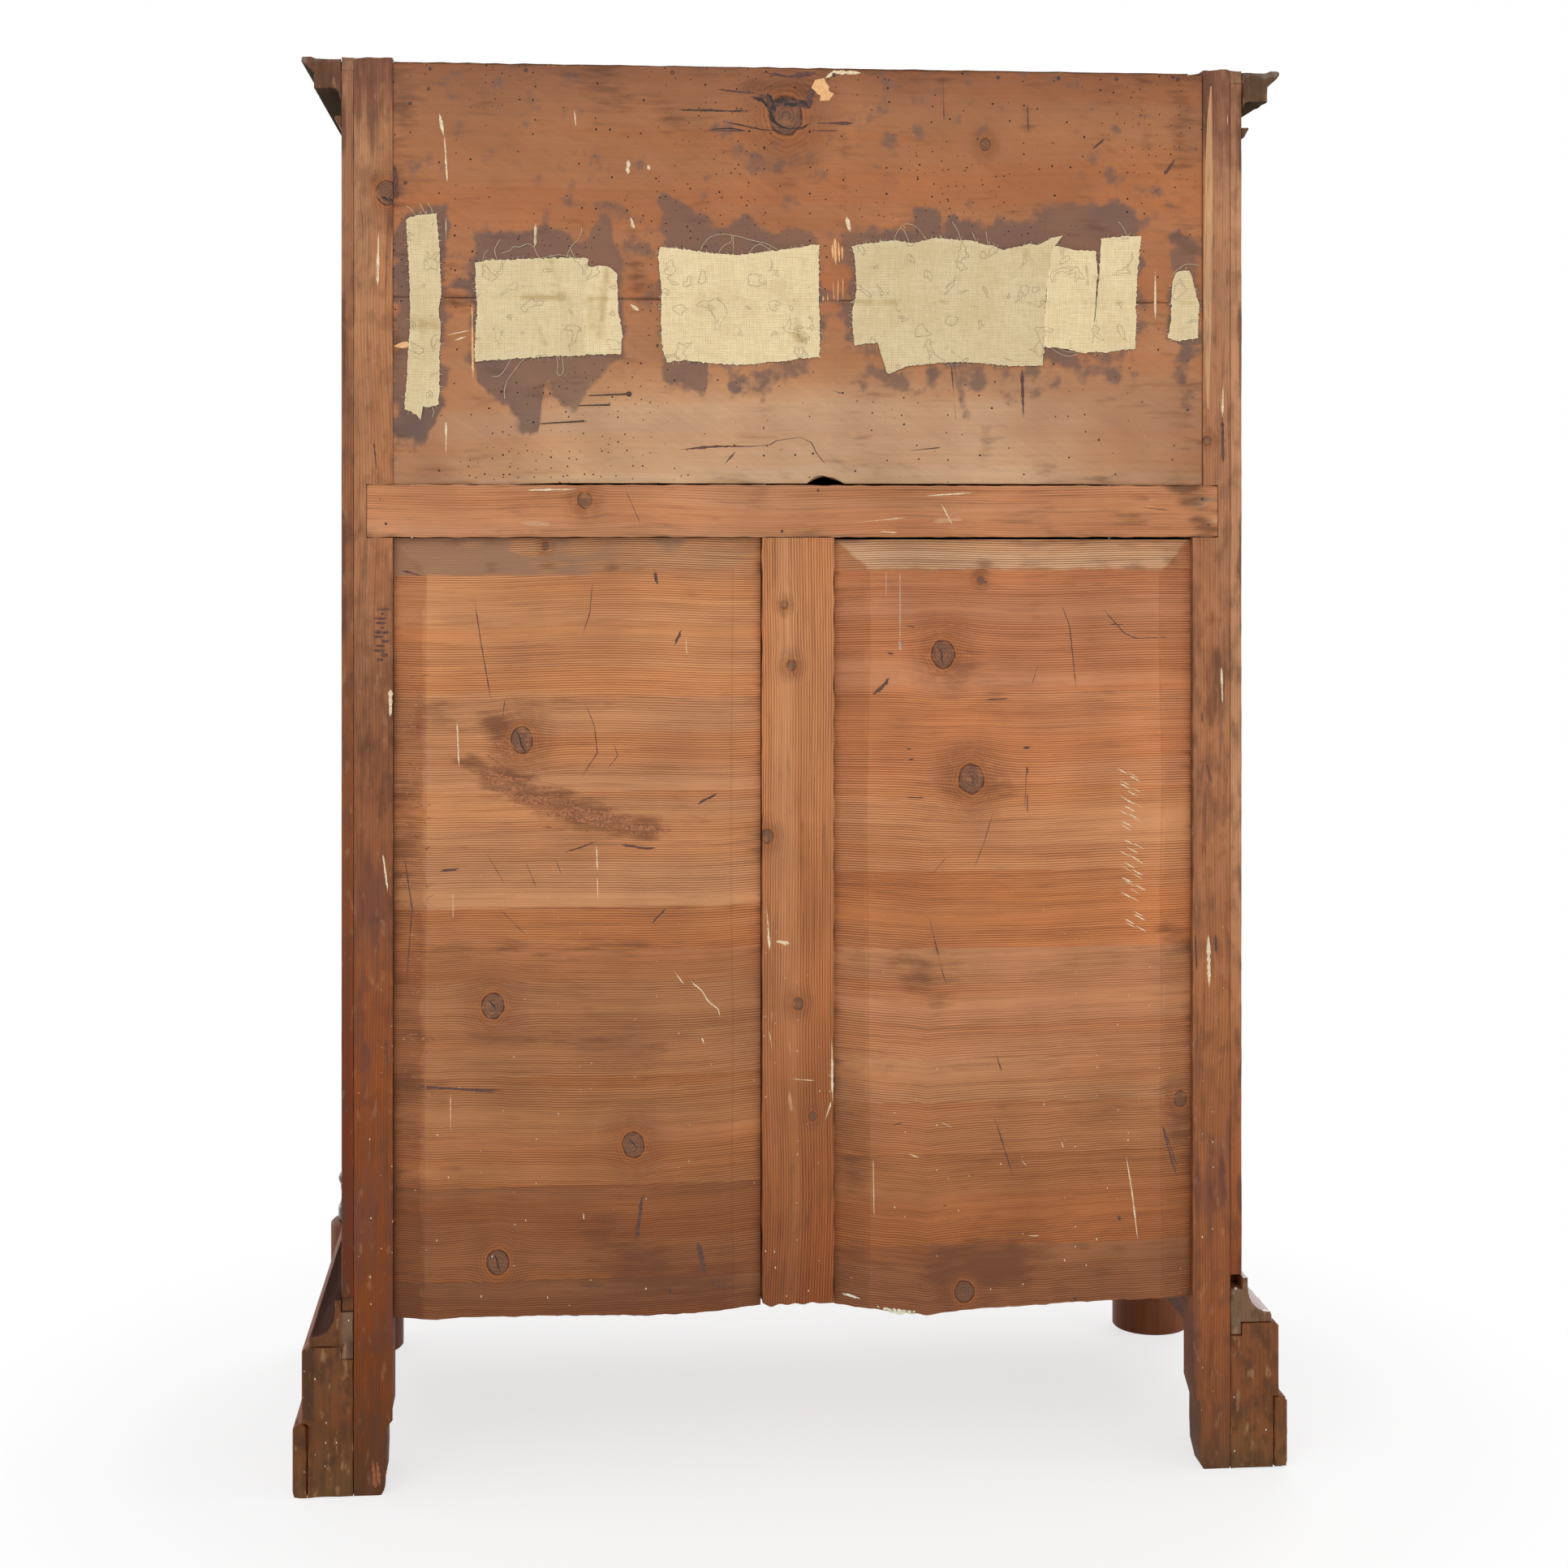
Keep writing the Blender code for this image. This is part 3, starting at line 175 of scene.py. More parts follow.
# The two back panels: pine boards glued edge to edge, with the grain level, planed to a raised
# field with broad bevelled margins, and sawn off unevenly below. They slide in grooves.
BACK_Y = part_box("back_mid_rail")[1].y
CELL = 0.0042
COARSE = 6
RAIL_LOW = 1.046
PANEL_GAP = 0.0006
PANEL_FACE = 0.003
PANEL_MARGIN_FACE = 0.01
PANEL_INNER = 0.018
PANEL_LOW = 0.19
MARGIN_WIDE = 0.034
FIELD_STEP = 0.0005
ARRIS = 0.0015
INNER_SIDE_WEAR = 0.3
PINE_LIGHT = (0.565, 0.261, 0.114)
PINE_DARK = (0.285, 0.104, 0.037)
DIRT = (0.085, 0.034, 0.018)
WORN_WOOD = (0.58, 0.335, 0.175)
DUST = (0.27, 0.145, 0.085)
PANEL_DIRT = (0.125, 0.044, 0.019)
# Each panel's limits across, its raised field's two sides and top, its sawn foot, the tones of its
# boards upward from where each starts, the tones of its margins (at the photo's left, at its right
# and above), how dusty its top margin is, the gap over it, its knots (across, up and radius) and its
# dirty strokes (depth, half width and the line).
PANELS = {
    "right": {
        "across": (0.0405, 0.4447),
        "field": (0.073, 0.41, 1.008),
        "foot": ((0.03, 0.196), (0.09, 0.191), (0.142, 0.188), (0.3, 0.1915), (0.46, 0.19)),
        "boards": (
            (0.16, (0.4, 0.35, 0.34)), (0.23, (0.5, 0.42, 0.37)), (0.333, (0.68, 0.63, 0.58)),
            (0.454, (0.69, 0.64, 0.62)), (0.556, (0.7, 0.6, 0.54)), (0.59, (0.84, 0.76, 0.68)),
            (0.638, (0.92, 0.94, 0.96)), (0.766, (0.9, 0.9, 0.92)), (0.869, (1.0, 1.0, 1.0)),
        ),
        "margins": ((0.83, 0.74, 0.69), (1.09, 1.08, 1.07), (0.96, 1.06, 1.18)),
        "dusty": 0.48,
        "gap": 0.0006,
        "knots": (
            (0.3044, 0.8236, 0.0125), (0.3362, 0.532, 0.0125), (0.1825, 0.3767, 0.0125),
            (0.3309, 0.2507, 0.0125), (0.2787, 1.0365, 0.004),
        ),
        "strokes": (
            (0.5, 0.014, (0.42, 0.597), (0.09, 0.597)), (0.4, 0.016, (0.41, 0.498), (0.15, 0.49)),
            (0.55, 0.022, (0.415, 0.846), (0.33, 0.842)), (0.45, 0.018, (0.335, 0.84), (0.318, 0.785)),
            (0.55, 0.04, (0.21, 0.268), (0.15, 0.235), (0.09, 0.225)),
        ),
    },
    "left": {
        "across": (-0.4447, -0.0405),
        "field": (-0.409, -0.078, 1.01),
        "foot": ((-0.46, 0.1925), (-0.34, 0.1915), (-0.2, 0.186), (-0.142, 0.1815), (-0.09, 0.188),
                 (-0.03, 0.196)),
        "boards": (
            (0.16, (0.5, 0.43, 0.41)), (0.254, (0.65, 0.55, 0.47)), (0.358, (0.76, 0.69, 0.64)),
            (0.417, (0.84, 0.84, 0.86)), (0.463, (0.87, 0.83, 0.85)), (0.586, (0.94, 0.84, 0.76)),
            (0.673, (1.0, 0.97, 0.96)), (0.768, (0.97, 0.88, 0.88)), (0.874, (0.92, 0.83, 0.87)),
            (1.0055, (0.96, 0.93, 0.95)),
        ),
        "margins": ((0.9, 0.88, 0.85), (0.95, 0.92, 0.9), (1.19, 1.62, 2.1)),
        "dusty": 0.15,
        "gap": 0.0024,
        "knots": (
            (-0.162, 0.9161, 0.0135), (-0.1939, 0.7767, 0.0145), (-0.1857, 0.2056, 0.011),
            (-0.4321, 0.4151, 0.008), (-0.204, 0.9982, 0.004),
        ),
        "strokes": (
            (0.75, 0.045, (-0.172, 0.235), (-0.237, 0.235)), (0.55, 0.045, (-0.135, 0.565), (-0.155, 0.54)),
            (0.45, 0.022, (-0.412, 0.605), (-0.447, 0.59)), (0.45, 0.022, (-0.418, 0.42), (-0.44, 0.34)),
            (0.45, 0.028, (-0.14, 0.935), (-0.19, 0.895)), (0.4, 0.022, (-0.17, 0.78), (-0.235, 0.77)),
            (0.35, 0.02, (-0.06, 0.4), (-0.062, 0.25)),
        ),
    },
}


def ripple(one, other, size, seed):
    """Smooth uneven values from about -1 to 1 over two coordinates, with waves of about a size."""
    dice = np.random.default_rng(seed)
    total = 0.0
    for _ in range(7):
        turn, shift = dice.uniform(0.0, 2.0 * math.pi, 2)
        pitch = 2.0 * math.pi / size * dice.uniform(0.5, 1.5)
        total = total + np.sin((one * math.cos(turn) + other * math.sin(turn)) * pitch + shift)
    return total / 3.0


def unit(value):
    """A value kept between 0 and 1."""
    return np.clip(value, 0.0, 1.0)


def places(stops, cell):
    """Positions a cell apart that hit every stop, in a number that the coarse inner side can share."""
    found = [stops[0]]
    for low, high in zip(stops, stops[1:]):
        found += list(np.linspace(low, high, max(1, round((high - low) / cell)) + 1)[1:])
    while (len(found) - 1) % COARSE:
        widest = int(np.argmax(np.diff(found)))
        found.insert(widest + 1, (found[widest] + found[widest + 1]) / 2.0)
    return np.array(found)


def edged(low, high, *stops):
    """A board's limits, its inner stops and a narrow strip at each edge for the worn arris."""
    return sorted([low, low + ARRIS, high - ARRIS, high, *stops])


def made_smooth(builder, mesh, sharp):
    """Ends the making of a mesh, with smooth faces and edges sharp above an angle in degrees."""
    builder.to_mesh(mesh)
    builder.free()
    mesh.shade_smooth()
    mesh.set_sharp_from_angle(angle=math.radians(sharp))


def piece_of(name, points, faces, finishes, body="carcase", smooth=35):
    """A mesh object from points and faces, with its materials, riding on a body."""
    mesh = bpy.data.meshes.new(name)
    mesh.from_pydata(points, [], faces)
    builder = bmesh.new()
    builder.from_mesh(mesh)
    bmesh.ops.recalc_face_normals(builder, faces=builder.faces)
    made_smooth(builder, mesh, smooth)
    for made in finishes:
        mesh.materials.append(made)
    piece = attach(placed(name, mesh), body)
    return piece


def keep(piece, name, values):
    """Stores a number or a vector for each point of a mesh, for its material to read."""
    kind = "FLOAT" if values.ndim == 1 else "FLOAT_VECTOR"
    made = piece.data.attributes.new(name, kind, "POINT")
    made.data.foreach_set("value" if kind == "FLOAT" else "vector", values.astype(np.float32).ravel())


def grid_faces(fine, rough, step):
    """Faces of a closed body between a fine grid of points and a rougher one behind it."""
    faces = []
    for grid in (fine, rough):
        corners = [grid[:-1, :-1], grid[:-1, 1:], grid[1:, 1:], grid[1:, :-1]]
        faces += np.stack(corners, -1).reshape(-1, 4).tolist()
    ends = ((fine[0], rough[0]), (fine[-1], rough[-1]))
    flanks = ((fine[:, 0], rough[:, 0]), (fine[:, -1], rough[:, -1]))
    for near, far in (*ends, *flanks):
        for i in range(len(far) - 1):
            strip = near[i * step:(i + 1) * step + 1].tolist()
            faces.append([*strip, int(far[i + 1]), int(far[i])])
    return faces


def grain_round(x, z, knots, upright):
    """How far points lie along the grain and across it, where the grain bends round the knots."""
    along, across = (z, x) if upright else (x, z)
    bent = across + 0.002 * ripple(along, across * 0.5, 0.35, 3)
    for knot_x, knot_z, radius in knots:
        knot_along, knot_across = (knot_z, knot_x) if upright else (knot_x, knot_z)
        off = across - knot_across
        pull = np.exp(-((along - knot_along) / (2.2 * radius)) ** 2 - (off / (2.2 * radius)) ** 2)
        bent = bent - 0.55 * off * pull
    return along, bent


def plank(name, columns, rows, face, inner, shape, marks, finishes, knots=(), upright=False, extra=None):
    """A closed board: a fine worn face towards the back plane, worn edges and a coarse inner side."""
    x, z = np.meshgrid(columns, rows)
    moved_x, moved_z, sunk = shape(x, z)
    count_z, count_x = x.shape
    front = np.stack([moved_x, BACK_Y - face - sunk, moved_z], -1).reshape(-1, 3)
    few_x, few_z = moved_x[::COARSE, ::COARSE], moved_z[::COARSE, ::COARSE]
    back = np.stack([few_x, np.full(few_x.shape, BACK_Y - inner), few_z], -1).reshape(-1, 3)
    index = np.arange(count_z * count_x).reshape(count_z, count_x)
    fewer = index.size + np.arange(few_x.size).reshape(few_x.shape)
    faces = grid_faces(index, fewer, COARSE)
    piece = piece_of(name, np.concatenate([front, back]).tolist(), faces, finishes)
    both_x = np.concatenate([x.ravel(), x[::COARSE, ::COARSE].ravel()])
    both_z = np.concatenate([z.ravel(), z[::COARSE, ::COARSE].ravel()])
    along, across = grain_round(both_x, both_z, knots, upright)
    keep(piece, "grain", np.stack([along, across, np.zeros_like(along)], -1))
    wear = np.stack(np.broadcast_arrays(*marks(both_x, both_z)), -1)
    wear[index.size:] *= INNER_SIDE_WEAR
    keep(piece, "marks", wear)
    if extra:
        keep(piece, "extra", np.stack(extra(both_x, both_z), -1))
    return piece


def kept(tree, name):
    """What a mesh stores for each of its points under a name."""
    return node(tree, "Attribute", {}, out="Vector", attribute_name=name)


def number_of(tree, vector, axis):
    """One of the three numbers of a vector."""
    return node(tree, "SeparateXYZ", {0: vector}, out=axis)


def mixed(tree, share, one, other, blend="MIX"):
    """A mix of two colours."""
    inputs = {0: share, 6: one, 7: other}
    return node(tree, "Mix", inputs, out=2, data_type="RGBA", blend_type=blend, clamp_factor=True)


def laid(tree, colour, other, share, most):
    """Lays another colour over a colour, by a share of the most that it may cover."""
    return mixed(tree, maths(tree, "MULTIPLY", share, most), colour, other)


def noise(tree, where, scale, detail=2.0, distortion=0.0):
    """Cloudy noise."""
    inputs = {"Vector": where, "Scale": scale, "Detail": detail, "Distortion": distortion}
    return node(tree, "TexNoise", inputs)


def stretched(tree, where, factors):
    """Coordinates stretched by a factor on each axis."""
    return node(tree, "VectorMath", {0: where, 1: factors}, operation="MULTIPLY")


def scaled(tree, colour, factor):
    """A colour made lighter or darker by a number."""
    return node(tree, "VectorMath", {0: colour, "Scale": factor}, operation="SCALE")


def roughen(tree, shader, height, strength, deep):
    """Gives a surface a fine relief."""
    bump = node(tree, "Bump", {"Strength": strength, "Distance": deep, "Height": height})
    tree.links.new(bump, shader.inputs["Normal"])


def ramp(tree, value, stops, constant=False, out="Color"):
    """Colours, each with its strength, along a value; or plain greys where a stop is one number."""
    made = tree.nodes.new("ShaderNodeValToRGB")
    made.color_ramp.interpolation = "CONSTANT" if constant else "LINEAR"
    elements = made.color_ramp.elements
    while len(elements) < len(stops):
        elements.new(1.0)
    for element, (position, colour) in zip(elements, stops):
        element.position = position
        element.color = colour if isinstance(colour, tuple) else (colour, colour, colour, 1.0)
    tree.links.new(value, made.inputs[0])
    return (made.outputs["Color"], made.outputs["Alpha"]) if out == "both" else made.outputs[out]


def dots(tree, flat, pitch, radius, share):
    """Small round dots scattered about a pitch apart, in a share of the places."""
    settings = {"voronoi_dimensions": "2D", "feature": "F1"}
    inputs = {"Vector": flat, "Scale": 1.0 / pitch}
    cell = node(tree, "TexVoronoi", inputs, out="Color", **settings)
    near = node(tree, "TexVoronoi", inputs, out="Distance", **settings)
    chance = node(tree, "SeparateColor", {0: cell}, out="Red")
    chosen = maths(tree, "LESS_THAN", chance, share)
    size = node(tree, "SeparateColor", {0: cell}, out="Green")
    reach = times_plus(tree, size, 0.7 * radius / pitch, 0.5 * radius / pitch)
    inside = maths(tree, "LESS_THAN", near, reach)
    return maths(tree, "MULTIPLY", inside, chosen)


def knot_reach(tree, where, knots):
    """How many radii a point is from the nearest knot, with an uneven edge."""
    nearest = None
    for x, z, radius in knots:
        factors = (1.0 / radius, 0.0, 0.85 / radius)
        back = (-x / radius, 0.0, -0.85 * z / radius)
        off = node(tree, "VectorMath", {0: where, 1: factors, 2: back}, operation="MULTIPLY_ADD")
        reach = node(tree, "VectorMath", {0: off}, out="Value", operation="LENGTH")
        nearest = reach if nearest is None else maths(tree, "MINIMUM", nearest, reach)
    wobble = noise(tree, where, 60.0, 3.0)
    return times_plus(tree, wobble, 0.45, maths(tree, "SUBTRACT", nearest, 0.22))


# A knot's colours and how far they cover the wood, from its heart out to KNOT_REACH of its radii.
KNOT_REACH = 3.6
KNOT_TONES = (
    (0.0, (0.14, 0.07, 0.042, 0.92)), (0.22, (0.16, 0.074, 0.044, 0.92)),
    (0.265, (0.05, 0.02, 0.011, 0.95)), (0.3, (0.3, 0.095, 0.028, 0.75)),
    (0.45, (0.21, 0.072, 0.028, 0.5)), (0.7, (0.17, 0.062, 0.032, 0.25)),
    (1.0, (0.2, 0.08, 0.04, 0.0)),
)


def knot_tone(tree, where, colour, knots):
    """Lays brown knots, their broken dark rims and the darker wood round them over a colour."""
    reach = knot_reach(tree, where, knots)
    tone, share = ramp(tree, maths(tree, "DIVIDE", reach, KNOT_REACH), KNOT_TONES, out="both")
    heart = maths(tree, "SINE", maths(tree, "MULTIPLY", reach, 24.0))
    tone = scaled(tree, tone, times_plus(tree, heart, 0.22, 0.95))
    broken = times_plus(tree, noise(tree, where, 110.0, 4.0), 2.2, -0.2)
    return mixed(tree, maths(tree, "MULTIPLY", share, maths(tree, "MINIMUM", broken, 1.0)), colour, tone)


def bevel_tone(tree, colour, photo_left, photo_right, above, rings):
    """Gives each of the bevelled margins its own tone, with the edge of the field uneven."""
    beyond = kept(tree, "extra")
    one, other, top = (number_of(tree, beyond, axis) for axis in "XYZ")
    side = maths(tree, "MAXIMUM", one, other)
    rough_edge = maths(tree, "SUBTRACT", noise(tree, here(tree), 55.0, 5.0), 0.5)
    plain = maths(tree, "MAXIMUM", side, top)
    uneven = times_plus(tree, rough_edge, 0.014, plain)
    cut = between(tree, uneven, -0.001, 0.0045)
    nearer = between(tree, maths(tree, "SUBTRACT", other, one), -0.001, 0.001)
    flank = mixed(tree, nearer, photo_left, photo_right)
    mitre = times_plus(tree, rough_edge, 0.016, maths(tree, "SUBTRACT", top, side))
    tint = mixed(tree, between(tree, mitre, -0.003, 0.003), flank, above)
    tint = mixed(tree, cut, (1.0, 1.0, 1.0), tint)
    colour = mixed(tree, 1.0, colour, tint, "MULTIPLY")
    seam = maths(tree, "MULTIPLY", between(tree, plain, -0.002, 0.0), between(tree, plain, 0.002, 0.0))
    colour = laid(tree, colour, DIRT, seam, 0.16)
    return laid(tree, colour, DIRT, maths(tree, "MULTIPLY", cut, rings), 0.3)


# The pine's rings are a pitch apart. Its tones change with the height, suddenly where boards meet.
# Its stain, dirt and rubbing lie where the mesh stores them, the stain with a sharp or a soft edge,
# and stretched along the grain where it grows that way. Calm wood has less marked fibres.
def pine(name, light=PINE_LIGHT, dark=PINE_DARK, pitch=0.0026, contrast=0.95, tones=None, sharp=False,
         knots=(), stain=DUST, dirt=DIRT, margins=None, bleach=None, calm=1.0, holes=0.0, specks=0.0,
         stain_edge=0.25, stain_grow=None, streaks=0.0, grime=0.0, planed=0.0, rough=0.74):
    """Bare aged pine: rings and fibres along its stored grain, knots, and its stored stains and wear."""
    made, tree, shader = finish(name, rough)
    shader.inputs["Specular IOR Level"].default_value = 0.22
    where, grain, marks = here(tree), kept(tree, "grain"), kept(tree, "marks")
    height, across = number_of(tree, where, "Z"), number_of(tree, grain, "Y")
    flat = node(tree, "CombineXYZ", {"X": number_of(tree, where, "X"), "Y": height})
    tone = (1.0, 1.0, 1.0)
    if tones:
        low, high = tones[0][0], tones[-1][0] + 0.2
        stops = [((start - low) / (high - low), (*colour, 1.0)) for start, colour in tones]
        wave = noise(tree, stretched(tree, where, (4.0, 0.0, 0.0)), 1.0)
        wavy = times_plus(tree, wave, 0.006, height)
        place = times_plus(tree, wavy, 1.0 / (high - low), (-low - 0.003) / (high - low))
        tone = ramp(tree, place, stops, constant=sharp)
        if sharp:
            grain = node(tree, "VectorMath", {0: grain, 1: scaled(tree, tone, 9.0)}, operation="ADD")
    slow = noise(tree, stretched(tree, grain, (1.2, 16.0, 1.0)), 1.0, 2.0)
    turns = times_plus(tree, across, 1.0 / pitch, maths(tree, "MULTIPLY", slow, 2.4))
    rings = maths(tree, "SINE", maths(tree, "MULTIPLY", turns, 2.0 * math.pi))
    rings = maths(tree, "POWER", times_plus(tree, rings, 0.5, 0.5), 2.2)
    clear = noise(tree, stretched(tree, grain, (0.9, 22.0, 5.0)), 1.0, 1.0)
    rings = maths(tree, "MULTIPLY", rings, between(tree, clear, 0.26, 0.52))
    fibre = noise(tree, stretched(tree, grain, (14.0, 800.0, 30.0)), 1.0, 3.0)
    lines = noise(tree, stretched(tree, grain, (4.0, 230.0, 8.0)), 1.0, 3.0)
    bands = noise(tree, stretched(tree, grain, (1.8, 65.0, 4.0)), 1.0, 3.0)
    cloud = noise(tree, where, 3.2, 4.0)
    blotch = noise(tree, where, 11.0, 4.0)
    depth = times_plus(tree, rings, contrast, 0.08)
    for part, amount in ((fibre, 0.7 * calm), (lines, 0.8 * calm), (bands, 0.5 * calm), (cloud, 0.9)):
        depth = maths(tree, "ADD", depth, times_plus(tree, part, amount, -amount / 2.0))
    colour = mixed(tree, depth, light, dark)
    redder = noise(tree, stretched(tree, grain, (1.1, 20.0, 3.0)), 1.0, 2.0)
    warm = mixed(tree, 1.0, colour, (1.0, 0.83, 0.66), "MULTIPLY")
    colour = laid(tree, colour, warm, between(tree, redder, 0.42, 0.62), 0.6)
    colour = mixed(tree, 1.0, colour, tone, "MULTIPLY")
    colour = scaled(tree, colour, times_plus(tree, blotch, 0.6, 0.71))
    if planed:
        turned = node(tree, "VectorRotate", {"Vector": where, "Angle": planed}, rotation_type="Y_AXIS")
        strokes = noise(tree, stretched(tree, turned, (9.0, 0.0, 150.0)), 1.0, 3.0)
        colour = scaled(tree, colour, times_plus(tree, strokes, 0.2, 0.9))
    if margins:
        colour = bevel_tone(tree, colour, *margins, rings)
    if bleach:
        faded = number_of(tree, kept(tree, "extra"), "X")
        colour = mixed(tree, 1.0, colour, mixed(tree, faded, (1.0, 1.0, 1.0), bleach), "MULTIPLY")
    if streaks:
        dark_lines = noise(tree, stretched(tree, grain, (9.0, 210.0, 2.0)), 1.0, 3.0)
        colour = laid(tree, colour, dirt, between(tree, dark_lines, 0.54, 0.7), streaks)
    dirt_amount, stain_amount, worn_amount = (number_of(tree, marks, axis) for axis in "XYZ")
    grit = noise(tree, stretched(tree, grain, (30.0, 150.0, 30.0)), 1.0, 5.0)
    rubbed = times_plus(tree, grit, 1.6, maths(tree, "SUBTRACT", worn_amount, 1.3))
    colour = laid(tree, colour, WORN_WOOD, between(tree, rubbed, 0.0, 0.22), 0.7)
    if stain_grow:
        soft = noise(tree, stretched(tree, grain, stain_grow), 1.0, 5.0)
    else:
        soft = noise(tree, where, 45.0, 4.0)
    inside = maths(tree, "SUBTRACT", stain_amount, stain_edge)
    soaked = times_plus(tree, soft, stain_edge * 2.0, inside)
    strength = times_plus(tree, blotch, 1.1, 0.22)
    colour = laid(tree, colour, stain, between(tree, soaked, 0.36, 0.66), strength)
    fouled = times_plus(tree, grit, 1.5, maths(tree, "SUBTRACT", dirt_amount, 0.85))
    colour = laid(tree, colour, dirt, between(tree, fouled, 0.0, 0.9), 0.75)
    if grime:
        crust = noise(tree, stretched(tree, where, (1.0, 1.0, 0.55)), 70.0, 6.0)
        scraped = noise(tree, stretched(tree, where, (1.0, 1.0, 0.35)), 120.0, 5.0)
        colour = laid(tree, colour, dirt, between(tree, crust, 0.48, 0.66), grime)
        colour = laid(tree, colour, WORN_WOOD, between(tree, scraped, 0.58, 0.72), 0.5 * grime)
    if knots:
        colour = knot_tone(tree, where, colour, knots)
    if holes:
        eaten = between(tree, noise(tree, where, 6.0, 2.0), 0.47, 0.6)
        pinholes = maths(tree, "MULTIPLY", dots(tree, flat, 0.009, 0.0008, 0.4), eaten)
        bored = maths(tree, "MAXIMUM", dots(tree, flat, 0.017, 0.001, holes), pinholes)
        colour = mixed(tree, bored, colour, (0.012, 0.006, 0.004))
    if specks:
        drops = dots(tree, stretched(tree, flat, (1.0, 0.55, 1.0)), 0.012, 0.00055, specks)
        drops = maths(tree, "MULTIPLY", drops, between(tree, height, 0.8, 0.2))
        colour = mixed(tree, drops, colour, (0.7, 0.62, 0.48))
    tree.links.new(colour, shader.inputs["Base Color"])
    tree.links.new(times_plus(tree, blotch, 0.25, rough - 0.14), shader.inputs["Roughness"])
    relief = times_plus(tree, rings, -0.35, fibre)
    roughen(tree, shader, relief, 0.35, 0.0006)
    return made


def near_stroke(x, z, line, width):
    """1 on a broad stroke through points, falling to 0 beside it."""
    nearest = np.full(x.shape, 9.0)
    for (x0, z0), (x1, z1) in zip(line, line[1:]):
        run = np.array([x1 - x0, z1 - z0])
        share = unit(((x - x0) * run[0] + (z - z0) * run[1]) / (run @ run))
        nearest = np.minimum(nearest, np.hypot(x - x0 - share * run[0], z - z0 - share * run[1]))
    return unit(1.0 - nearest / width)


# The right panel's grain is torn up in a long rough patch below its upper knot.
TORN_GRAIN = ((0.345, 0.792), (0.324, 0.777), (0.26, 0.748), (0.205, 0.732), (0.157, 0.724))
TOP_MARGIN = 1.005
for word, panel in PANELS.items():
    left, right = panel["across"]
    field_left, field_right, field_top = panel["field"]
    foot_x, foot_z = np.array(panel["foot"]).T
    top = RAIL_LOW - panel["gap"]

    def out_of_field(x, z, word=word, left=field_left, right=field_right, top=field_top):
        """How far a point lies outside the raised field's two sides and its top, less than 0 inside."""
        seed = len(word)
        one = x - right + 0.0018 * ripple(z, 0, 0.5, seed)
        other = left - x + 0.0022 * ripple(z, 0, 0.4, seed + 5)
        return one, other, z - top + 0.0012 * ripple(x, 0, 0.4, seed + 9)

    def panel_shape(x, z, low=(foot_x, foot_z), top=top, out=out_of_field):
        """Bevelled margins and a ragged lower edge."""
        floor_z = np.interp(x, *low) + 0.0003 * ripple(x, 0, 0.012, 5)
        floor_z = floor_z + 0.0007 * ripple(x, 0, 0.06, 6)
        share = (z - z.min()) / (z.max() - z.min())
        margin = unit(np.maximum.reduce(out(x, z)) / MARGIN_WIDE)
        sunk = (PANEL_MARGIN_FACE - PANEL_FACE) * margin + FIELD_STEP * (margin > 0)
        worn = (z < z.min() + 0.002) * (0.0012 + 0.0008 * ripple(x, 0, 0.02, 7))
        return x, floor_z + share * (top - floor_z), sunk + worn + 0.00012 * (1 + ripple(x, z * 3, 0.09, 8))

    panel["shape"] = panel_shape

    def panel_marks(x, z, word=word, panel=panel):
        """Where the panel is dirty, dusty and rubbed."""
        left, right = panel["across"]
        low = unit((0.42 - z) / 0.25) * 0.24
        edge = np.exp(-np.minimum(x - left, right - x) / 0.007) * 0.35 + np.exp(-(RAIL_LOW - z) / 0.006) * 0.3
        dirty = low + edge + 0.1 * ripple(x, z * 1.6, 0.16, 11 + len(word)) + 0.08 * ripple(x, z, 0.05, 10)
        for joint, _ in panel["boards"][1:]:
            dirty = dirty + 0.22 * np.exp(-np.abs(joint - z) / 0.01) * (z < joint)
        under_rail = near_stroke(x, z, ((left, 1.014), (right, 1.014)), 0.012)
        dirty = dirty + 0.4 * under_rail * ripple(x, 0, 0.04, 14)
        dusty = panel["dusty"] + 2.0 * (x - 0.24) * (x > 0) + 0.22 * ripple(x, z * 2, 0.07, 12 + len(word))
        dusty = dusty - 1.0 * (z < TOP_MARGIN)
        rubbed = 0.1 * ripple(x, z, 0.2, 13)
        if word == "right":
            jagged = x + 0.016 * ripple(z, 0, 0.022, 16) + 0.006 * ripple(z, x * 0.3, 0.01, 17)
            torn = near_stroke(jagged, z, TORN_GRAIN, 0.018 + 0.035 * np.clip(x - 0.15, 0.0, 0.2))
            dirty = dirty + 0.66 * unit(1.7 * torn)
            worn_margin = unit((x - 0.408) / 0.01) * unit((0.98 - z) / 0.1)
            dirty = dirty + worn_margin * (0.24 + 0.26 * ripple(x, z, 0.05, 15))
            rubbed = rubbed + 0.3 * near_stroke(x, z, TORN_GRAIN[2:4], 0.016)
        for depth, width, *line in panel["strokes"]:
            dirty = dirty + depth * near_stroke(x, z, line, width)
        return unit(dirty), unit(dusty), unit(rubbed)

    panel_pine = pine(
        "panel_pine_" + word, tones=panel["boards"], sharp=True, knots=panel["knots"],
        margins=panel["margins"], specks=0.09, streaks=0.22, dirt=PANEL_DIRT,
        stain_grow=(5.0, 55.0, 6.0), stain_edge=0.6,
    )
    piece = plank(
        "panel_" + word, places(edged(left + PANEL_GAP, right - PANEL_GAP), CELL),
        places(edged(PANEL_LOW, top), CELL), PANEL_FACE, PANEL_INNER, panel_shape, panel_marks,
        [panel_pine], knots=panel["knots"], extra=out_of_field,
    )
    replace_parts(piece, "back_panel_" + word)


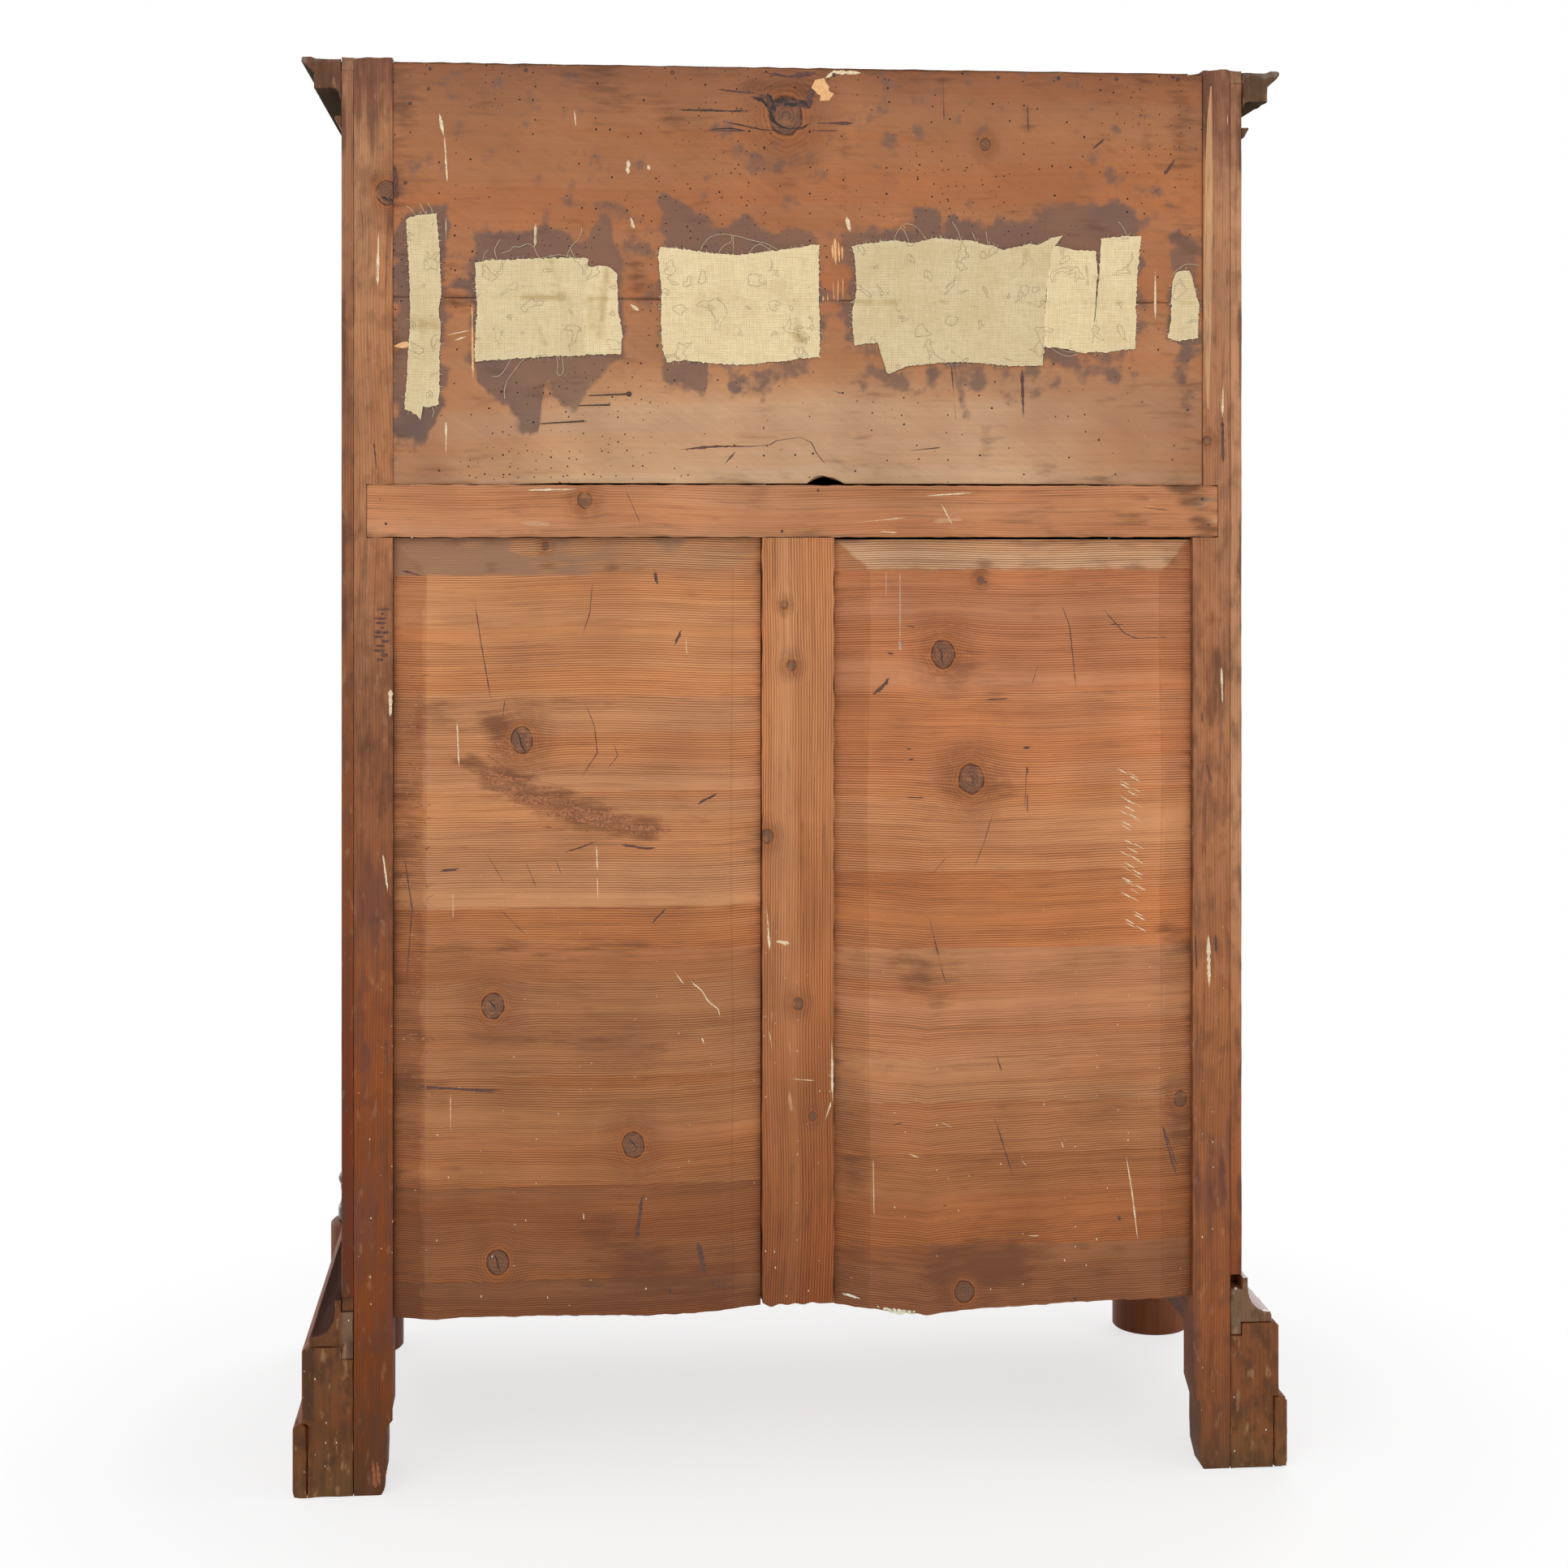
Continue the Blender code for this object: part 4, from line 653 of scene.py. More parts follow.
# The muntin: one upright pine stick between the panels, grooved for them, tenoned in the rail.
# Its face is flush with the rail, its arrises are worn and its foot is splintered.
MUNTIN_HALF = 0.0403
MUNTIN_LOW = 0.1955
MUNTIN_DEEP = 0.025
MUNTIN_KNOTS = (
    (0.0075, 0.9042, 0.0055), (0.0157, 0.9716, 0.004), (0.0346, 0.7158, 0.007),
    (0.0003, 0.5303, 0.006), (-0.0159, 0.405, 0.0045),
)
MUNTIN_TONES = (
    (0.18, (0.5, 0.36, 0.27)), (0.4, (0.62, 0.49, 0.4)), (0.8, (0.93, 0.9, 0.87)), (1.05, (1, 1, 1)),
)


def muntin_shape(x, z):
    """Uneven arrises and a broken foot."""
    edge = np.exp(-(MUNTIN_HALF - np.abs(x)) / 0.0012)
    narrow = 0.0005 * edge * (1 + ripple(z, x * 4, 0.05, 21))
    foot = 0.0022 * np.exp(-(z - z.min()) / 0.02) * (1 + ripple(x, 0, 0.015, 22))
    return x - np.sign(x) * narrow, z + foot, 0.0003 + 0.0006 * edge + 0.00015 * (1 + ripple(x, z, 0.1, 23))


def muntin_marks(x, z):
    """Dirt at the foot and the edges, and rubbed patches down the arrises."""
    edge = np.exp(-(MUNTIN_HALF - np.abs(x)) / 0.003)
    dirty = unit((0.45 - z) / 0.3) * 0.35 + 0.25 * edge + 0.12 * ripple(x * 2, z, 0.18, 24)
    rubbed = 0.3 * edge * (ripple(z, x, 0.08, 25) > 0.2) + 0.22 * ripple(x * 3, z, 0.12, 26)
    return unit(dirty), np.zeros_like(x), unit(rubbed)


muntin_pine = pine(
    "muntin_pine", knots=MUNTIN_KNOTS, pitch=0.003, specks=0.22, streaks=0.25, tones=MUNTIN_TONES,
)
piece = plank(
    "muntin", places(edged(-MUNTIN_HALF, MUNTIN_HALF), 0.0035),
    places(edged(MUNTIN_LOW, RAIL_LOW - 0.0004), CELL), 0.0, MUNTIN_DEEP, muntin_shape, muntin_marks,
    [muntin_pine], knots=MUNTIN_KNOTS, upright=True,
)
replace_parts(piece, "back_muntin")


# The mid rail: a level pine rail between panels and upper boards, half-lapped over both stiles
# and nailed there. Its end at the photo's right is stained and scuffed.
RAIL_HIGH = 1.104
RAIL_END = 0.4724
RAIL_DEEP = 0.0125
RAIL_KNOTS = ((0.236, 1.0865, 0.008),)


def rail_shape(x, z):
    """Worn long edges, a little out of straight."""
    edge = np.exp(-np.minimum(z - RAIL_LOW, RAIL_HIGH - z) / 0.0012)
    bow = 0.0004 * ripple(x, 0, 0.5, 31)
    narrow = 0.0004 * edge * (1 + ripple(x, 0, 0.03, 32)) * np.sign(1.075 - z)
    return x, z + bow * (z > 1.08) + narrow, 0.0003 + 0.0006 * edge + 0.00015 * (1 + ripple(x, z, 0.1, 33))


def rail_marks(x, z):
    """A stained and scuffed end, and dark runs along the lower edge."""
    end = unit((-0.3 - x) / 0.12)
    dirty = 0.4 * end * (0.5 + ripple(x, z * 3, 0.06, 34)) + 0.22 * ripple(x, z * 4, 0.12, 35)
    low = np.exp(-(z - RAIL_LOW) / 0.006) * (0.25 + 0.25 * ripple(x, 0, 0.09, 36))
    rubbed = 0.5 * end * ripple(x, z * 2, 0.05, 37) + 0.35 * ripple(x, z * 3, 0.14, 38)
    return unit(dirty + low), np.zeros_like(x), unit(rubbed)


rail_pine = pine(
    "rail_pine", light=(0.5, 0.238, 0.118), knots=RAIL_KNOTS, pitch=0.0028, contrast=0.6, streaks=0.35,
)
piece = plank(
    "mid_rail", places(edged(-RAIL_END, RAIL_END), CELL), places(edged(RAIL_LOW, RAIL_HIGH), 0.003),
    0.0, RAIL_DEEP, rail_shape, rail_marks, [rail_pine], knots=RAIL_KNOTS,
)
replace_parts(piece, "back_mid_rail")


# The back stiles: thick pine posts that run down as the back legs. They are notched for the
# rail's laps, dark with old stain and handling, and chipped at the foot inside.
STILE_IN = 0.4447
STILE_OUT = 0.4867
STILE_DEEP = 0.045
STILE_TOP = 1.5712
LAP_SINK = 0.0128
LEG_STEP = 0.076
LAP_WIDE = 0.0283
REBATE_WIDE = 0.0112
REBATE_SINK = 0.0214
STILE_LIGHT = (0.44, 0.195, 0.088)
STILE_DARK = (0.25, 0.094, 0.036)
STILE_STAIN = (0.13, 0.048, 0.032)
STILE_KNOTS = {"right": ((0.451, 1.4225, 0.0115),), "left": ((-0.4608, 1.1545, 0.005),)}
# The tones of each stile, upward.
STILE_TONES = {
    "right": (
        (0.0, (0.25, 0.2, 0.09)), (0.15, (0.39, 0.24, 0.08)), (0.45, (0.54, 0.34, 0.18)),
        (0.8, (0.61, 0.5, 0.45)), (1.05, (0.87, 0.88, 0.89)), (1.5, (0.98, 1.08, 1.17)),
        (1.545, (0.7, 0.66, 0.76)), (1.58, (0.6, 0.55, 0.66)),
    ),
    "left": (
        (0.0, (0.36, 0.38, 0.32)), (0.05, (0.46, 0.38, 0.29)), (0.2, (0.66, 0.5, 0.36)),
        (0.5, (0.78, 0.65, 0.52)), (0.9, (0.9, 0.86, 0.86)), (1.4, (0.94, 1.03, 1.2)),
        (1.46, (0.86, 0.92, 1.08)), (1.49, (0.66, 0.66, 0.82)), (1.58, (0.6, 0.6, 0.75)),
    ),
}
for word, side in (("left", -1), ("right", 1)):
    lap_at = STILE_IN + LAP_WIDE
    rebate_at = STILE_IN + (REBATE_WIDE if side < 0 else 0.0)

    def stile_shape(x, z, side=side, lap_at=lap_at, rebate_at=rebate_at):
        """The leg's step and broken corner, the notch for the rail and uneven arrises."""
        out = np.abs(x)
        share = (out - STILE_IN) / (STILE_OUT - STILE_IN)
        inner = np.interp(z, [0.0, 0.004, 0.012, LEG_STEP, LEG_STEP + 0.006, 2.0],
                          [0.0125, 0.009, 0.0055, 0.005, 0.0, 0.0])
        inner = inner + np.where(z < LEG_STEP, 0.0008 * (1 + ripple(z, 0, 0.03, 41)), 0.0)
        out = STILE_IN + inner + share * (STILE_OUT - STILE_IN - inner)
        edge = np.exp(-share * 0.042 / 0.0014)
        sunk = 0.0003 + edge * (0.0007 + 0.0004 * ripple(z, x * 3, 0.03, 42 + side))
        sunk = sunk + 0.0003 * (1 + ripple(x, z, 0.12, 43)) + 0.002 * np.exp(-z / 0.004)
        notch = (np.abs(x) < lap_at) & (z > RAIL_LOW - 0.0003) & (z < RAIL_HIGH + 0.0003)
        sunk = np.where(notch, LAP_SINK, sunk)
        sunk = np.where((np.abs(x) < rebate_at) & (z > RAIL_HIGH + 0.0003), REBATE_SINK, sunk)
        head = -0.0015 * unit((z - 1.566) / 0.005) * np.clip(1 + ripple(x, 0, 0.03, 44), 0, 2)
        return side * out, z + head, sunk

    def stile_marks(x, z, side=side):
        """Old stain in long runs, dirt at the foot, and rubbed streaks."""
        run = ripple(x * 6, z, 0.14, 45 + side) + 0.6 * ripple(x * 9, z * 2, 0.07, 46 + side)
        middle = np.exp(-((z - 0.86) / 0.16) ** 2) * (0.3 if side > 0 else 0.12)
        foot = unit((0.2 - z) / 0.18) * 0.35
        head = unit((z - 1.46) / 0.06)
        inner = np.exp(-(np.abs(x) - STILE_IN) / 0.004)
        dirty = 0.1 + 0.16 * run + middle + foot + 0.28 * head + 0.3 * inner * (z < 1.0)
        if side > 0:
            dirty = dirty + 0.7 * near_stroke(x, z, ((0.462, 1.435), (0.449, 1.412)), 0.016)
        else:
            dirty = dirty + 0.5 * near_stroke(x, z, ((-0.47, 0.91), (-0.468, 0.85)), 0.02)
        stained = 0.3 + 0.1 * ripple(x * 4, z, 0.2, 47 + side) + 0.3 * head
        stained = stained + 0.1 * unit((0.95 - z) / 0.3)
        rubbed = 0.2 * ripple(x * 8, z, 0.11, 48 + side)
        rubbed = rubbed + 0.35 * inner * (z > 0.2) * (ripple(z, 0, 0.05, 49) > 0.3)
        return unit(dirty), unit(stained), unit(rubbed)

    stile_pine = pine(
        "stile_pine_" + word, light=STILE_LIGHT, dark=STILE_DARK, knots=STILE_KNOTS[word], pitch=0.0033,
        tones=STILE_TONES[word], stain=STILE_STAIN, stain_edge=0.5, stain_grow=(7.0, 75.0, 9.0),
        streaks=0.34, specks=0.16, contrast=0.45, grime=0.3,
    )
    stops = [lap_at - 0.0001, lap_at + 0.0001]
    if side < 0:
        stops += [rebate_at - 0.0001, rebate_at + 0.0001]
    across = sorted(side * value for value in edged(STILE_IN, STILE_OUT, *stops))
    rows = edged(0.0, STILE_TOP, LEG_STEP, LEG_STEP + 0.006, RAIL_LOW - 0.0004, RAIL_LOW - 0.0002,
                 RAIL_HIGH + 0.0002, RAIL_HIGH + 0.0004)
    piece = plank(
        "stile_" + word, places(across, 0.0035), places(rows, CELL), 0.0, STILE_DEEP, stile_shape,
        stile_marks, [stile_pine], knots=STILE_KNOTS[word], upright=True,
    )
    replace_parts(piece, "back_stile_" + word)


# A strip of pale split sapwood on the left stile's face, beside the upper boards, where the old
# surface has come away. It is a thin piece of its own, let into the stile.
SPLIT_HEIGHTS = (1.19, 1.266, 1.348, 1.467, 1.512, 1.552)
SPLIT_INNER = (-0.46, -0.4573, -0.4562, -0.4587, -0.4604, -0.464)
SPLIT_OUTER = (-0.4625, -0.4647, -0.4665, -0.4665, -0.4661, -0.4655)
SPLIT_COLUMNS = (-0.466, -0.456)


def split_shape(x, z):
    """A narrow strip that widens downward, flush with the stile's face."""
    inner, outer = (np.interp(z, SPLIT_HEIGHTS, edge) for edge in (SPLIT_INNER, SPLIT_OUTER))
    return inner + (x + 0.456) * 100.0 * (inner - outer), z, 0.0002 + 0.0001 * ripple(z, x, 0.03, 65)


def split_marks(x, z):
    """Dirt and rubbing along the strip."""
    return 0.12 + 0.2 * ripple(x * 20, z, 0.09, 66), 0 * x, 0.2 + 0.4 * ripple(x * 9, z, 0.05, 67)


sapwood = pine("sapwood", light=(0.54, 0.32, 0.17), dark=(0.34, 0.17, 0.088), contrast=0.5, streaks=0.5)
plank(
    "stile_sapwood", places(SPLIT_COLUMNS, 0.002), places((SPLIT_HEIGHTS[0], SPLIT_HEIGHTS[-1]), 0.006),
    0.0, 0.004, split_shape, split_marks, [sapwood], upright=True,
)


# The upper back: two wide thin boards, butted edge to edge and nailed to the top and the rail.
# Glue has darkened them round the linen, and the upper one has split round its knot.
BOARD_FACE = 0.003
BOARD_INNER = 0.021
BOARD_LOW = 1.1043
BOARD_JOINT = 1.309
BOARD_TOP = 1.565
BOARD_LEFT = -0.4554
BOARD_RIGHT = 0.4444
GLUE_STAIN = (0.142, 0.086, 0.068)
# Upper and lower borders of the glue's stains, in millimetres, across from the middle of the back
# and up from the joint.
STAINS = (
    (((445, 60), (434, 92), (412, 100), (389, 96)),
     ((445, -150), (427, -152), (412, -156), (400, -140), (392, -118))),
    (((359, 48), (356, 67), (344, 70), (326, 67), (311, 72), (297, 77), (286, 85), (277, 83), (274, 75),
      (261, 71), (248, 65), (237, 71), (224, 86), (211, 93), (206, 86), (205, 62), (198, 53), (194, 40)),
     ((356, -74), (354, -98), (341, -110), (320, -119), (311, -134), (297, -146), (286, -144),
      (283, -122), (281, -101), (273, -101), (264, -113), (252, -126), (242, -122), (240, -109),
      (236, -101), (220, -86), (208, -74), (194, -62))),
    (((153, 122), (131, 107), (110, 92), (89, 81), (72, 83), (60, 91), (42, 86), (24, 80), (0, 79),
      (-7, 81), (-24, 72)),
     ((153, -74), (151, -95), (119, -98), (107, -110), (89, -106), (72, -113), (48, -118), (30, -111),
      (18, -98), (0, -84), (-24, -71))),
    (((-51, 79), (-65, 89), (-83, 85), (-102, 78), (-117, 90), (-135, 99), (-153, 102), (-160, 94),
      (-173, 99), (-196, 86), (-211, 91), (-224, 103), (-242, 90), (-254, 92), (-265, 106),
      (-294, 112), (-324, 117), (-352, 111), (-376, 105), (-388, 88)),
     ((-51, -53), (-51.5, -86), (-62, -101), (-74, -112), (-83, -102), (-102, -101), (-117, -110),
      (-135, -114), (-147, -105), (-157, -95), (-170, -83), (-176, -101), (-184, -128), (-198, -124),
      (-211, -110), (-227, -108), (-245, -116), (-270, -117), (-294, -104), (-309, -89),
      (-330, -95), (-355, -101), (-388, -83))),
    (((-416, 33), (-420, 75), (-428, 87), (-440, 76), (-455, 72)),
     ((-416, -59), (-422, -101), (-434, -125), (-455, -131))),
)
TOP_KNOT = (0.0139, 1.5125, 0.019)
# Old dark streaks: depth, half width and the line.
BOARD_STREAKS = (
    (0.6, 0.035, (0.41, 1.35), (0.376, 1.302)), (0.35, 0.014, (0.19, 1.45), (0.176, 1.305)),
    (0.3, 0.01, (-0.051, 1.49), (-0.051, 1.3)), (0.45, 0.012, (-0.16, 1.552), (-0.166, 1.515)),
    (0.45, 0.014, (-0.26, 1.548), (-0.256, 1.503)), (0.4, 0.026, (0.236, 1.552), (0.145, 1.512)),
    (0.45, 0.016, (-0.386, 1.56), (-0.392, 1.49)), (0.35, 0.012, (-0.21, 1.16), (-0.205, 1.13)),
    (0.4, 0.03, (0.434, 1.54), (0.436, 1.44)), (0.35, 0.02, (0.44, 1.28), (0.438, 1.14)),
    (0.3, 0.02, (-0.43, 1.53), (-0.436, 1.38)), (0.35, 0.03, (-0.436, 1.2), (-0.44, 1.12)),
)


def glue_stain(x, z):
    """Over a half inside the stain that the glue has left round the linen."""
    deepest = np.full(x.shape, -1.0)
    for border in STAINS:
        (top_x, top_z), (low_x, low_z) = (np.array(side[::-1]).T / 1000.0 for side in border)
        above = np.interp(x, top_x, top_z) + BOARD_JOINT - z
        below = z - BOARD_JOINT - np.interp(x, low_x, low_z)
        aside = np.minimum(x - top_x[0], top_x[-1] - x)
        deepest = np.maximum(deepest, np.minimum(np.minimum(above, below), aside))
    return unit(0.5 + deepest / 0.034)


def board_marks(x, z):
    """Glue stains, a dark top edge, dirt round the split knot and pale wear at the bottom."""
    dirty = 0.16 * ripple(x, z, 0.12, 71) + 0.14 * ripple(x, z * 1.5, 0.045, 70)
    dirty = dirty + 0.36 * np.exp(-(BOARD_TOP - z) / 0.012)
    dirty = dirty + 0.85 * np.exp(-((x - 0.02) / 0.055) ** 2 - ((z - 1.54) / 0.016) ** 2)
    for depth, width, *line in BOARD_STREAKS:
        dirty = dirty + depth * near_stroke(x, z, line, width)
    dirty = dirty + 0.75 * np.exp(-np.abs(z - BOARD_JOINT) / 0.0012)
    dirty = dirty + 0.18 * np.exp(-(x - BOARD_LEFT) / 0.02) + 0.22 * np.exp(-(BOARD_RIGHT - x) / 0.006)
    dirty = dirty + 0.1 * np.exp(-(z - 1.104) / 0.01)
    rubbed = unit((1.2 - z) / 0.12) * (0.24 + 0.12 * ripple(x, z * 2, 0.1, 72))
    rubbed = rubbed + 0.16 * near_stroke(x, z, ((0.02, 1.135), (-0.03, 1.14)), 0.03)
    soaked = glue_stain(x, z) * np.where((x < 0.1) & (z < 1.262), 0.5, 1.0)
    soaked = soaked * np.where((x < -0.04) & (z > 1.31), 0.86, 1.0)
    glued = np.maximum(soaked, 0.24 + 0.1 * ripple(x, z * 0.6, 0.16, 78) - 0.3 * (z < 1.2))
    return unit(dirty), glued, unit(rubbed)


BOARD_TONES = (
    (1.1, (1.02, 1.32, 1.62)), (1.165, (0.94, 1.08, 1.26)), (1.235, (1.02, 1.18, 1.32)),
    (1.3, (1, 1, 1)), (1.42, (0.98, 0.97, 0.96)), (1.5, (0.95, 0.97, 0.97)), (1.56, (0.7, 0.7, 0.78)),
)


def upper_pine(name, **more):
    """The wide boards' smoother wood, redder above and bleached below."""
    return pine(
        name, light=(0.375, 0.153, 0.066), dark=(0.235, 0.083, 0.033), contrast=0.05, pitch=0.009,
        tones=BOARD_TONES, stain=GLUE_STAIN, stain_edge=0.75, holes=0.26, planed=0.6, calm=0.5,
        bleach=(1.4, 1.77, 2.02), **more,
    )


def bleached(x, z):
    """How far the lower board is bleached, most in the middle of its lower half."""
    share = np.interp(x, [-0.43, -0.2, 0.24, 0.4], [0.0, 0.9, 1.0, 0.0]) + 0.1 * ripple(x, z, 0.12, 79)
    share = share * unit((1.25 - z) / 0.06)
    return unit(share), 0.0 * x, 0.0 * x


def board_shape(low, high, seed):
    """The shape of one of the wide boards, with worn edges and a slight cup."""
    def shaped(x, z):
        edge = np.exp(-np.minimum(z - low, high - z) / 0.0012)
        lift = np.interp(x, [-0.0515, -0.046, -0.039, -0.031, -0.024, -0.0145, -0.0125],
                         [0.0, 0.003, 0.0067, 0.008, 0.0097, 0.006, 0.0])
        lift = lift + np.interp(x, [-0.37, -0.33, 0.27, 0.31], [0.0, 0.0012, 0.0016, 0.0])
        lift = lift * (low < 1.2) * unit((low + 0.03 - z) / 0.03)
        sunk = 0.0005 * edge * (1 + ripple(x, 0, 0.04, seed))
        sunk = sunk + 0.0002 * (1 + ripple(x, z, 0.12, seed + 1))
        bow = 0.0007 * (1 + ripple(x, 0, 0.4, seed + 2)) * (z > high - 0.002) * (high > 1.5)
        return x, z + lift - bow, sunk
    return shaped


board_columns = places(edged(BOARD_LEFT, BOARD_RIGHT), CELL)
lower_board = plank(
    "upper_board_low", board_columns, places(edged(BOARD_LOW, BOARD_JOINT - 0.0003), CELL), BOARD_FACE,
    BOARD_INNER, board_shape(BOARD_LOW, BOARD_JOINT, 73), board_marks, [upper_pine("board_pine_low")],
    extra=bleached,
)
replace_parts(lower_board, "back_board_lower")
upper_wood = upper_pine("board_pine_top", knots=(TOP_KNOT, (-0.2095, 1.484, 0.006)))
upper_board = plank(
    "upper_board_top", board_columns, places(edged(BOARD_JOINT, BOARD_TOP), CELL), BOARD_FACE,
    BOARD_INNER, board_shape(BOARD_JOINT, BOARD_TOP, 76), board_marks, [upper_wood], knots=(TOP_KNOT,),
    extra=bleached,
)
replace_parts(upper_board, "back_board_upper")


# The linen: six old pieces of plain-woven linen, torn or cut ragged and glued flat over the joint
# of the boards. Two have a second strip at a lap, and loose threads lie at their edges.
LINEN_THICK = 0.0005
LINEN_CELL = 0.0022
LINEN_LIGHT = (0.89, 0.73, 0.445)
LINEN_DARK = (0.55, 0.395, 0.185)
# The brown of the glue, also laid as painted shade along the joint and the folds.
GLUE_AND_SHADE_BROWN = (0.4, 0.26, 0.08)
LINEN_SOIL = (0.58, 0.43, 0.22)
LINEN_FRAY = (0.8, 0.71, 0.48)
THREAD_RADIUS = 0.00032
YARN_RADIUS = 0.0002
# Edges in millimetres, across from the middle of the back and up from the joint of the boards.
STRIPS = {
    "linen_1": {
        "left": ((430, 85), (427, 29), (426, 5), (426, -15), (427, -45), (429, -80), (432, -123)),
        "right": (
            (397, 91), (394, 50), (392, 6), (395, -15), (392, -34), (394, -62), (394, -104), (395, -117),
        ),
        "top": ((430, 85), (422, 88), (412, 90), (398, 92)),
        "bottom": (
            (432, -123), (426, -125), (419, -129), (414, -136), (413, -120), (400, -120), (395, -117),
        ),
        "folds": (
            (0.5, (416, 82), (416, 5), (413, -30), (414, -118)),
            (0.9, (427, -18), (412, -28), (393, -36)), (0.5, (427, -34), (410, -31), (393, -24)),
            (0.3, (405, 80), (403, 20)),
        ),
        "soil_and_shade": ((10, (426, -30), (393, -30)),),
        "grey": 0.3,
    },
    "linen_2": {
        "left": ((355, 38), (355, 15), (353, -15), (355, -39), (356, -70)),
        "right": ((232, 44), (232, 16), (236, -20), (236, -50), (234, -63)),
        "top": ((355, 38), (341, 41), (312, 42), (267, 44), (232, 44)),
        "bottom": ((356, -70), (326, -68), (303, -66), (267, -64), (234, -63)),
        "folds": (
            (0.5, (353, -33), (330, -26), (303, -21), (262, -19), (232, -18)),
            (0.3, (338, -22), (322, 5)),
        ),
        "soil_and_shade": (
            (4, (302, 1), (262, 1)), (7, (272, 40), (266, 20), (262, 2)), (5, (284, -35), (280, -50)),
        ),
        "grey": 0.1,
    },
    "linen_3": {
        "left": ((153, 57), (155, 46), (151, 8), (152, -28), (150, -57), (145, -70)),
        "right": ((-24, 61), (-23, 51), (-23, 0), (-24, -21), (-24, -63)),
        "top": (
            (153, 57), (136, 56), (112, 53), (88, 50), (65, 49), (29, 54), (-2, 58), (-14, 61), (-24, 61),
        ),
        "bottom": (
            (145, -70), (124, -67), (104, -70), (65, -73), (29, -69), (14, -68), (-2, -65), (-24, -63),
        ),
        "folds": (
            (0.5, (150, -14), (100, -13), (50, -10), (10, -9)), (0.2, (72, 40), (66, -10), (60, -22)),
            (0.3, (142, 35), (140, 12)), (0.3, (108, 28), (106, 14)),
        ),
        "soil_and_shade": ((6, (1, -20), (-2, -45)), (4, (8, -40), (-10, -44)), (3, (108, 6), (104, 4))),
        "grey": 0.05,
    },
    "linen_4": {
        "left": ((-59, 60), (-63, 48), (-65, 9), (-60, -12), (-61, -33), (-63, -49)),
        "right": ((-297, 73), (-286, 59), (-279, 20), (-276, -16), (-276, -40), (-274, -71)),
        "top": (
            (-59, 60), (-74, 63), (-107, 67), (-128, 64), (-153, 70), (-171, 69), (-195, 67), (-210, 63),
            (-220, 62), (-229, 57), (-241, 60), (-256, 63), (-271, 64), (-284, 71), (-297, 74),
        ),
        "bottom": (
            (-63, -50), (-74, -48), (-89, -47), (-92, -60), (-99, -82), (-122, -73), (-153, -69),
            (-183, -68), (-213, -70), (-244, -72), (-262, -72), (-274, -71),
        ),
        "folds": (
            (0.8, (-100, -79), (-122, -71), (-153, -67), (-213, -67), (-274, -69)),
            (0.6, (-105, -66), (-128, -34)), (0.4, (-225, -18), (-239, -33)),
            (0.4, (-232, -39), (-247, -35)), (0.4, (-145, -22), (-143, -42)),
            (0.4, (-120, -22), (-130, -24)), (0.5, (-165, -38), (-180, -48)),
            (0.5, (-150, -62), (-172, -50)), (0.3, (-245, 58), (-240, 35)), (0.3, (-104, 50), (-98, 15)),
            (0.4, (-170, 55), (-185, 45)), (0.4, (-160, 40), (-175, 32)),
        ),
        "soil_and_shade": (
            (4, (-66, -2), (-108, -4)), (3, (-160, -1), (-166, -3)), (2, (-258, -2), (-262, -2)),
            (5, (-255, 55), (-262, 45)),
        ),
        "grey": 0.34,
    },
    "linen_5": {
        "left": ((-340, 71), (-339, 51), (-337, 20), (-334, -10), (-331, -34), (-330, -55)),
        "right": ((-386, 74), (-383, 51), (-380, 12), (-380, -25), (-379, -52)),
        "top": ((-340, 71), (-351, 72), (-366, 74), (-386, 74)),
        "bottom": ((-330, -55), (-345, -57), (-360, -54), (-379, -52)),
        "folds": ((0.2, (-360, 60), (-358, -40)),),
        "soil_and_shade": ((2, (-335, -20), (-334, -40)),),
        "grey": 0.12,
    },
    "linen_6": {
        "left": ((-422, 27), (-420, 6), (-420, -15), (-416, -40)),
        "right": ((-444, 28), (-448, 12), (-452, 0), (-451, -15), (-450, -39)),
        "top": ((-422, 27), (-424, 33), (-428, 36), (-440, 36), (-444, 28)),
        "bottom": ((-416, -40), (-426, -43), (-437, -42), (-450, -39)),
        "folds": ((0.4, (-428, -4), (-434, -4)), (0.3, (-440, 25), (-444, -30))),
        "soil_and_shade": (),
        "grey": 0.18,
    },
    "linen_2_lap": {
        "left": ((238, 34), (236, 0), (238, -62)),
        "right": ((208, 35), (200, 28), (199, -14), (194, -38), (196, -61)),
        "top": ((238, 34), (226, 35), (214, 36), (208, 35)),
        "bottom": ((238, -62), (214, -62), (196, -61)),
        "folds": ((0.4, (210, 30), (213, 0), (216, -25)),),
        "soil_and_shade": ((6, (212, 33), (216, 0), (220, -40)), (5, (228, 0), (230, -30))),
        "grey": 0.05, "lift": -0.0004,
    },
    "linen_4_lap": {
        "left": ((-285, 62), (-279, 20), (-276, -16), (-275, -51)),
        "right": ((-334, 57), (-336, 32), (-333, -10), (-330, -56)),
        "top": ((-285, 62), (-297, 61), (-311, 58), (-334, 57)),
        "bottom": ((-275, -51), (-290, -51), (-305, -54), (-320, -57), (-330, -56)),
        "folds": (
            (0.7, (-286, -50), (-294, -30)), (0.6, (-292, -48), (-300, -28)),
            (0.6, (-280, -40), (-288, -30)), (0.3, (-316, 30), (-322, -5)),
        ),
        "soil_and_shade": ((2, (-323, 40), (-325, 20)),),
        "grey": 0.02, "lift": 0.0006,
    },
}
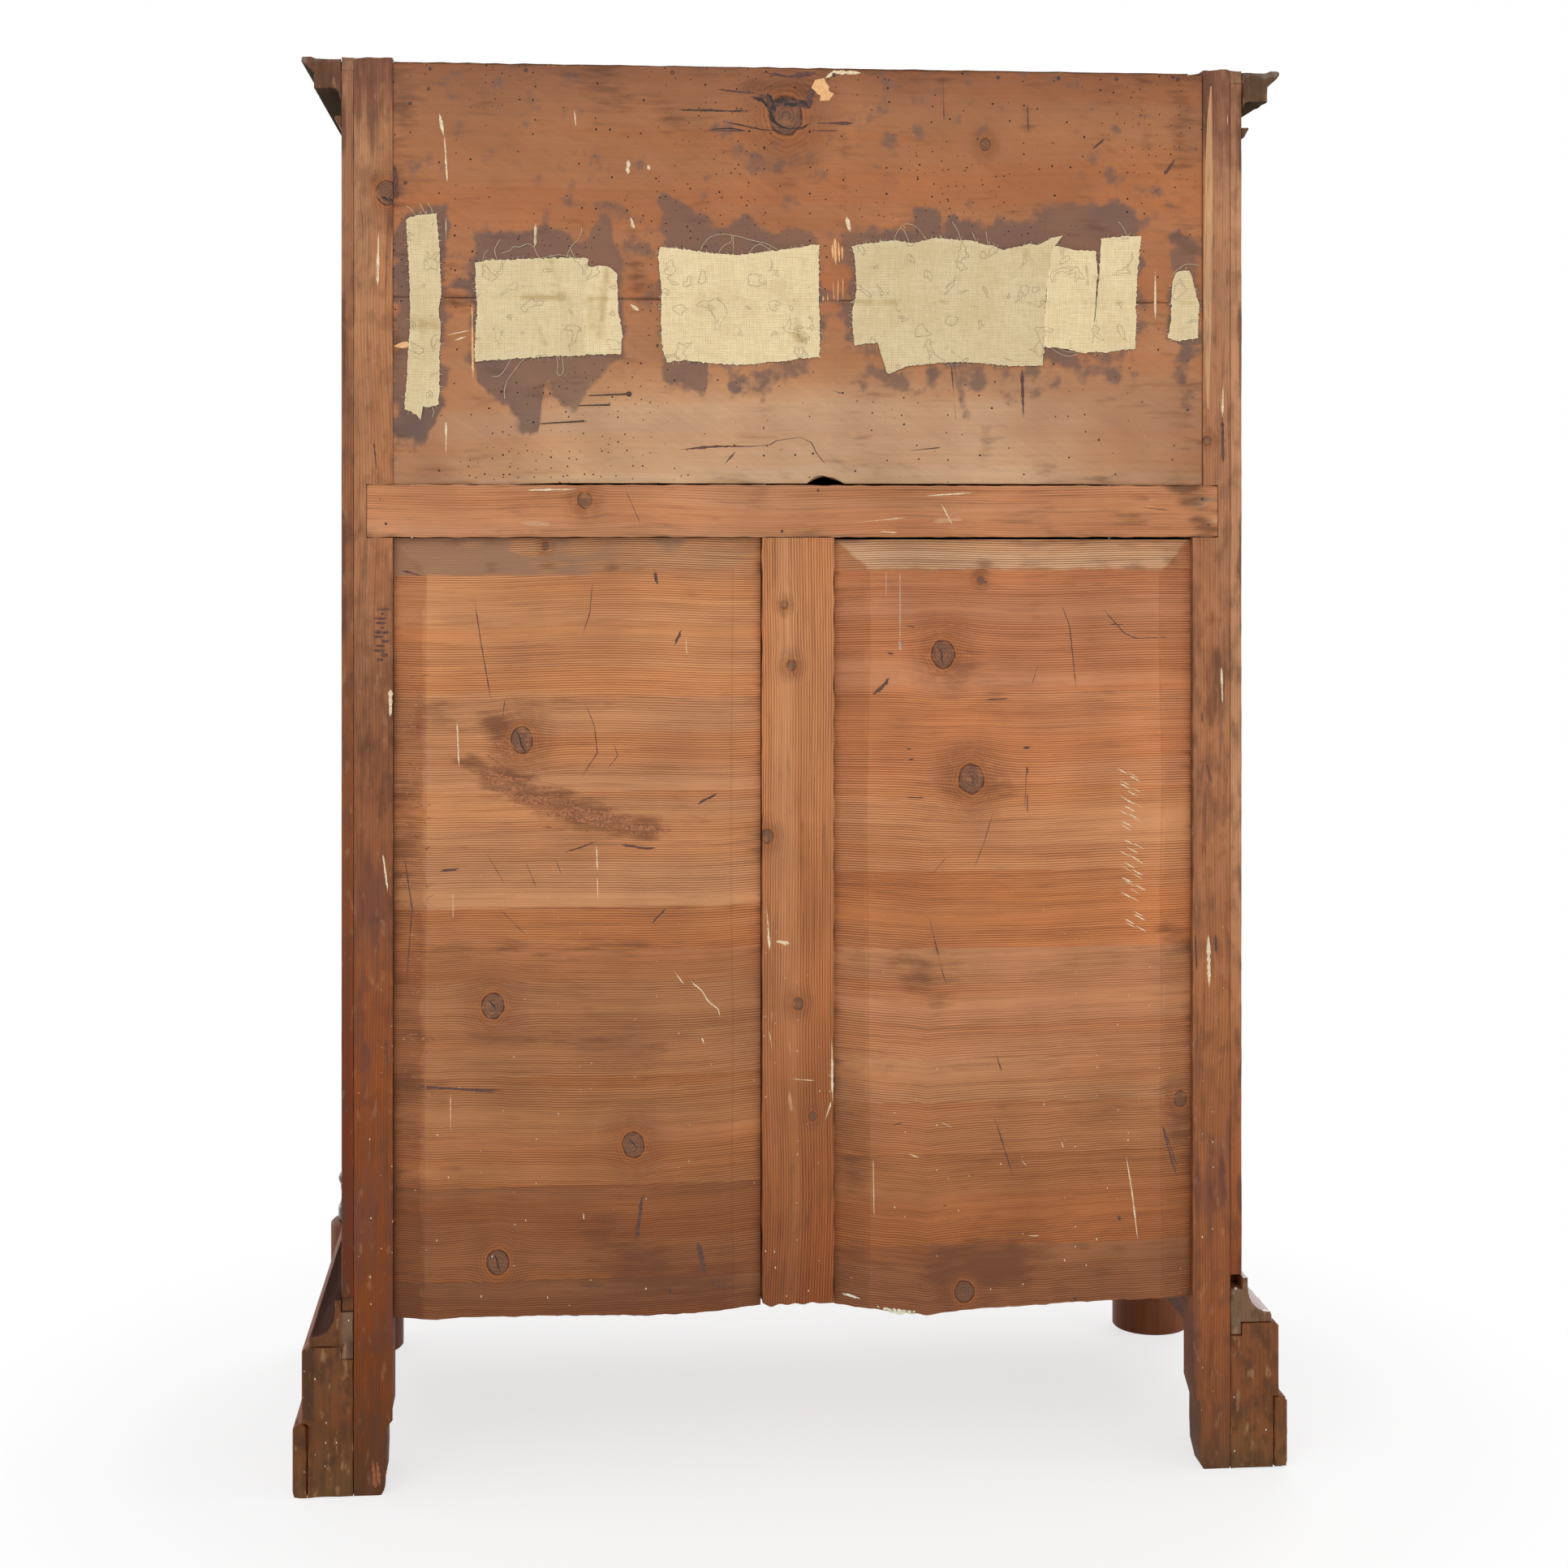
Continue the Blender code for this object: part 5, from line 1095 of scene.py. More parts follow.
LOOSE_THREADS = {
    "linen_1": (
        ((416, 103), (412, 97), (409, 90)), ((407, 103), (403, 99), (400, 90)),
        ((420, 88), (424, 97), (430, 99)), ((404, -118), (398, -124), (402, -131)),
    ),
    "linen_2": (
        ((328, 64), (334, 55), (334, 49), (331, 40)),
        ((326, 49), (317, 51), (314, 57), (307, 55), (303, 58), (294, 60), (291, 55)),
        ((289, 82), (290, 66), (291, 50), (283, 42)), ((239, 77), (240, 66), (252, 57), (257, 42)),
        ((285, 43), (270, 48), (255, 47), (243, 43)), ((252, 56), (248, 48), (246, 42)),
        ((316, -66), (323, -81), (332, -88), (337, -86)),
        ((300, -64), (314, -81), (325, -98), (323, -111)),
        ((267, -62), (264, -74), (267, -83), (261, -86), (258, -77), (261, -62)),
        ((347, 40), (346, 50), (341, 52)), ((346, 36), (340, 44), (334, 42)),
    ),
    "linen_3": (
        ((110, 50), (104, 66), (88, 73), (71, 71), (50, 65), (32, 62), (20, 53)),
        ((90, 48), (84, 60), (72, 63), (74, 71)), ((72, 71), (72, 46)),
        ((56, 48), (48, 63), (35, 59), (29, 52)), ((-25, -36), (-29, -40), (-28, -43)),
    ),
    "linen_4": (
        ((-106, 64), (-110, 79), (-118, 82), (-125, 62)),
        ((-118, 85), (-128, 87), (-140, 73), (-146, 64)), ((-172, 88), (-180, 79), (-182, 66)),
        ((-195, 76), (-200, 64)), ((-210, 78), (-213, 60)), ((-113, 80), (-117, 86), (-119, 80)),
        ((-282, -50), (-293, -59), (-308, -62), (-320, -54)), ((-288, -50), (-300, -57), (-312, -56)),
    ),
    "linen_5": (((-360, 90), (-366, 86), (-370, 72)),),
    "linen_6": (((-420, 29), (-428, 39), (-440, 45), (-452, 42)),),
}
# How many ends of yarn stick out at the top, the bottom, the left and the right.
FRINGES = {"linen_1": (9, 6, 14, 34), "linen_2": (22, 16, 22, 8), "linen_3": (26, 30, 24, 14),
           "linen_4": (50, 22, 26, 6), "linen_5": (8, 10, 10, 22), "linen_6": (5, 5, 12, 8)}


def linen(name, light, dark):
    """Old unbleached plain-woven linen, with thick and thin yarns and painted shade in its creases; brown
    glue, painted shade and grey dirt as stored.
    """
    made, tree, shader = finish(name, 0.95)
    where = here(tree)
    drift = noise(tree, where, 25.0, 2.0)
    yarns = []
    for axis, pitch, grow in (("X", 0.0016, (70.0, 1.0, 480.0)), ("Z", 0.0018, (480.0, 1.0, 70.0))):
        wander = maths(tree, "MULTIPLY", drift, 9.0)
        turns = times_plus(tree, number_of(tree, where, axis), 2.0 * math.pi / pitch, wander)
        slubs = noise(tree, stretched(tree, where, grow), 1.0, 2.0)
        yarns.append(times_plus(tree, maths(tree, "SINE", turns), 0.35, slubs))
    weave = maths(tree, "MAXIMUM", *yarns)
    cloud = noise(tree, where, 18.0, 5.0)
    depth = times_plus(tree, weave, -1.2, times_plus(tree, cloud, 0.3, 1.0))
    colour = mixed(tree, depth, light, dark)
    crumple = noise(tree, where, 42.0, 3.0, 0.6)
    shaded_crease = between(tree, maths(tree, "ABSOLUTE", maths(tree, "SUBTRACT", crumple, 0.62)), 0.014, 0.0)
    # Painted shade: the colour is darkened along thin crease lines.
    colour = scaled(tree, colour, times_plus(tree, shaded_crease, -0.12, 1.0))
    marks = kept(tree, "marks")
    soil_and_shade, grey, frayed = (number_of(tree, marks, axis) for axis in "XYZ")
    fine = noise(tree, where, 90.0, 4.0)
    # Brown is laid over the stored glue stains and, along the joint and the folds, as painted shade.
    soaked = times_plus(tree, fine, 0.8, maths(tree, "SUBTRACT", soil_and_shade, 0.4))
    colour = laid(tree, colour, GLUE_AND_SHADE_BROWN, between(tree, soaked, 0.1, 0.9), 0.6)
    fouled = times_plus(tree, cloud, 1.6, maths(tree, "SUBTRACT", grey, 0.8))
    colour = laid(tree, colour, LINEN_SOIL, between(tree, fouled, 0.0, 0.7), 0.3)
    colour = laid(tree, colour, LINEN_FRAY, frayed, 0.25)
    tree.links.new(colour, shader.inputs["Base Color"])
    shader.inputs["Sheen Weight"].default_value = 0.15
    fuzzy = times_plus(tree, noise(tree, where, 260.0, 4.0), 1.2, weave)
    fuzzy = times_plus(tree, shaded_crease, -1.6, times_plus(tree, crumple, 6.0, fuzzy))
    roughen(tree, shader, fuzzy, 0.9, 0.0006)
    return made


def along_edge(edge, share, by):
    """Where an edge runs, for shares of the way along it on one of its two coordinates."""
    way = (edge[:, by] - edge[0, by]) / (edge[-1, by] - edge[0, by])
    return np.interp(share, way, edge[:, 1 - by])


def cloth(name, strip, made, seed):
    """A ragged sheet of linen, glued down with small wrinkles and folds."""
    dice = np.random.default_rng(seed)
    edges = {side: np.array(strip[side]) / 1000.0 for side in ("left", "right", "top", "bottom")}
    wide = abs(edges["top"][-1, 0] - edges["top"][0, 0])
    tall = abs(edges["left"][-1, 1] - edges["left"][0, 1])
    across = np.linspace(0.0, 1.0, round(wide / LINEN_CELL) + 1)
    down = np.linspace(0.0, 1.0, round(tall / LINEN_CELL) + 1)
    u, v = np.meshgrid(across, down)
    left = along_edge(edges["left"], down, 1) + dice.normal(0.0, 0.0004, down.size)
    right = along_edge(edges["right"], down, 1) + dice.normal(0.0, 0.0004, down.size)
    top = along_edge(edges["top"], across, 0) + dice.normal(0.0, 0.0005, across.size)
    bottom = along_edge(edges["bottom"], across, 0) + dice.normal(0.0, 0.0005, across.size)
    x = left[:, None] * (1 - u) + right[:, None] * u
    z = top[None, :] * (1 - v) + bottom[None, :] * v
    proud = 0.00055 + strip.get("lift", 0.0) + 0.00034 * (1 + ripple(x, z, 0.013, seed))
    proud = proud + 0.00045 * (1 + ripple(x, z, 0.04, seed + 1)) - 0.0006 * np.exp(-(z / 0.0018) ** 2)
    # Along the boards' joint the linen is darkened: partly a glue stain, partly painted shade in the joint's
    # groove.
    soil_and_shade = 0.3 * np.exp(-(z / 0.002) ** 2) + 0.05 * ripple(x, z, 0.05, seed + 2)
    for height, *line in strip["folds"]:
        near = near_stroke(x, z, np.array(line) / 1000.0, 0.0035)
        proud = proud + 0.0016 * height * near
        # Painted shade: a dark line just above each fold's ridge.
        soil_and_shade = soil_and_shade + 0.25 * near_stroke(x, z - 0.0012, np.array(line) / 1000.0, 0.003)
    for reach, *line in strip["soil_and_shade"]:
        soil_and_shade = soil_and_shade + 0.6 * near_stroke(x, z, np.array(line) / 1000.0, 0.0016 * reach)
    near_edge = np.minimum(np.minimum(u, 1 - u) * wide, np.minimum(v, 1 - v) * tall)
    frayed = np.exp(-near_edge / 0.0016)
    proud = np.maximum(proud - 0.0003 * frayed, 0.0002)
    points = [np.stack([x, BACK_Y - BOARD_FACE + y, BOARD_JOINT + z], -1).reshape(-1, 3)
              for y in (proud + LINEN_THICK, proud)]
    index = np.arange(x.size).reshape(x.shape)
    faces = grid_faces(index, index + x.size, 1)
    piece = piece_of(name, np.concatenate(points).tolist(), faces, [made], smooth=60)
    grey = strip["grey"] + 0.2 * ripple(x, z, 0.05, seed + 3)
    marks = np.stack([unit(soil_and_shade), grey, frayed], -1)
    keep(piece, "marks", np.tile(marks.reshape(-1, 3), (2, 1)))
    cells = (x[:-1, :-1] - x[1:, 1:]) * (z[1:, :-1] - z[:-1, 1:])
    cells = cells - (x[1:, :-1] - x[:-1, 1:]) * (z[:-1, :-1] - z[1:, 1:])
    return piece, (float(np.ptp(x)), float(np.ptp(z))), float(np.abs(cells).sum() / 2.0)


def strands(name, paths, made, radius):
    """Loose threads, as thin curves that lie on the board."""
    curve = bpy.data.curves.new(name, "CURVE")
    curve.dimensions = "3D"
    curve.bevel_depth = radius
    curve.bevel_resolution = 0
    curve.use_fill_caps = True
    for path in paths:
        spline = curve.splines.new("NURBS")
        spline.points.add(len(path) - 1)
        for i, (x, z) in enumerate(path):
            lift = 0.0006 + 0.0006 * math.sin(i * 2.1 + len(path))
            spline.points[i].co = (x / 1000.0, BACK_Y - BOARD_FACE + lift, BOARD_JOINT + z / 1000.0, 1.0)
        spline.order_u = 3
        spline.use_endpoint_u = True
        spline.resolution_u = 4
    curve.materials.append(made)
    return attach(placed(name, curve), "carcase")


def fringe(strip, counts, seed):
    """Short ends of yarn that stick out of a piece's four edges."""
    dice = np.random.default_rng(seed)
    ends = []
    ways = {"top": (0, 1), "bottom": (0, -1), "left": (1, 0), "right": (-1, 0)}
    for (side, way), count in zip(ways.items(), counts):
        edge = np.array(strip[side], float)
        by = abs(way[0])
        for share in dice.uniform(0.03, 0.97, count):
            place = np.zeros(2)
            place[by] = edge[0, by] + share * (edge[-1, by] - edge[0, by])
            place[1 - by] = along_edge(edge, share, by)
            out = np.array(way) * dice.uniform(1.5, 4.5)
            lean = out[::-1] * dice.uniform(-0.6, 0.6)
            ends.append([(place + share * out + share ** 2 * lean).tolist() for share in (-0.3, 0.5, 1.0)])
    return ends


yarn = linen("linen_yarn", (0.7, 0.6, 0.4), (0.52, 0.43, 0.25))
cloths = {}
for seed, (name, strip) in enumerate(STRIPS.items(), start=81):
    shade = 1.0 - 0.13 * (name == "linen_4") - 0.09 * (name in ("linen_1", "linen_2", "linen_6"))
    light, dark = (tuple(shade * part for part in colour) for colour in (LINEN_LIGHT, LINEN_DARK))
    cloths[name] = cloth(name, strip, linen(name + "_weave", light, dark), seed)
for name, paths in LOOSE_THREADS.items():
    piece, flat, area = cloths[name]
    threads = strands(name + "_threads", paths, yarn, THREAD_RADIUS)
    hairs = strands(name + "_frayed", fringe(STRIPS[name], FRINGES[name], 90), yarn, YARN_RADIUS)
    laps = [cloths[name + "_lap"]] if name + "_lap" in cloths else []
    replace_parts(piece, "linen_patch_" + name[-1])
    for lap, lap_flat, lap_area in laps:
        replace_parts(lap, "linen_patch_" + name[-1])


# Nails: hand-made iron nails along the top edge of the boards and in the rail's laps. Three lie
# bent over and half sunk in the lower board, where they came through.
IRON = (0.055, 0.045, 0.042)
RUST = (0.13, 0.055, 0.03)
SHANK = (0.0005, 0.001)
BENT_HEAD = (0.0022, 0.0025)
BENT_BURR = (0.0032, 0.0024)
TOP_HEAD = (0.0028, 0.0018)
BACK_HEAD = (0.0026, 0.0016)
# Each bent nail's point and its head end, in millimetres across from the middle of the back and up
# from the joint, and whether its head shows.
FLAT_NAILS = (
    ((231, -107), (187, -105), True), ((243, -118), (208, -117), False), ((284, -138), (236, -135), False),
)
# The other nails' places in millimetres: across only along the top edge, else across and up.
TOP_NAILS = (139, -40, -224, -292, -358, -428, 300, 404)
BOARD_NAILS = ((426, 1521), (431, 1434), (406, 1537))
LAP_NAILS = ((459, 1087), (452, 1061), (-455, 1089), (-462, 1060), (18, 1053), (-22, 1098))

iron, tree, shader = finish("old_iron", 0.62, 0.65)
rust = between(tree, noise(tree, here(tree), 260.0, 4.0), 0.42, 0.62)
tree.links.new(mixed(tree, rust, IRON, RUST), shader.inputs["Base Color"])
roughen(tree, shader, noise(tree, here(tree), 500.0, 4.0), 0.5, 0.0004)


def rod(builder, start, end, radii, sides=12):
    """A round rod or cone between two points."""
    way = end - start
    place = way.to_track_quat("Z", "Y").to_matrix().to_4x4()
    place.translation = (start + end) / 2.0
    bmesh.ops.create_cone(builder, cap_ends=True, segments=sides, radius1=radii[0], radius2=radii[1],
                          depth=way.length, matrix=place)


builder = bmesh.new()
board_y = BACK_Y - BOARD_FACE
for (x0, z0), (x1, z1), head in FLAT_NAILS:
    start = Vector((x0 / 1000.0, board_y + 0.0002, BOARD_JOINT + z0 / 1000.0))
    end = Vector((x1 / 1000.0, board_y + 0.0004, BOARD_JOINT + z1 / 1000.0))
    rod(builder, start, end, SHANK, 10)
    if head:
        rod(builder, end, end + (end - start).normalized() * 0.0015, BENT_HEAD)
        rod(builder, end + Vector((0, -0.001, 0)), end + Vector((0, 0.0008, 0)), BENT_BURR)
for x in TOP_NAILS:
    place = Vector((x / 1000.0, board_y - 0.001, BOARD_TOP - 0.006))
    rod(builder, place, place + Vector((0, 0.0014, 0)), TOP_HEAD)
for group, depth in ((LAP_NAILS, 0.0016), (BOARD_NAILS, BOARD_FACE + 0.0009)):
    for x, z in group:
        place = Vector((x / 1000.0, BACK_Y - depth, z / 1000.0))
        rod(builder, place, place + Vector((0, 0.0013, 0)), BACK_HEAD)
mesh = bpy.data.meshes.new("back_nails")
made_smooth(builder, mesh, 40)
mesh.materials.append(iron)
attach(placed("back_nails", mesh), "carcase")


# Wear on the two panels: scratches, cracked knots, torn grain, marks and drips of paint. Each is a
# thin sliver that lies on the wood, with pointed ends, given by its width and its line, in
# millimetres across from the middle of the back and up from the floor.
SLIVER_PROUD = 0.00014
SLIVER_SUNK = -0.0003
SLIVER_STEP = 0.004


def sliver(points, faces, line, width, face_at, seed):
    """Adds one tapered stroke that follows the wood's face."""
    dice = np.random.default_rng(seed)
    line = np.array(line, float) / 1000.0
    way = np.concatenate([[0.0], np.cumsum(np.hypot(*np.diff(line, axis=0).T))])
    count = max(4, int(way[-1] / SLIVER_STEP))
    at = np.linspace(0.0, way[-1], count + 1)
    x, z = np.interp(at, way, line[:, 0]), np.interp(at, way, line[:, 1])
    slope_x, slope_z = np.gradient(x), np.gradient(z)
    length = np.hypot(slope_x, slope_z)
    side_x, side_z = -slope_z / length, slope_x / length
    share = at / way[-1]
    half = 0.0009 * width * np.clip(np.sin(np.pi * unit(share)) * 2.2, 0.04, 1.0)
    half = half * dice.uniform(0.6, 1.25, half.size)
    first = len(points)
    for i in range(count + 1):
        for shift, proud in ((-1.0, SLIVER_SUNK), (0.0, SLIVER_PROUD), (1.0, SLIVER_SUNK)):
            px, pz = x[i] + shift * half[i] * side_x[i], z[i] + shift * half[i] * side_z[i]
            points.append((px, face_at(px, pz) + proud, pz))
    for i in range(count):
        a, b = first + 3 * i, first + 3 * i + 3
        faces += [(a, a + 1, b + 1, b), (a + 1, a + 2, b + 2, b + 1), (a + 2, a, b, b + 2)]
    last = first + 3 * count
    faces += [(first, first + 2, first + 1), (last, last + 1, last + 2)]


def slivers(name, lines, made, face_at, seed):
    """A piece made of many strokes, each with its width and its points in millimetres."""
    points, faces = [], []
    for i, (width, *line) in enumerate(lines):
        sliver(points, faces, line, width, face_at, seed + i)
    return piece_of(name, points, faces, [made], smooth=20)


def wear_finish(name, colour, other):
    """The patchy colour of a scratch, a drip or a crack."""
    made, tree, shader = finish(name, 0.8)
    patchy = between(tree, noise(tree, here(tree), 400.0, 3.0), 0.35, 0.65)
    tree.links.new(mixed(tree, patchy, colour, other), shader.inputs["Base Color"])
    return made


def panel_face(x, z):
    """How far back a lower panel's face lies."""
    panel = PANELS["right" if x > 0 else "left"]
    sunk = panel["shape"](np.array([x, x]), np.array([z, PANEL_LOW]))[2][0]
    return BACK_Y - PANEL_FACE - float(sunk)


DARK_PANEL_MARKS = (
    (2.2, (355.7, 977), (349.5, 934), (338, 868)), (1.6, (227, 996), (230, 963), (238, 939)),
    (6.0, (158.4, 1011), (156.6, 994)), (7.0, (129, 943), (137, 928)), (1.6, (323, 868), (325.6, 847)),
    (1.8, (234.7, 864), (224.8, 838), (221.8, 809), (239.6, 782)),
    (1.4, (203, 818), (199.5, 805), (210, 792)), (1.2, (267.6, 693), (260.9, 675)),
    (3.5, (145.9, 637), (162, 621)), (2.6, (170.4, 323), (176, 302), (180.4, 273)),
    (6.0, (110, 266), (106, 235)), (3.0, (96, 225), (80, 215)),
    (3.6, (416.7, 444.5), (373, 442), (325, 439.7)), (1.0, (343, 700), (322, 664)),
    (1.0, (300, 690), (289, 662)), (1.0, (330, 640), (300, 610)),
    (2.5, (258, 700), (237, 706), (222, 712)), (4.5, (196, 708), (173, 704), (158, 703)),
    (2.2, (-295.6, 971), (-304.8, 947), (-312, 877)),
    (2.2, (-342.5, 966), (-366.5, 939), (-379, 933), (-417, 934)), (2.4, (-207.6, 865), (-236, 866)),
    (6.5, (-83, 872), (-92, 878), (-102, 889)), (1.2, (-256, 790), (-254, 744)),
    (1.8, (-119, 757.5), (-141, 756.4)), (1.4, (-218.6, 740), (-207.6, 704), (-196.7, 677)),
    (1.6, (-146.5, 623.6), (-153, 596), (-163, 556), (-166.6, 547)), (2.2, (-222, 469), (-228, 450)),
    (2.4, (-219.5, 401), (-228, 374), (-240.6, 333)), (2.6, (-214, 363), (-231, 364)),
    (2.6, (-411.7, 384.5), (-419, 365), (-428, 338)), (2.0, (-105.6, 393), (-116.5, 395)),
    (1.6, (-136.5, 227), (-136.5, 209)), (2.2, (-310, 198), (-312, 192)), (2.0, (-411, 229), (-411, 215)),
    (1.4, (-166, 690), (-150, 672)), (1.2, (-270, 905), (-262, 882)),
    (3.4, (420, 447), (376, 442), (332, 437)), (6.5, (173, 320), (175, 296), (179, 272)),
    (9.0, (110, 268), (107, 250), (104, 232)), (4.0, (98, 226), (82, 216)), (6.0, (142, 220), (142, 211)),
    (3.0, (241, 223), (215, 222)), (4.0, (-410, 388), (-416, 365), (-427, 329)),
    (4.0, (-260, 811), (-252, 811)), (3.6, (-257, 790), (-257, 782)), (2.6, (-257, 760), (-257, 738)),
    (3.0, (-121, 812), (-126, 810)), (3.0, (-123, 799), (-129, 799)), (4.5, (-100, 918), (-106, 916)),
    (2.4, (-119, 948), (-132, 946)), (5.0, (-208, 996), (-212, 996)), (6.0, (-361, 287), (-361, 281)),
    (3.0, (-162, 303), (-166, 301)), (3.0, (-350, 949), (-366, 948)), (5.0, (112, 752), (89, 763)),
    (5.0, (394, 681), (372, 683)), (3.0, (435, 1010), (414, 1004)),
    (2.4, (433, 700), (424, 640), (430, 560)),
)
PANEL_KNOT_CRACKS = (
    (3.6, (310, 834), (306, 825), (305, 818), (300, 810)), (2.6, (341, 539), (335, 533), (333, 528)),
    (2.4, (187, 384), (181, 377), (177, 371)), (3.0, (333, 260), (331, 250), (329, 241)),
    (2.8, (-156, 925), (-161, 917), (-160, 911), (-163, 903)), (2.8, (-192, 783), (-195, 777), (-196, 770)),
)
PALE_PANEL_MARKS = (
    (2.7, (375, 844), (373, 795)), (2.2, (222.6, 707), (221.8, 680)), (1.4, (221.8, 673), (221, 646)),
    (1.6, (124.4, 936), (123.5, 917)), (1.2, (379.5, 657), (379.5, 629)), (2.4, (136, 566.4), (127, 553)),
    (2.4, (119, 557), (113, 551), (107, 546), (99, 533), (88.5, 525), (86.7, 516)),
    (2.6, (106.5, 494), (104.7, 487)), (1.1, (382, 437), (382, 396)), (2.0, (236.8, 303), (236.8, 296)),
    (2.6, (-369, 353), (-375.7, 312), (-382, 259)), (1.6, (-83.8, 356), (-84.7, 291)),
    (1.8, (-123.4, 361), (-134.7, 356)), (1.6, (-295.6, 371), (-297.4, 364)),
    (1.8, (-257.8, 266.6), (-270, 266)), (1.2, (-160, 395), (-172, 389)), (1.2, (-250, 352), (-256, 344)),
)
SCUFFS = tuple(
    (1.9 + 0.8 * math.sin(3.0 * i), (-366 - 8 * math.sin(1.7 * i) - 0.15 * i, 800 - 4.2 * i),
     (-378 - 8 * math.sin(1.7 * i) - 0.15 * i, 793 - 4.2 * i))
    for i in range(46) if i % 19 > 2
)
GREY_DRIPS = (
    (2.0, (-113.8, 1014), (-113.8, 950), (-113.6, 927)), (4.0, (-113.8, 931), (-113.8, 920)),
    (1.8, (-98.3, 1011), (-98.3, 979)),
)
FOOT_PAINT = ((5.0, (-50, 206), (-69, 200)), (5.0, (-87.5, 192), (-112, 187), (-138, 185)))

# Fibres torn up along the torn grain, down the worn margin at the photo's left and by the knot.
TEARS = []
dice = np.random.default_rng(520)
for _ in range(210):
    share, off = dice.uniform(0.0, 1.0), dice.normal(0.0, 0.55)
    x, z = (1000.0 * np.interp(share, [0.0, 0.12, 0.45, 0.75, 1.0], way) for way in np.array(TORN_GRAIN).T)
    z += off * np.interp(share, [0.0, 0.35, 0.7, 1.0], [9.0, 17.0, 11.0, 4.0])
    long, fall = dice.uniform(10, 44), dice.uniform(0.0, 0.2)
    high, low = (x + 0.5 * long, z + 0.5 * fall * long), (x - 0.5 * long, z - 0.4 * fall * long)
    TEARS.append((dice.uniform(0.8, 2.6), high, (x, z), low))
for _ in range(90):
    x, z, long = dice.uniform(409, 438), 300 + 640 * dice.beta(2.2, 1.6), dice.uniform(4, 15)
    width = dice.uniform(0.8, 2.6)
    middle, low = (x - 0.5 * long, z + dice.normal(0, 1.5)), (x - long, z + dice.normal(0, 2.0))
    TEARS.append((width, (x, z), middle, low))
for _ in range(30):
    x, z, long = dice.uniform(318, 345), dice.uniform(775, 830), dice.uniform(5, 16)
    middle, low = (x - 0.6 * long, z - 0.3 * long), (x - long, z - 0.9 * long)
    TEARS.append((dice.uniform(0.8, 2.2), (x, z), middle, low))

dark_wear = wear_finish("dark_wear", (0.065, 0.028, 0.021), (0.125, 0.052, 0.034))
cracks = wear_finish("open_cracks", (0.014, 0.009, 0.007), (0.035, 0.018, 0.012))
pale_wear = wear_finish("pale_wear", (0.78, 0.66, 0.46), (0.58, 0.42, 0.25))
torn_wood = wear_finish("torn_wood", (0.2, 0.066, 0.028), (0.42, 0.165, 0.066))
grey_paint = wear_finish("grey_paint", (0.36, 0.27, 0.19), (0.44, 0.36, 0.26))
green_paint = wear_finish("green_paint", (0.6, 0.62, 0.48), (0.7, 0.68, 0.52))
slivers("panel_scratches", DARK_PANEL_MARKS, dark_wear, panel_face, 200)
slivers("knot_cracks", PANEL_KNOT_CRACKS, cracks, panel_face, 240)
slivers("panel_tears", TEARS, torn_wood, panel_face, 530)
slivers("panel_paint_marks", PALE_PANEL_MARKS + SCUFFS, pale_wear, panel_face, 260)
slivers("panel_drips", GREY_DRIPS, grey_paint, panel_face, 320)
slivers("panel_foot_paint", FOOT_PAINT, green_paint, panel_face, 330)


# Wear on the upper boards: the split round the knot, cracks and scratches, marks of pale paint, and
# raw splinters between the linen and along the top edge. Given as on the panels.
def board_face(x, z):
    """How far back the upper boards' face lies."""
    return BACK_Y - BOARD_FACE - 0.0001


BOARD_SPLITS = (
    (5.5, (53, 1534), (40, 1530), (31, 1520), (28, 1507), (18, 1500), (8, 1498), (-4, 1500),
     (-15, 1505)),
    (6.5, (26, 1530), (13, 1527), (-6, 1527), (-13, 1522)),
    (5.0, (34, 1538), (28, 1526), (26, 1516)), (4.0, (9, 1502), (0, 1497), (-10, 1501)),
    (2.8, (133, 1518), (90, 1517), (53, 1518)), (2.4, (96, 1497), (75, 1498), (59, 1496)),
    (2.4, (84, 1506), (40, 1497), (-15, 1494)),
)
DARK_BOARD_MARKS = (
    (2.4, (-171.5, 1237), (-174, 1205), (-176.6, 1175)), (2.2, (-251, 1234), (-252.5, 1179)),
    (1.8, (-257, 1529), (-258, 1498)), (3.0, (-162, 1559), (-163, 1510)), (2.6, (107, 1519), (58, 1516)),
    (2.6, (104, 1496), (54, 1495)), (2.4, (-18.6, 1505), (-62, 1505.5)), (2.4, (-7, 1496.6), (-45, 1497)),
    (4.5, (44.5, 1537), (33, 1532), (33, 1520), (27, 1515)),
    (4.0, (-6, 1527), (7.5, 1529), (25, 1524), (36, 1530)),
    (5.0, (21, 1528.6), (0, 1527), (-10, 1522), (-17, 1531)), (4.5, (-9, 1528), (-16, 1538), (-14, 1545)),
    (2.8, (131, 1143), (91, 1146.6), (51, 1146.7), (31, 1148.6), (24, 1153), (-2, 1157), (-15, 1151),
     (-20, 1140), (-30, 1128)),
    (2.0, (81, 1128), (69, 1141)), (2.2, (90, 1541), (60, 1538), (44, 1537)),
    (3.4, (35, 1560), (10, 1556), (-20, 1561)), (1.6, (240, 1338), (238, 1322)),
    (3.0, (-36, 1210), (-50, 1205)), (2.2, (-412, 1452), (-425, 1470)), (2.0, (-330, 1480), (-345, 1492)),
    (1.6, (-120, 1142), (-160, 1146)),
)
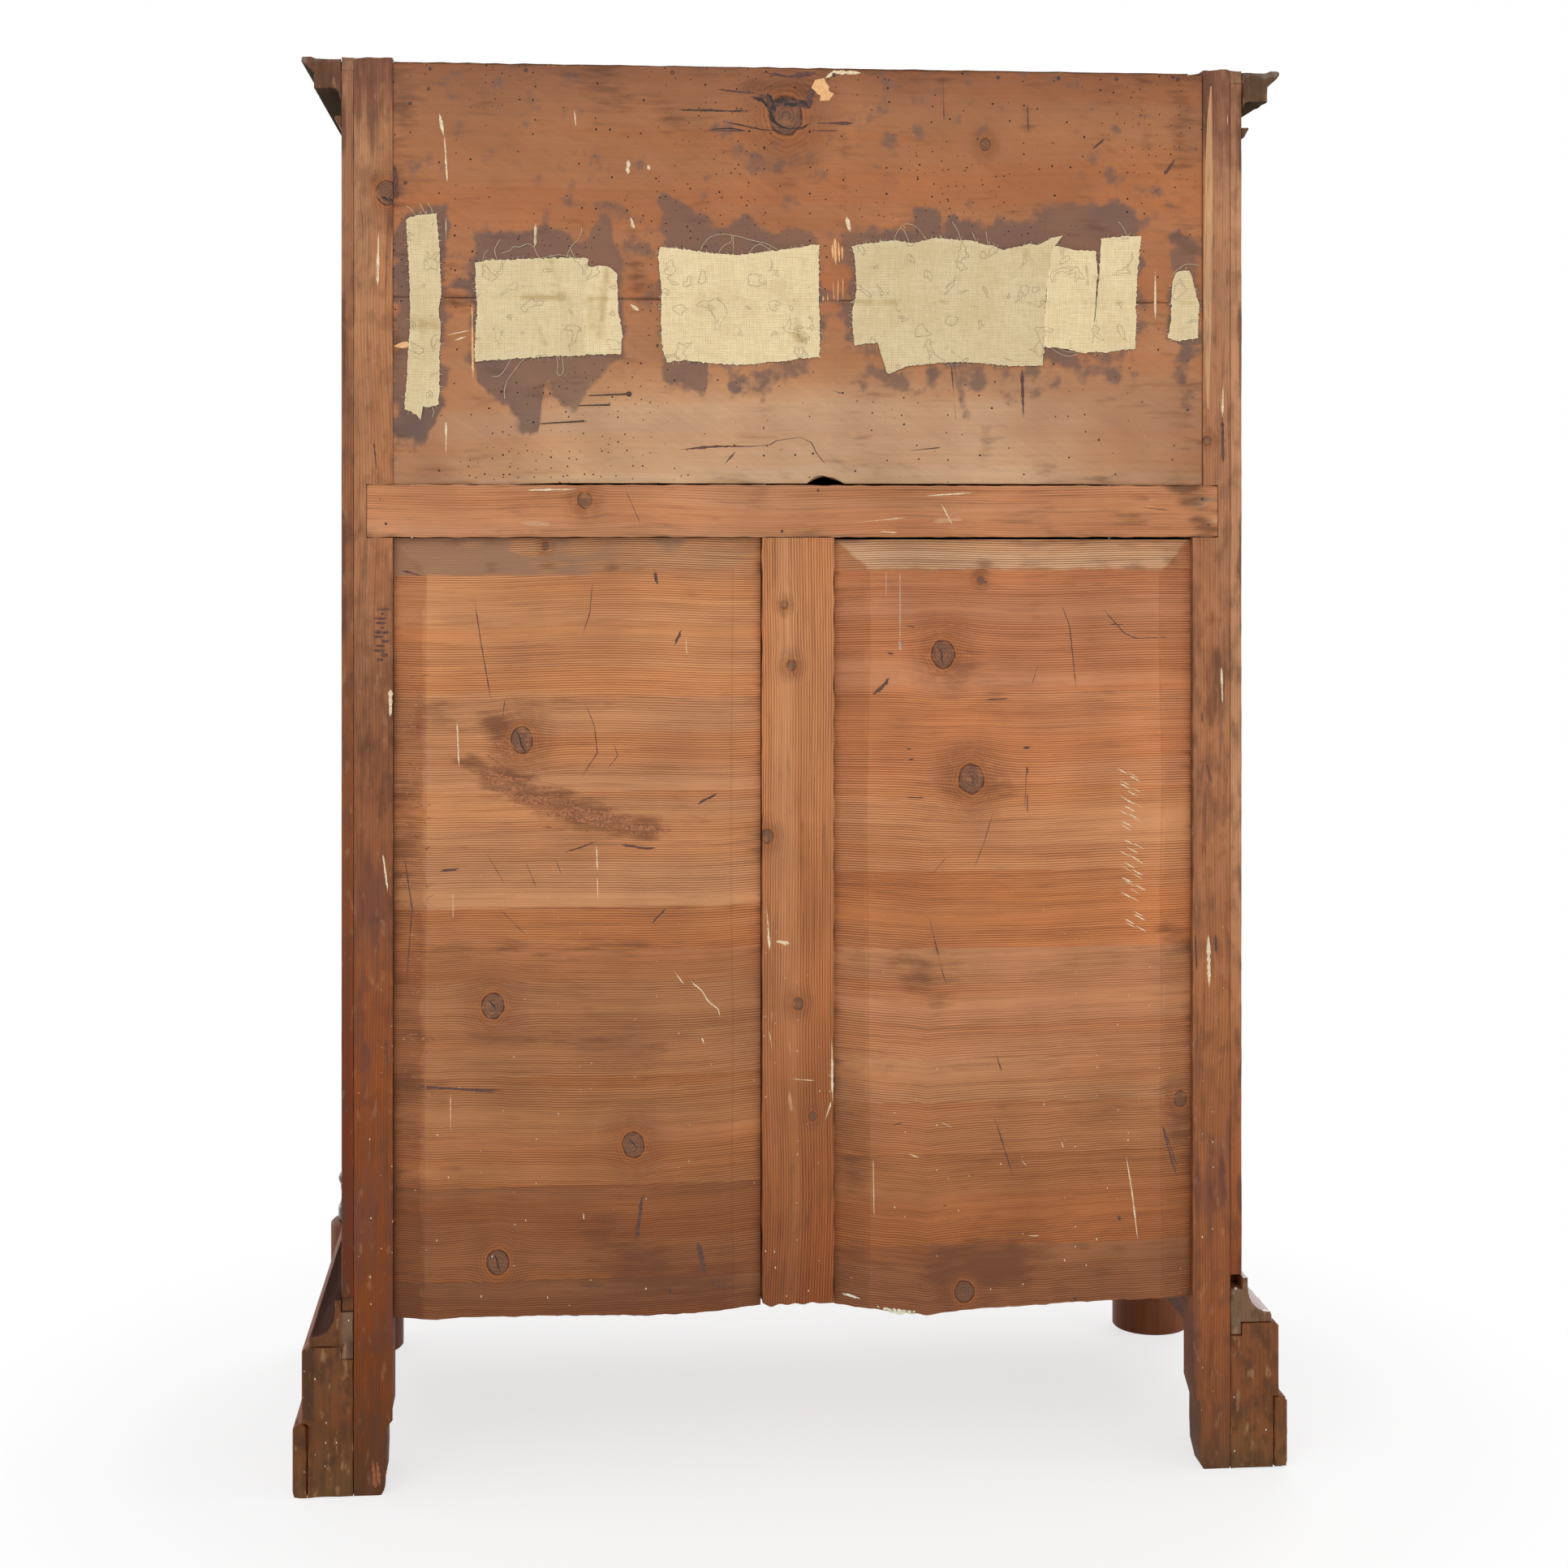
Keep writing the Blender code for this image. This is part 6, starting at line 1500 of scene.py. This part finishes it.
PALE_BOARD_MARKS = (
    (5.0, (393.6, 1510), (390, 1486)), (2.0, (388.7, 1486), (385.7, 1435)),
    (1.4, (387, 1397), (387, 1328)), (1.6, (387, 1173), (387, 1137)), (1.4, (246.8, 1516), (245.5, 1498)),
    (4.0, (187, 1462), (189, 1446)), (3.0, (165.6, 1457), (165.2, 1451)), (4.0, (185, 1399), (182, 1386)),
    (1.5, (289.5, 1390), (290, 1366)), (2.5, (-30, 1555), (-41, 1562), (-70, 1561.4)),
    (2.2, (-54, 1402), (-58, 1385)), (1.4, (-402, 1345), (-402, 1290)), (3.0, (385, 1268), (361, 1273)),
    (4.0, (378, 1262), (365, 1266)), (2.0, (186, 1303), (176, 1296)),
)
RAW_SPLINTERS = (
    (1.5, (-41, 1378), (-42, 1347)), (1.3, (-45, 1374), (-46, 1350)), (1.1, (-49, 1370), (-49.5, 1352)),
    (1.2, (-38, 1372), (-39, 1354)), (1.7, (-45, 1332), (-44, 1308)), (1.3, (-39, 1330), (-40, 1309)),
    (1.4, (-33, 1318), (-33, 1308)), (1.3, (-28, 1314), (-28, 1308)), (1.2, (-50, 1334), (-50, 1310)),
    (3.2, (444, 1255), (426, 1257.5), (414, 1260)), (2.6, (358.6, 1302), (358.2, 1260), (357.6, 1220)),
    (9.0, (-19, 1553), (-27, 1543), (-34, 1530)), (6.0, (-24, 1552), (-32, 1540)),
)

raw_wood = wear_finish("raw_wood", (0.8, 0.46, 0.22), (0.68, 0.36, 0.15))
slivers("board_splits", BOARD_SPLITS, cracks, board_face, 430)
slivers("board_cracks", DARK_BOARD_MARKS, dark_wear, board_face, 340)
slivers("board_paint_marks", PALE_BOARD_MARKS, pale_wear, board_face, 380)
slivers("board_splinters", RAW_SPLINTERS, raw_wood, board_face, 420)


# Wear on the stiles, the rail and the muntin: a row of short scores on the right stile, nicks, the
# crack in the stile's knot, marks of pale paint and a chipped foot. Given as on the panels.
def frame_face(x, z):
    """How far back the face of the stiles, the rail and the muntin lies."""
    return BACK_Y - 0.0005


STILE_SCORES = tuple(
    (2.2, (462 - 5 * math.sin(2.0 * i), 968 - 5 * i),
     (440.5 + 9 * abs(math.sin(1.3 * i)) + 5, 967.4 - 5 * i))
    for i in range(12)
)
DARK_FRAME_MARKS = (
    (1.6, (7, 900), (2, 890)), (2.2, (443, 1453), (441, 1416)), (3.0, (452, 1418), (445, 1410)),
    (1.6, (-460, 792), (-466, 770)), (2.0, (-455, 850), (-455, 838)), (1.8, (-470, 600), (-471, 580)),
    (2.4, (190, 1097), (175, 1062)), (2.4, (-310, 1096), (-325, 1090)), (2.0, (-70, 1096), (-90, 1092)),
    (3.0, (-380, 1080), (-420, 1076)), (2.4, (-350, 1062), (-395, 1059)), (1.6, (-447, 600), (-449, 560)),
    (2.0, (452, 500), (450, 470)), (1.6, (465, 1150), (462, 1120)), (2.0, (-478, 1180), (-479, 1130)),
)
STILE_KNOT_CRACK = ((4.5, (457, 1419), (450, 1414), (444, 1414)),)
PALE_FRAME_MARKS = (
    (1.6, (10, 489), (6, 452)), (1.6, (8, 447), (-18, 444.5)), (1.6, (-36.7, 526), (-38, 421)),
    (1.8, (-37, 421), (-29.5, 400)), (1.6, (32, 500), (28, 470)), (3.6, (35, 640), (32, 590)),
    (4.0, (25, 600), (10, 596)), (1.6, (460, 1380), (461, 1320)), (3.0, (447, 880), (448, 850)),
    (3.0, (455, 700), (450, 660)), (2.0, (470, 300), (469, 280)), (2.4, (-462, 600), (-463, 540)),
    (2.0, (-480, 1270), (-478, 1180)), (1.4, (-484, 1522), (-484, 1508)),
    (2.0, (-200, 1096), (-140, 1092)), (1.6, (-120, 1068), (-60, 1062)), (2.0, (-90, 1053), (-110, 1051)),
    (2.4, (-160, 1083), (-172, 1060)), (2.0, (300, 1098), (240, 1099)), (1.6, (-477, 900), (-478, 860)),
)
FOOT_CHIP = ((11.0, (466, 40), (464, 9)), (9.0, (461, 37), (460, 12)))

chip_wood = wear_finish("chip_wood", (0.3, 0.1, 0.028), (0.22, 0.07, 0.022))
slivers("stile_knot_crack", STILE_KNOT_CRACK, cracks, frame_face, 250)
slivers("foot_chip", FOOT_CHIP, chip_wood, frame_face, 440)
slivers("frame_nicks", STILE_SCORES + DARK_FRAME_MARKS, dark_wear, frame_face, 450)
slivers("frame_paint_marks", PALE_FRAME_MARKS, pale_wear, frame_face, 490)


# The sides: a wide pine board on each, veneered outside with its grain upright. Its back edge shows
# bare beside the stile, dark with old stain, with patches of dark paint on its outer arris.
VENEER_LIGHT = (0.22, 0.07, 0.026)
VENEER_DARK = (0.105, 0.03, 0.013)
EDGE_STAIN = (0.12, 0.045, 0.034)
# The tones of each side board's back edge, upward.
EDGE_TONES = {
    "right": (
        (0.0, (0.2, 0.11, 0.045)), (0.15, (0.25, 0.11, 0.05)), (0.45, (0.36, 0.17, 0.08)),
        (0.8, (0.49, 0.36, 0.28)), (1.05, (0.6, 0.55, 0.56)), (1.58, (0.74, 0.76, 0.86)),
    ),
    "left": (
        (0.0, (0.46, 0.28, 0.14)), (0.2, (0.57, 0.32, 0.15)), (0.5, (0.86, 0.76, 0.68)),
        (0.8, (1.18, 1.3, 1.45)), (1.15, (1.12, 1.2, 1.32)), (1.42, (1.02, 1.12, 1.26)),
        (1.5, (0.74, 0.76, 0.9)), (1.58, (0.7, 0.72, 0.85)),
    ),
}


def veneer(name, lengthwise, light=VENEER_LIGHT, dark=VENEER_DARK, figure=0.4, frame_opening=None,
           rough=0.38, gloss=0.22):
    """Polished figured veneer, with its grain along one axis, or turned round a frame's opening."""
    made, tree, shader = finish(name, rough)
    where = here(tree)
    squeeze = {"X": (3.0, 60.0, 60.0), "Y": (60.0, 3.0, 60.0), "Z": (60.0, 60.0, 3.0)}
    grain = stretched(tree, where, squeeze[lengthwise])
    if frame_opening:
        low, high = frame_opening
        height = number_of(tree, where, "Z")
        middle = maths(tree, "ABSOLUTE", maths(tree, "SUBTRACT", height, (low + high) / 2.0))
        rail = maths(tree, "GREATER_THAN", middle, (high - low) / 2.0)
        level = stretched(tree, where, squeeze["X"])
        grain = node(tree, "Mix", {"Factor": rail, 4: grain, 5: level}, out=1, data_type="VECTOR")
    flame = noise(tree, stretched(tree, where, (5.0, 5.0, 2.0)), 1.0, 3.0, 1.2)
    lines = noise(tree, grain, 1.0, 4.0, 0.4)
    pores = noise(tree, grain, 9.0, 3.0)
    depth = times_plus(tree, flame, figure * 2.0, maths(tree, "SUBTRACT", lines, figure))
    colour = mixed(tree, between(tree, depth, 0.1, 0.9), light, dark)
    colour = scaled(tree, colour, times_plus(tree, pores, 0.4, 0.8))
    tree.links.new(colour, shader.inputs["Base Color"])
    dull = noise(tree, where, 12.0, 4.0)
    tree.links.new(times_plus(tree, dull, 0.25, rough - 0.1), shader.inputs["Roughness"])
    shader.inputs["Specular IOR Level"].default_value = gloss
    shader.inputs["Coat Weight"].default_value = 0.4 * gloss
    shader.inputs["Coat Roughness"].default_value = 0.2
    roughen(tree, shader, pores, 0.12, 0.0003)
    return made


def worn(source, name, outside, core, slot, cell=0.006, rub=0.0008, near=0.09, dirt_by=None, grey_by=None):
    """A closer copy of a CAD node: cut finely near the back, with rubbed arrises and a bare rear end."""
    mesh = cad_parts[source].data.copy()
    mesh.name = name
    builder = bmesh.new()
    builder.from_mesh(mesh)
    bmesh.ops.remove_doubles(builder, verts=builder.verts, dist=1e-5)
    bmesh.ops.dissolve_limit(builder, angle_limit=math.radians(1.0), verts=builder.verts, edges=builder.edges)
    low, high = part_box(source)
    for axis in range(3):
        start = max(low[axis], high[axis] - near) if axis == 1 else low[axis]
        step = max(cell, (high[axis] - start) / 110.0)
        for at in np.arange(start + step / 2.0, high[axis] - 1e-4, step):
            middle, normal = [0.0, 0.0, 0.0], [0.0, 0.0, 0.0]
            middle[axis], normal[axis] = float(at), 1.0
            bmesh.ops.bisect_plane(builder, geom=[*builder.verts, *builder.edges, *builder.faces], dist=1e-6,
                                   plane_co=middle, plane_no=normal)
    builder.normal_update()
    moves = []
    for vertex in builder.verts:
        sharp = [edge for edge in vertex.link_edges if edge.is_manifold and edge.calc_face_angle() > 0.5]
        if sharp and vertex.co.y > high.y - near:
            amount = rub * (1.0 + 0.7 * float(ripple(vertex.co.x + vertex.co.y, vertex.co.z, 0.03, 55)))
            moves.append((vertex, vertex.normal * max(0.0, amount)))
    for vertex, move in moves:
        vertex.co -= move
    for face in builder.faces:
        face.material_index = 1 if face.normal.y > 0.6 and face.calc_center_median().y > high.y - near else 0
    mesh.materials.clear()
    mesh.materials.append(outside)
    mesh.materials.append(core)
    made_smooth(builder, mesh, 28)
    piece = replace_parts(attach(placed(name, mesh), "carcase"), source)
    at = np.empty(len(mesh.vertices) * 3, np.float32)
    mesh.vertices.foreach_get("co", at)
    x, _, z = at.reshape(-1, 3).T
    keep(piece, "grain", np.stack([z, x, 0 * x], -1))
    dirty = 0.22 + 0.3 * ripple(x * 1.6, z, 0.06, 56) + (dirt_by(x, z) if dirt_by else 0.0)
    greyed = 0.1 + 0.22 * ripple(x * 2, z * 0.7, 0.06, 58) + (grey_by(x, z) if grey_by else 0.0)
    rubbed = 0.02 + 0.26 * ripple(x * 3, z * 1.2, 0.04, 57)
    keep(piece, "marks", unit(np.stack([dirty, greyed, rubbed], -1)))
    return piece


def outer_arris(x, z):
    """Old dark paint in patches along the outermost corner of the back."""
    outermost = 0.9 * unit((np.abs(x) - 0.4935) / 0.004)
    return outermost * unit(0.2 + ripple(z, 0, 0.12, 59)) - 0.12


side_veneer = veneer("side_veneer", "Z", rough=0.5, gloss=0.12)
for word in ("left", "right"):
    edge_pine = pine(
        "edge_pine_" + word, light=STILE_LIGHT, dark=STILE_DARK, pitch=0.0033, tones=EDGE_TONES[word],
        stain=EDGE_STAIN, stain_edge=0.5, stain_grow=(7.0, 75.0, 9.0), streaks=0.34, contrast=0.45,
        grime=0.3,
    )
    worn("side_board_" + word, "side_" + word, side_veneer, edge_pine, "veneer", cell=0.004, rub=0.0004,
         near=0.02, dirt_by=outer_arris)


# The plinth's sides: tall pine cores, veneered outside along their length, with a thin facing at the
# outer edge and a strip nailed to each back foot. Their bare rear ends are dirty and rubbed.
CORE_LIGHT = (0.215, 0.078, 0.026)
CORE_DARK = (0.085, 0.028, 0.01)
CORE_TONES = (
    (0.0, (0.86, 1.11, 1.15)), (0.035, (0.86, 0.95, 0.9)), (0.08, (0.9, 0.85, 0.72)),
    (0.13, (1.0, 1.0, 1.0)),
)
CORE_DIRT = (0.055, 0.026, 0.012)
CORE_GREY = (0.15, 0.1, 0.055)


def core_wood(name, factor, light=CORE_LIGHT, dark=CORE_DARK, grey=CORE_GREY):
    """Old bare core wood, in a tone of its own."""
    light, dark = (tuple(part * factor for part in colour) for colour in (light, dark))
    return pine(
        name, light=light, dark=dark, pitch=0.005, contrast=0.15, tones=CORE_TONES, stain=grey,
        dirt=CORE_DIRT, streaks=0.25, grime=0.55, stain_grow=(9.0, 80.0, 9.0), stain_edge=0.5, specks=0.14,
    )


def facing(x, z):
    """A dark strip of facing along the outer edge of the right plinth's end."""
    return 1.0 * unit((x - 0.5305) / 0.0015) * (z > 0.085)


long_veneer = veneer("long_veneer", "Y", rough=0.55, gloss=0.06)
core_woods = {"left": core_wood("core_wood_left", 1.06), "right": core_wood("core_wood_right", 0.8)}
for word, core in core_woods.items():
    worn("plinth_" + word, "plinth_side_" + word, long_veneer, core, "base_pine", rub=0.0012, dirt_by=facing)
    worn("base_strip_" + word, "strip_" + word, long_veneer, core, "base_pine", cell=0.004, rub=0.0018)


# The coves: hollow mouldings along the top of the plinth's sides, veneered and tongued into it. At
# the rear their grey end grain shows, and the right one's open socket has a floor of core wood.
COVE_LIGHT = (0.21, 0.118, 0.07)
COVE_DARK = (0.12, 0.064, 0.038)
# Painted shade: the two colours of the right cove's veneer, a darker copy without gloss.
SHADED_COVE_LIGHT = (0.085, 0.043, 0.033)
SHADED_COVE_DARK = (0.045, 0.022, 0.018)
SOCKET_COLUMNS = (0.4876, 0.4996)
SOCKET_ROWS = (0.199, 0.217)


def tongue(x, z):
    """Grey end grain on the tongue of the cove."""
    return 0.8 * (np.abs(x) < 0.5005) * (z < 0.3)


def end_shape(x, z):
    """The broken end of a board: flush below, uneven on top and on its face."""
    uneven = 0.0006 * (1 + ripple(x, 0, 0.01, 61)) * (z > 1.569)
    return x, z - uneven, 0.0004 + 0.0004 * (1 + ripple(x, z, 0.01, 62))


def end_marks(x, z):
    """Dirt in the end grain."""
    return 0.25 + 0.3 * ripple(x, z, 0.02, 63), 0 * x + 0.3, 0.05 + 0.1 * ripple(x, z, 0.02, 64)


# The right cove's veneer is painted shade: darker than the left one's and without its gloss.
cove_veneers = {
    "left": veneer("glossy_veneer", "Y", rough=0.25, gloss=0.8),
    "right": veneer("shaded_cove_veneer", "Y", light=SHADED_COVE_LIGHT, dark=SHADED_COVE_DARK, rough=0.8, gloss=0.0),
}
cove_woods = {
    "left": core_wood("cove_wood_left", 0.92, COVE_LIGHT, COVE_DARK),
    "right": core_wood("cove_wood_right", 0.64, grey=(0.175, 0.102, 0.062)),
}
for word in ("left", "right"):
    worn("cove_" + word, "cove_side_" + word, cove_veneers[word], cove_woods[word], "base_pine",
         grey_by=tongue)
plank(
    "cove_socket_right", places(SOCKET_COLUMNS, 0.002), places(SOCKET_ROWS, 0.002), 0.003, 0.02,
    end_shape, end_marks, [core_woods["right"]], upright=True,
)


# The cornice's side returns, with a dusty lip, and the small neck mouldings under them: veneered core
# wood that shows bare at its rear end. Painted shade: the cornice's underside takes a dull, dark veneer.
# Painted shade: the dull, dark colours of the cornice's underside.
SHADED_SOFFIT_LIGHT = (0.085, 0.06, 0.038)
SHADED_SOFFIT_DARK = (0.05, 0.035, 0.022)


def dusty_lip(x, z):
    """Grey dust on the lip of the cornice."""
    return 0.45 * unit((z - 1.56) / 0.003)


shaded_soffit_veneer = veneer("shaded_soffit_veneer", "Y", light=SHADED_SOFFIT_LIGHT, dark=SHADED_SOFFIT_DARK, rough=0.8, gloss=0.0)
cornice_woods = {
    "left": core_wood("cornice_wood_left", 0.66, (0.17, 0.088, 0.045), (0.075, 0.036, 0.02),
                      (0.2, 0.15, 0.11)),
    "right": core_wood("cornice_wood_right", 0.85, (0.17, 0.068, 0.036), (0.07, 0.026, 0.014),
                       (0.2, 0.14, 0.11)),
}
for word, core in cornice_woods.items():
    cornice = worn("cornice_" + word, "cornice_side_" + word, long_veneer, core, "veneer", cell=0.004,
                   grey_by=dusty_lip)
    # Painted shade: the cornice's downward faces take the dark soffit veneer.
    cornice.data.materials.append(shaded_soffit_veneer)
    for face in cornice.data.polygons:
        if face.normal.z < -0.6:
            face.material_index = 2
    worn("neck_moulding_" + word, "neck_side_" + word, long_veneer, core, "veneer", cell=0.003, rub=0.0005)


# The top: a veneered board whose back edge shows over the upper boards. Its broken ends show over the
# two side boards, in the core wood's end grain.
END_ROWS = (1.5557, 1.57)

front_veneer = veneer("front_veneer", "X")
worn("top_board", "top", front_veneer, core_woods["right"], "veneer", cell=0.015, rub=0.0008, near=0.03)
top_end_wood = core_wood(
    "top_end_wood", 0.95, (0.29, 0.145, 0.082), (0.14, 0.066, 0.036), (0.2, 0.12, 0.08),
)
top_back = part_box("top_board")[1].y
for word, side in (("left", -1), ("right", 1)):
    columns = places(sorted((side * (STILE_OUT + 0.0003), side * 0.4997)), 0.002)
    plank("top_end_" + word, columns, places(END_ROWS, 0.0023), 0.0, BACK_Y - top_back, end_shape,
          end_marks, [top_end_wood], upright=True)


# The front: veneered posts, rails, frieze drawer and doors between two turned columns on ebonised
# bases, with the plinth, cove and cornice carried round.
def dress(made, *names):
    """Gives CAD nodes a material."""
    for name in names:
        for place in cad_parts[name].material_slots:
            place.material = made


opening_low, opening_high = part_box("door_panel_left")
door_veneer = veneer("door_veneer", "Z", frame_opening=(opening_low.z, opening_high.z))
panel_veneer = veneer("panel_veneer", "Z", light=(0.25, 0.082, 0.029), figure=0.62, rough=0.34)
dress(side_veneer, "front_post_left", "front_post_right", "column_left", "column_right",
      "corner_block_left", "corner_block_right")
dress(front_veneer, "drawer_rail", "frieze_rail", "plinth_front", "cove_front", "cornice_front",
      "drawer_front")
dress(door_veneer, "door_frame_left", "door_frame_right")
dress(panel_veneer, "door_panel_left", "door_panel_right")

ebonised, tree, shader = finish("ebonised_wood", 0.22)
rubbed = between(tree, noise(tree, here(tree), 30.0, 5.0), 0.58, 0.75)
ebony = mixed(tree, rubbed, (0.012, 0.01, 0.009), (0.05, 0.03, 0.02))
tree.links.new(ebony, shader.inputs["Base Color"])
tree.links.new(times_plus(tree, rubbed, 0.25, 0.2), shader.inputs["Roughness"])
shader.inputs["Specular IOR Level"].default_value = 0.3
dress(ebonised, "column_base_left", "column_base_right")


# The inside: planed pine shelves, floors and drawer linings, housed in the sides or nailed. They were
# never stained, and are a little uneven in tone.
def lining(name, lengthwise):
    """Plain planed pine with its grain along one axis."""
    made, tree, shader = finish(name, 0.7)
    where = here(tree)
    squeeze = {"X": (2.0, 45.0, 45.0), "Y": (45.0, 2.0, 45.0)}[lengthwise]
    grain = stretched(tree, where, squeeze)
    lines = noise(tree, grain, 1.0, 3.0, 0.6)
    fibre = noise(tree, grain, 9.0, 3.0)
    depth = times_plus(tree, fibre, 0.35, between(tree, lines, 0.35, 0.7))
    colour = mixed(tree, depth, (0.5, 0.27, 0.12), (0.34, 0.155, 0.065))
    uneven = times_plus(tree, noise(tree, where, 5.0, 3.0), 0.5, 0.7)
    tree.links.new(scaled(tree, colour, uneven), shader.inputs["Base Color"])
    roughen(tree, shader, fibre, 0.2, 0.0004)
    return made


dress(lining("lining_pine", "X"), "dust_board", "shelf_upper", "shelf_lower", "bottom_board",
      "drawer_back", "drawer_bottom")
dress(lining("lining_pine_deep", "Y"), "drawer_side_left", "drawer_side_right")


# The lock: an iron lock case let into the right door's edge, with its bolt, a brass key and a
# brass escutcheon round the keyhole. The doors hang on iron pins, top and bottom.
KEY_HEIGHT = 0.775
BRASS = (0.62, 0.4, 0.16)
TARNISH = (0.22, 0.12, 0.05)
PLATE_WIDE = 0.011
PLATE_TALL = 0.02
PLATE_THICK = 0.0012
HOLE_ROUND = 0.0036
HOLE_SLOT = 0.0018
HOLE_FOOT = 0.009
POINTS = 48

dress(iron, "lock_case", "lock_bolt", "door_pin_left_low", "door_pin_left_high", "door_pin_right_low",
      "door_pin_right_high")
brass, tree, shader = finish("aged_brass", 0.32, 1.0)
tarnish = between(tree, noise(tree, here(tree), 120.0, 5.0), 0.45, 0.7)
tree.links.new(mixed(tree, tarnish, BRASS, TARNISH), shader.inputs["Base Color"])
tree.links.new(times_plus(tree, tarnish, 0.3, 0.25), shader.inputs["Roughness"])
dress(brass, "key")

key_low, key_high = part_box("key")
key_x = (key_low.x + key_high.x) / 2.0
door_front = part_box("door_frame_right")[0].y
outline, hole = [], []
for i in range(POINTS):
    turn = 2.0 * math.pi * i / POINTS
    outline.append((PLATE_WIDE * math.sin(turn), PLATE_TALL * math.cos(turn)))
    x, z = HOLE_ROUND * math.sin(turn), HOLE_ROUND * math.cos(turn)
    if z < -0.75 * HOLE_ROUND:
        z = -HOLE_FOOT if abs(x) < 0.5 * HOLE_ROUND else z
        x = math.copysign(HOLE_SLOT, x)
    hole.append((x, z))
rounded = [(0.93 * x, 0.96 * z) for x, z in outline]
loops = [(outline, 0.0), (outline, -0.6 * PLATE_THICK), (rounded, -PLATE_THICK),
         (hole, -PLATE_THICK), (hole, 0.0)]
points = [(key_x + x, door_front + y, KEY_HEIGHT + z) for loop, y in loops for x, z in loop]
faces = []
for ring in range(len(loops)):
    a, b = ring * POINTS, (ring + 1) % len(loops) * POINTS
    faces += [(a + i, a + (i + 1) % POINTS, b + (i + 1) % POINTS, b + i) for i in range(POINTS)]
piece_of("escutcheon", points, faces, [brass], body="door_right")
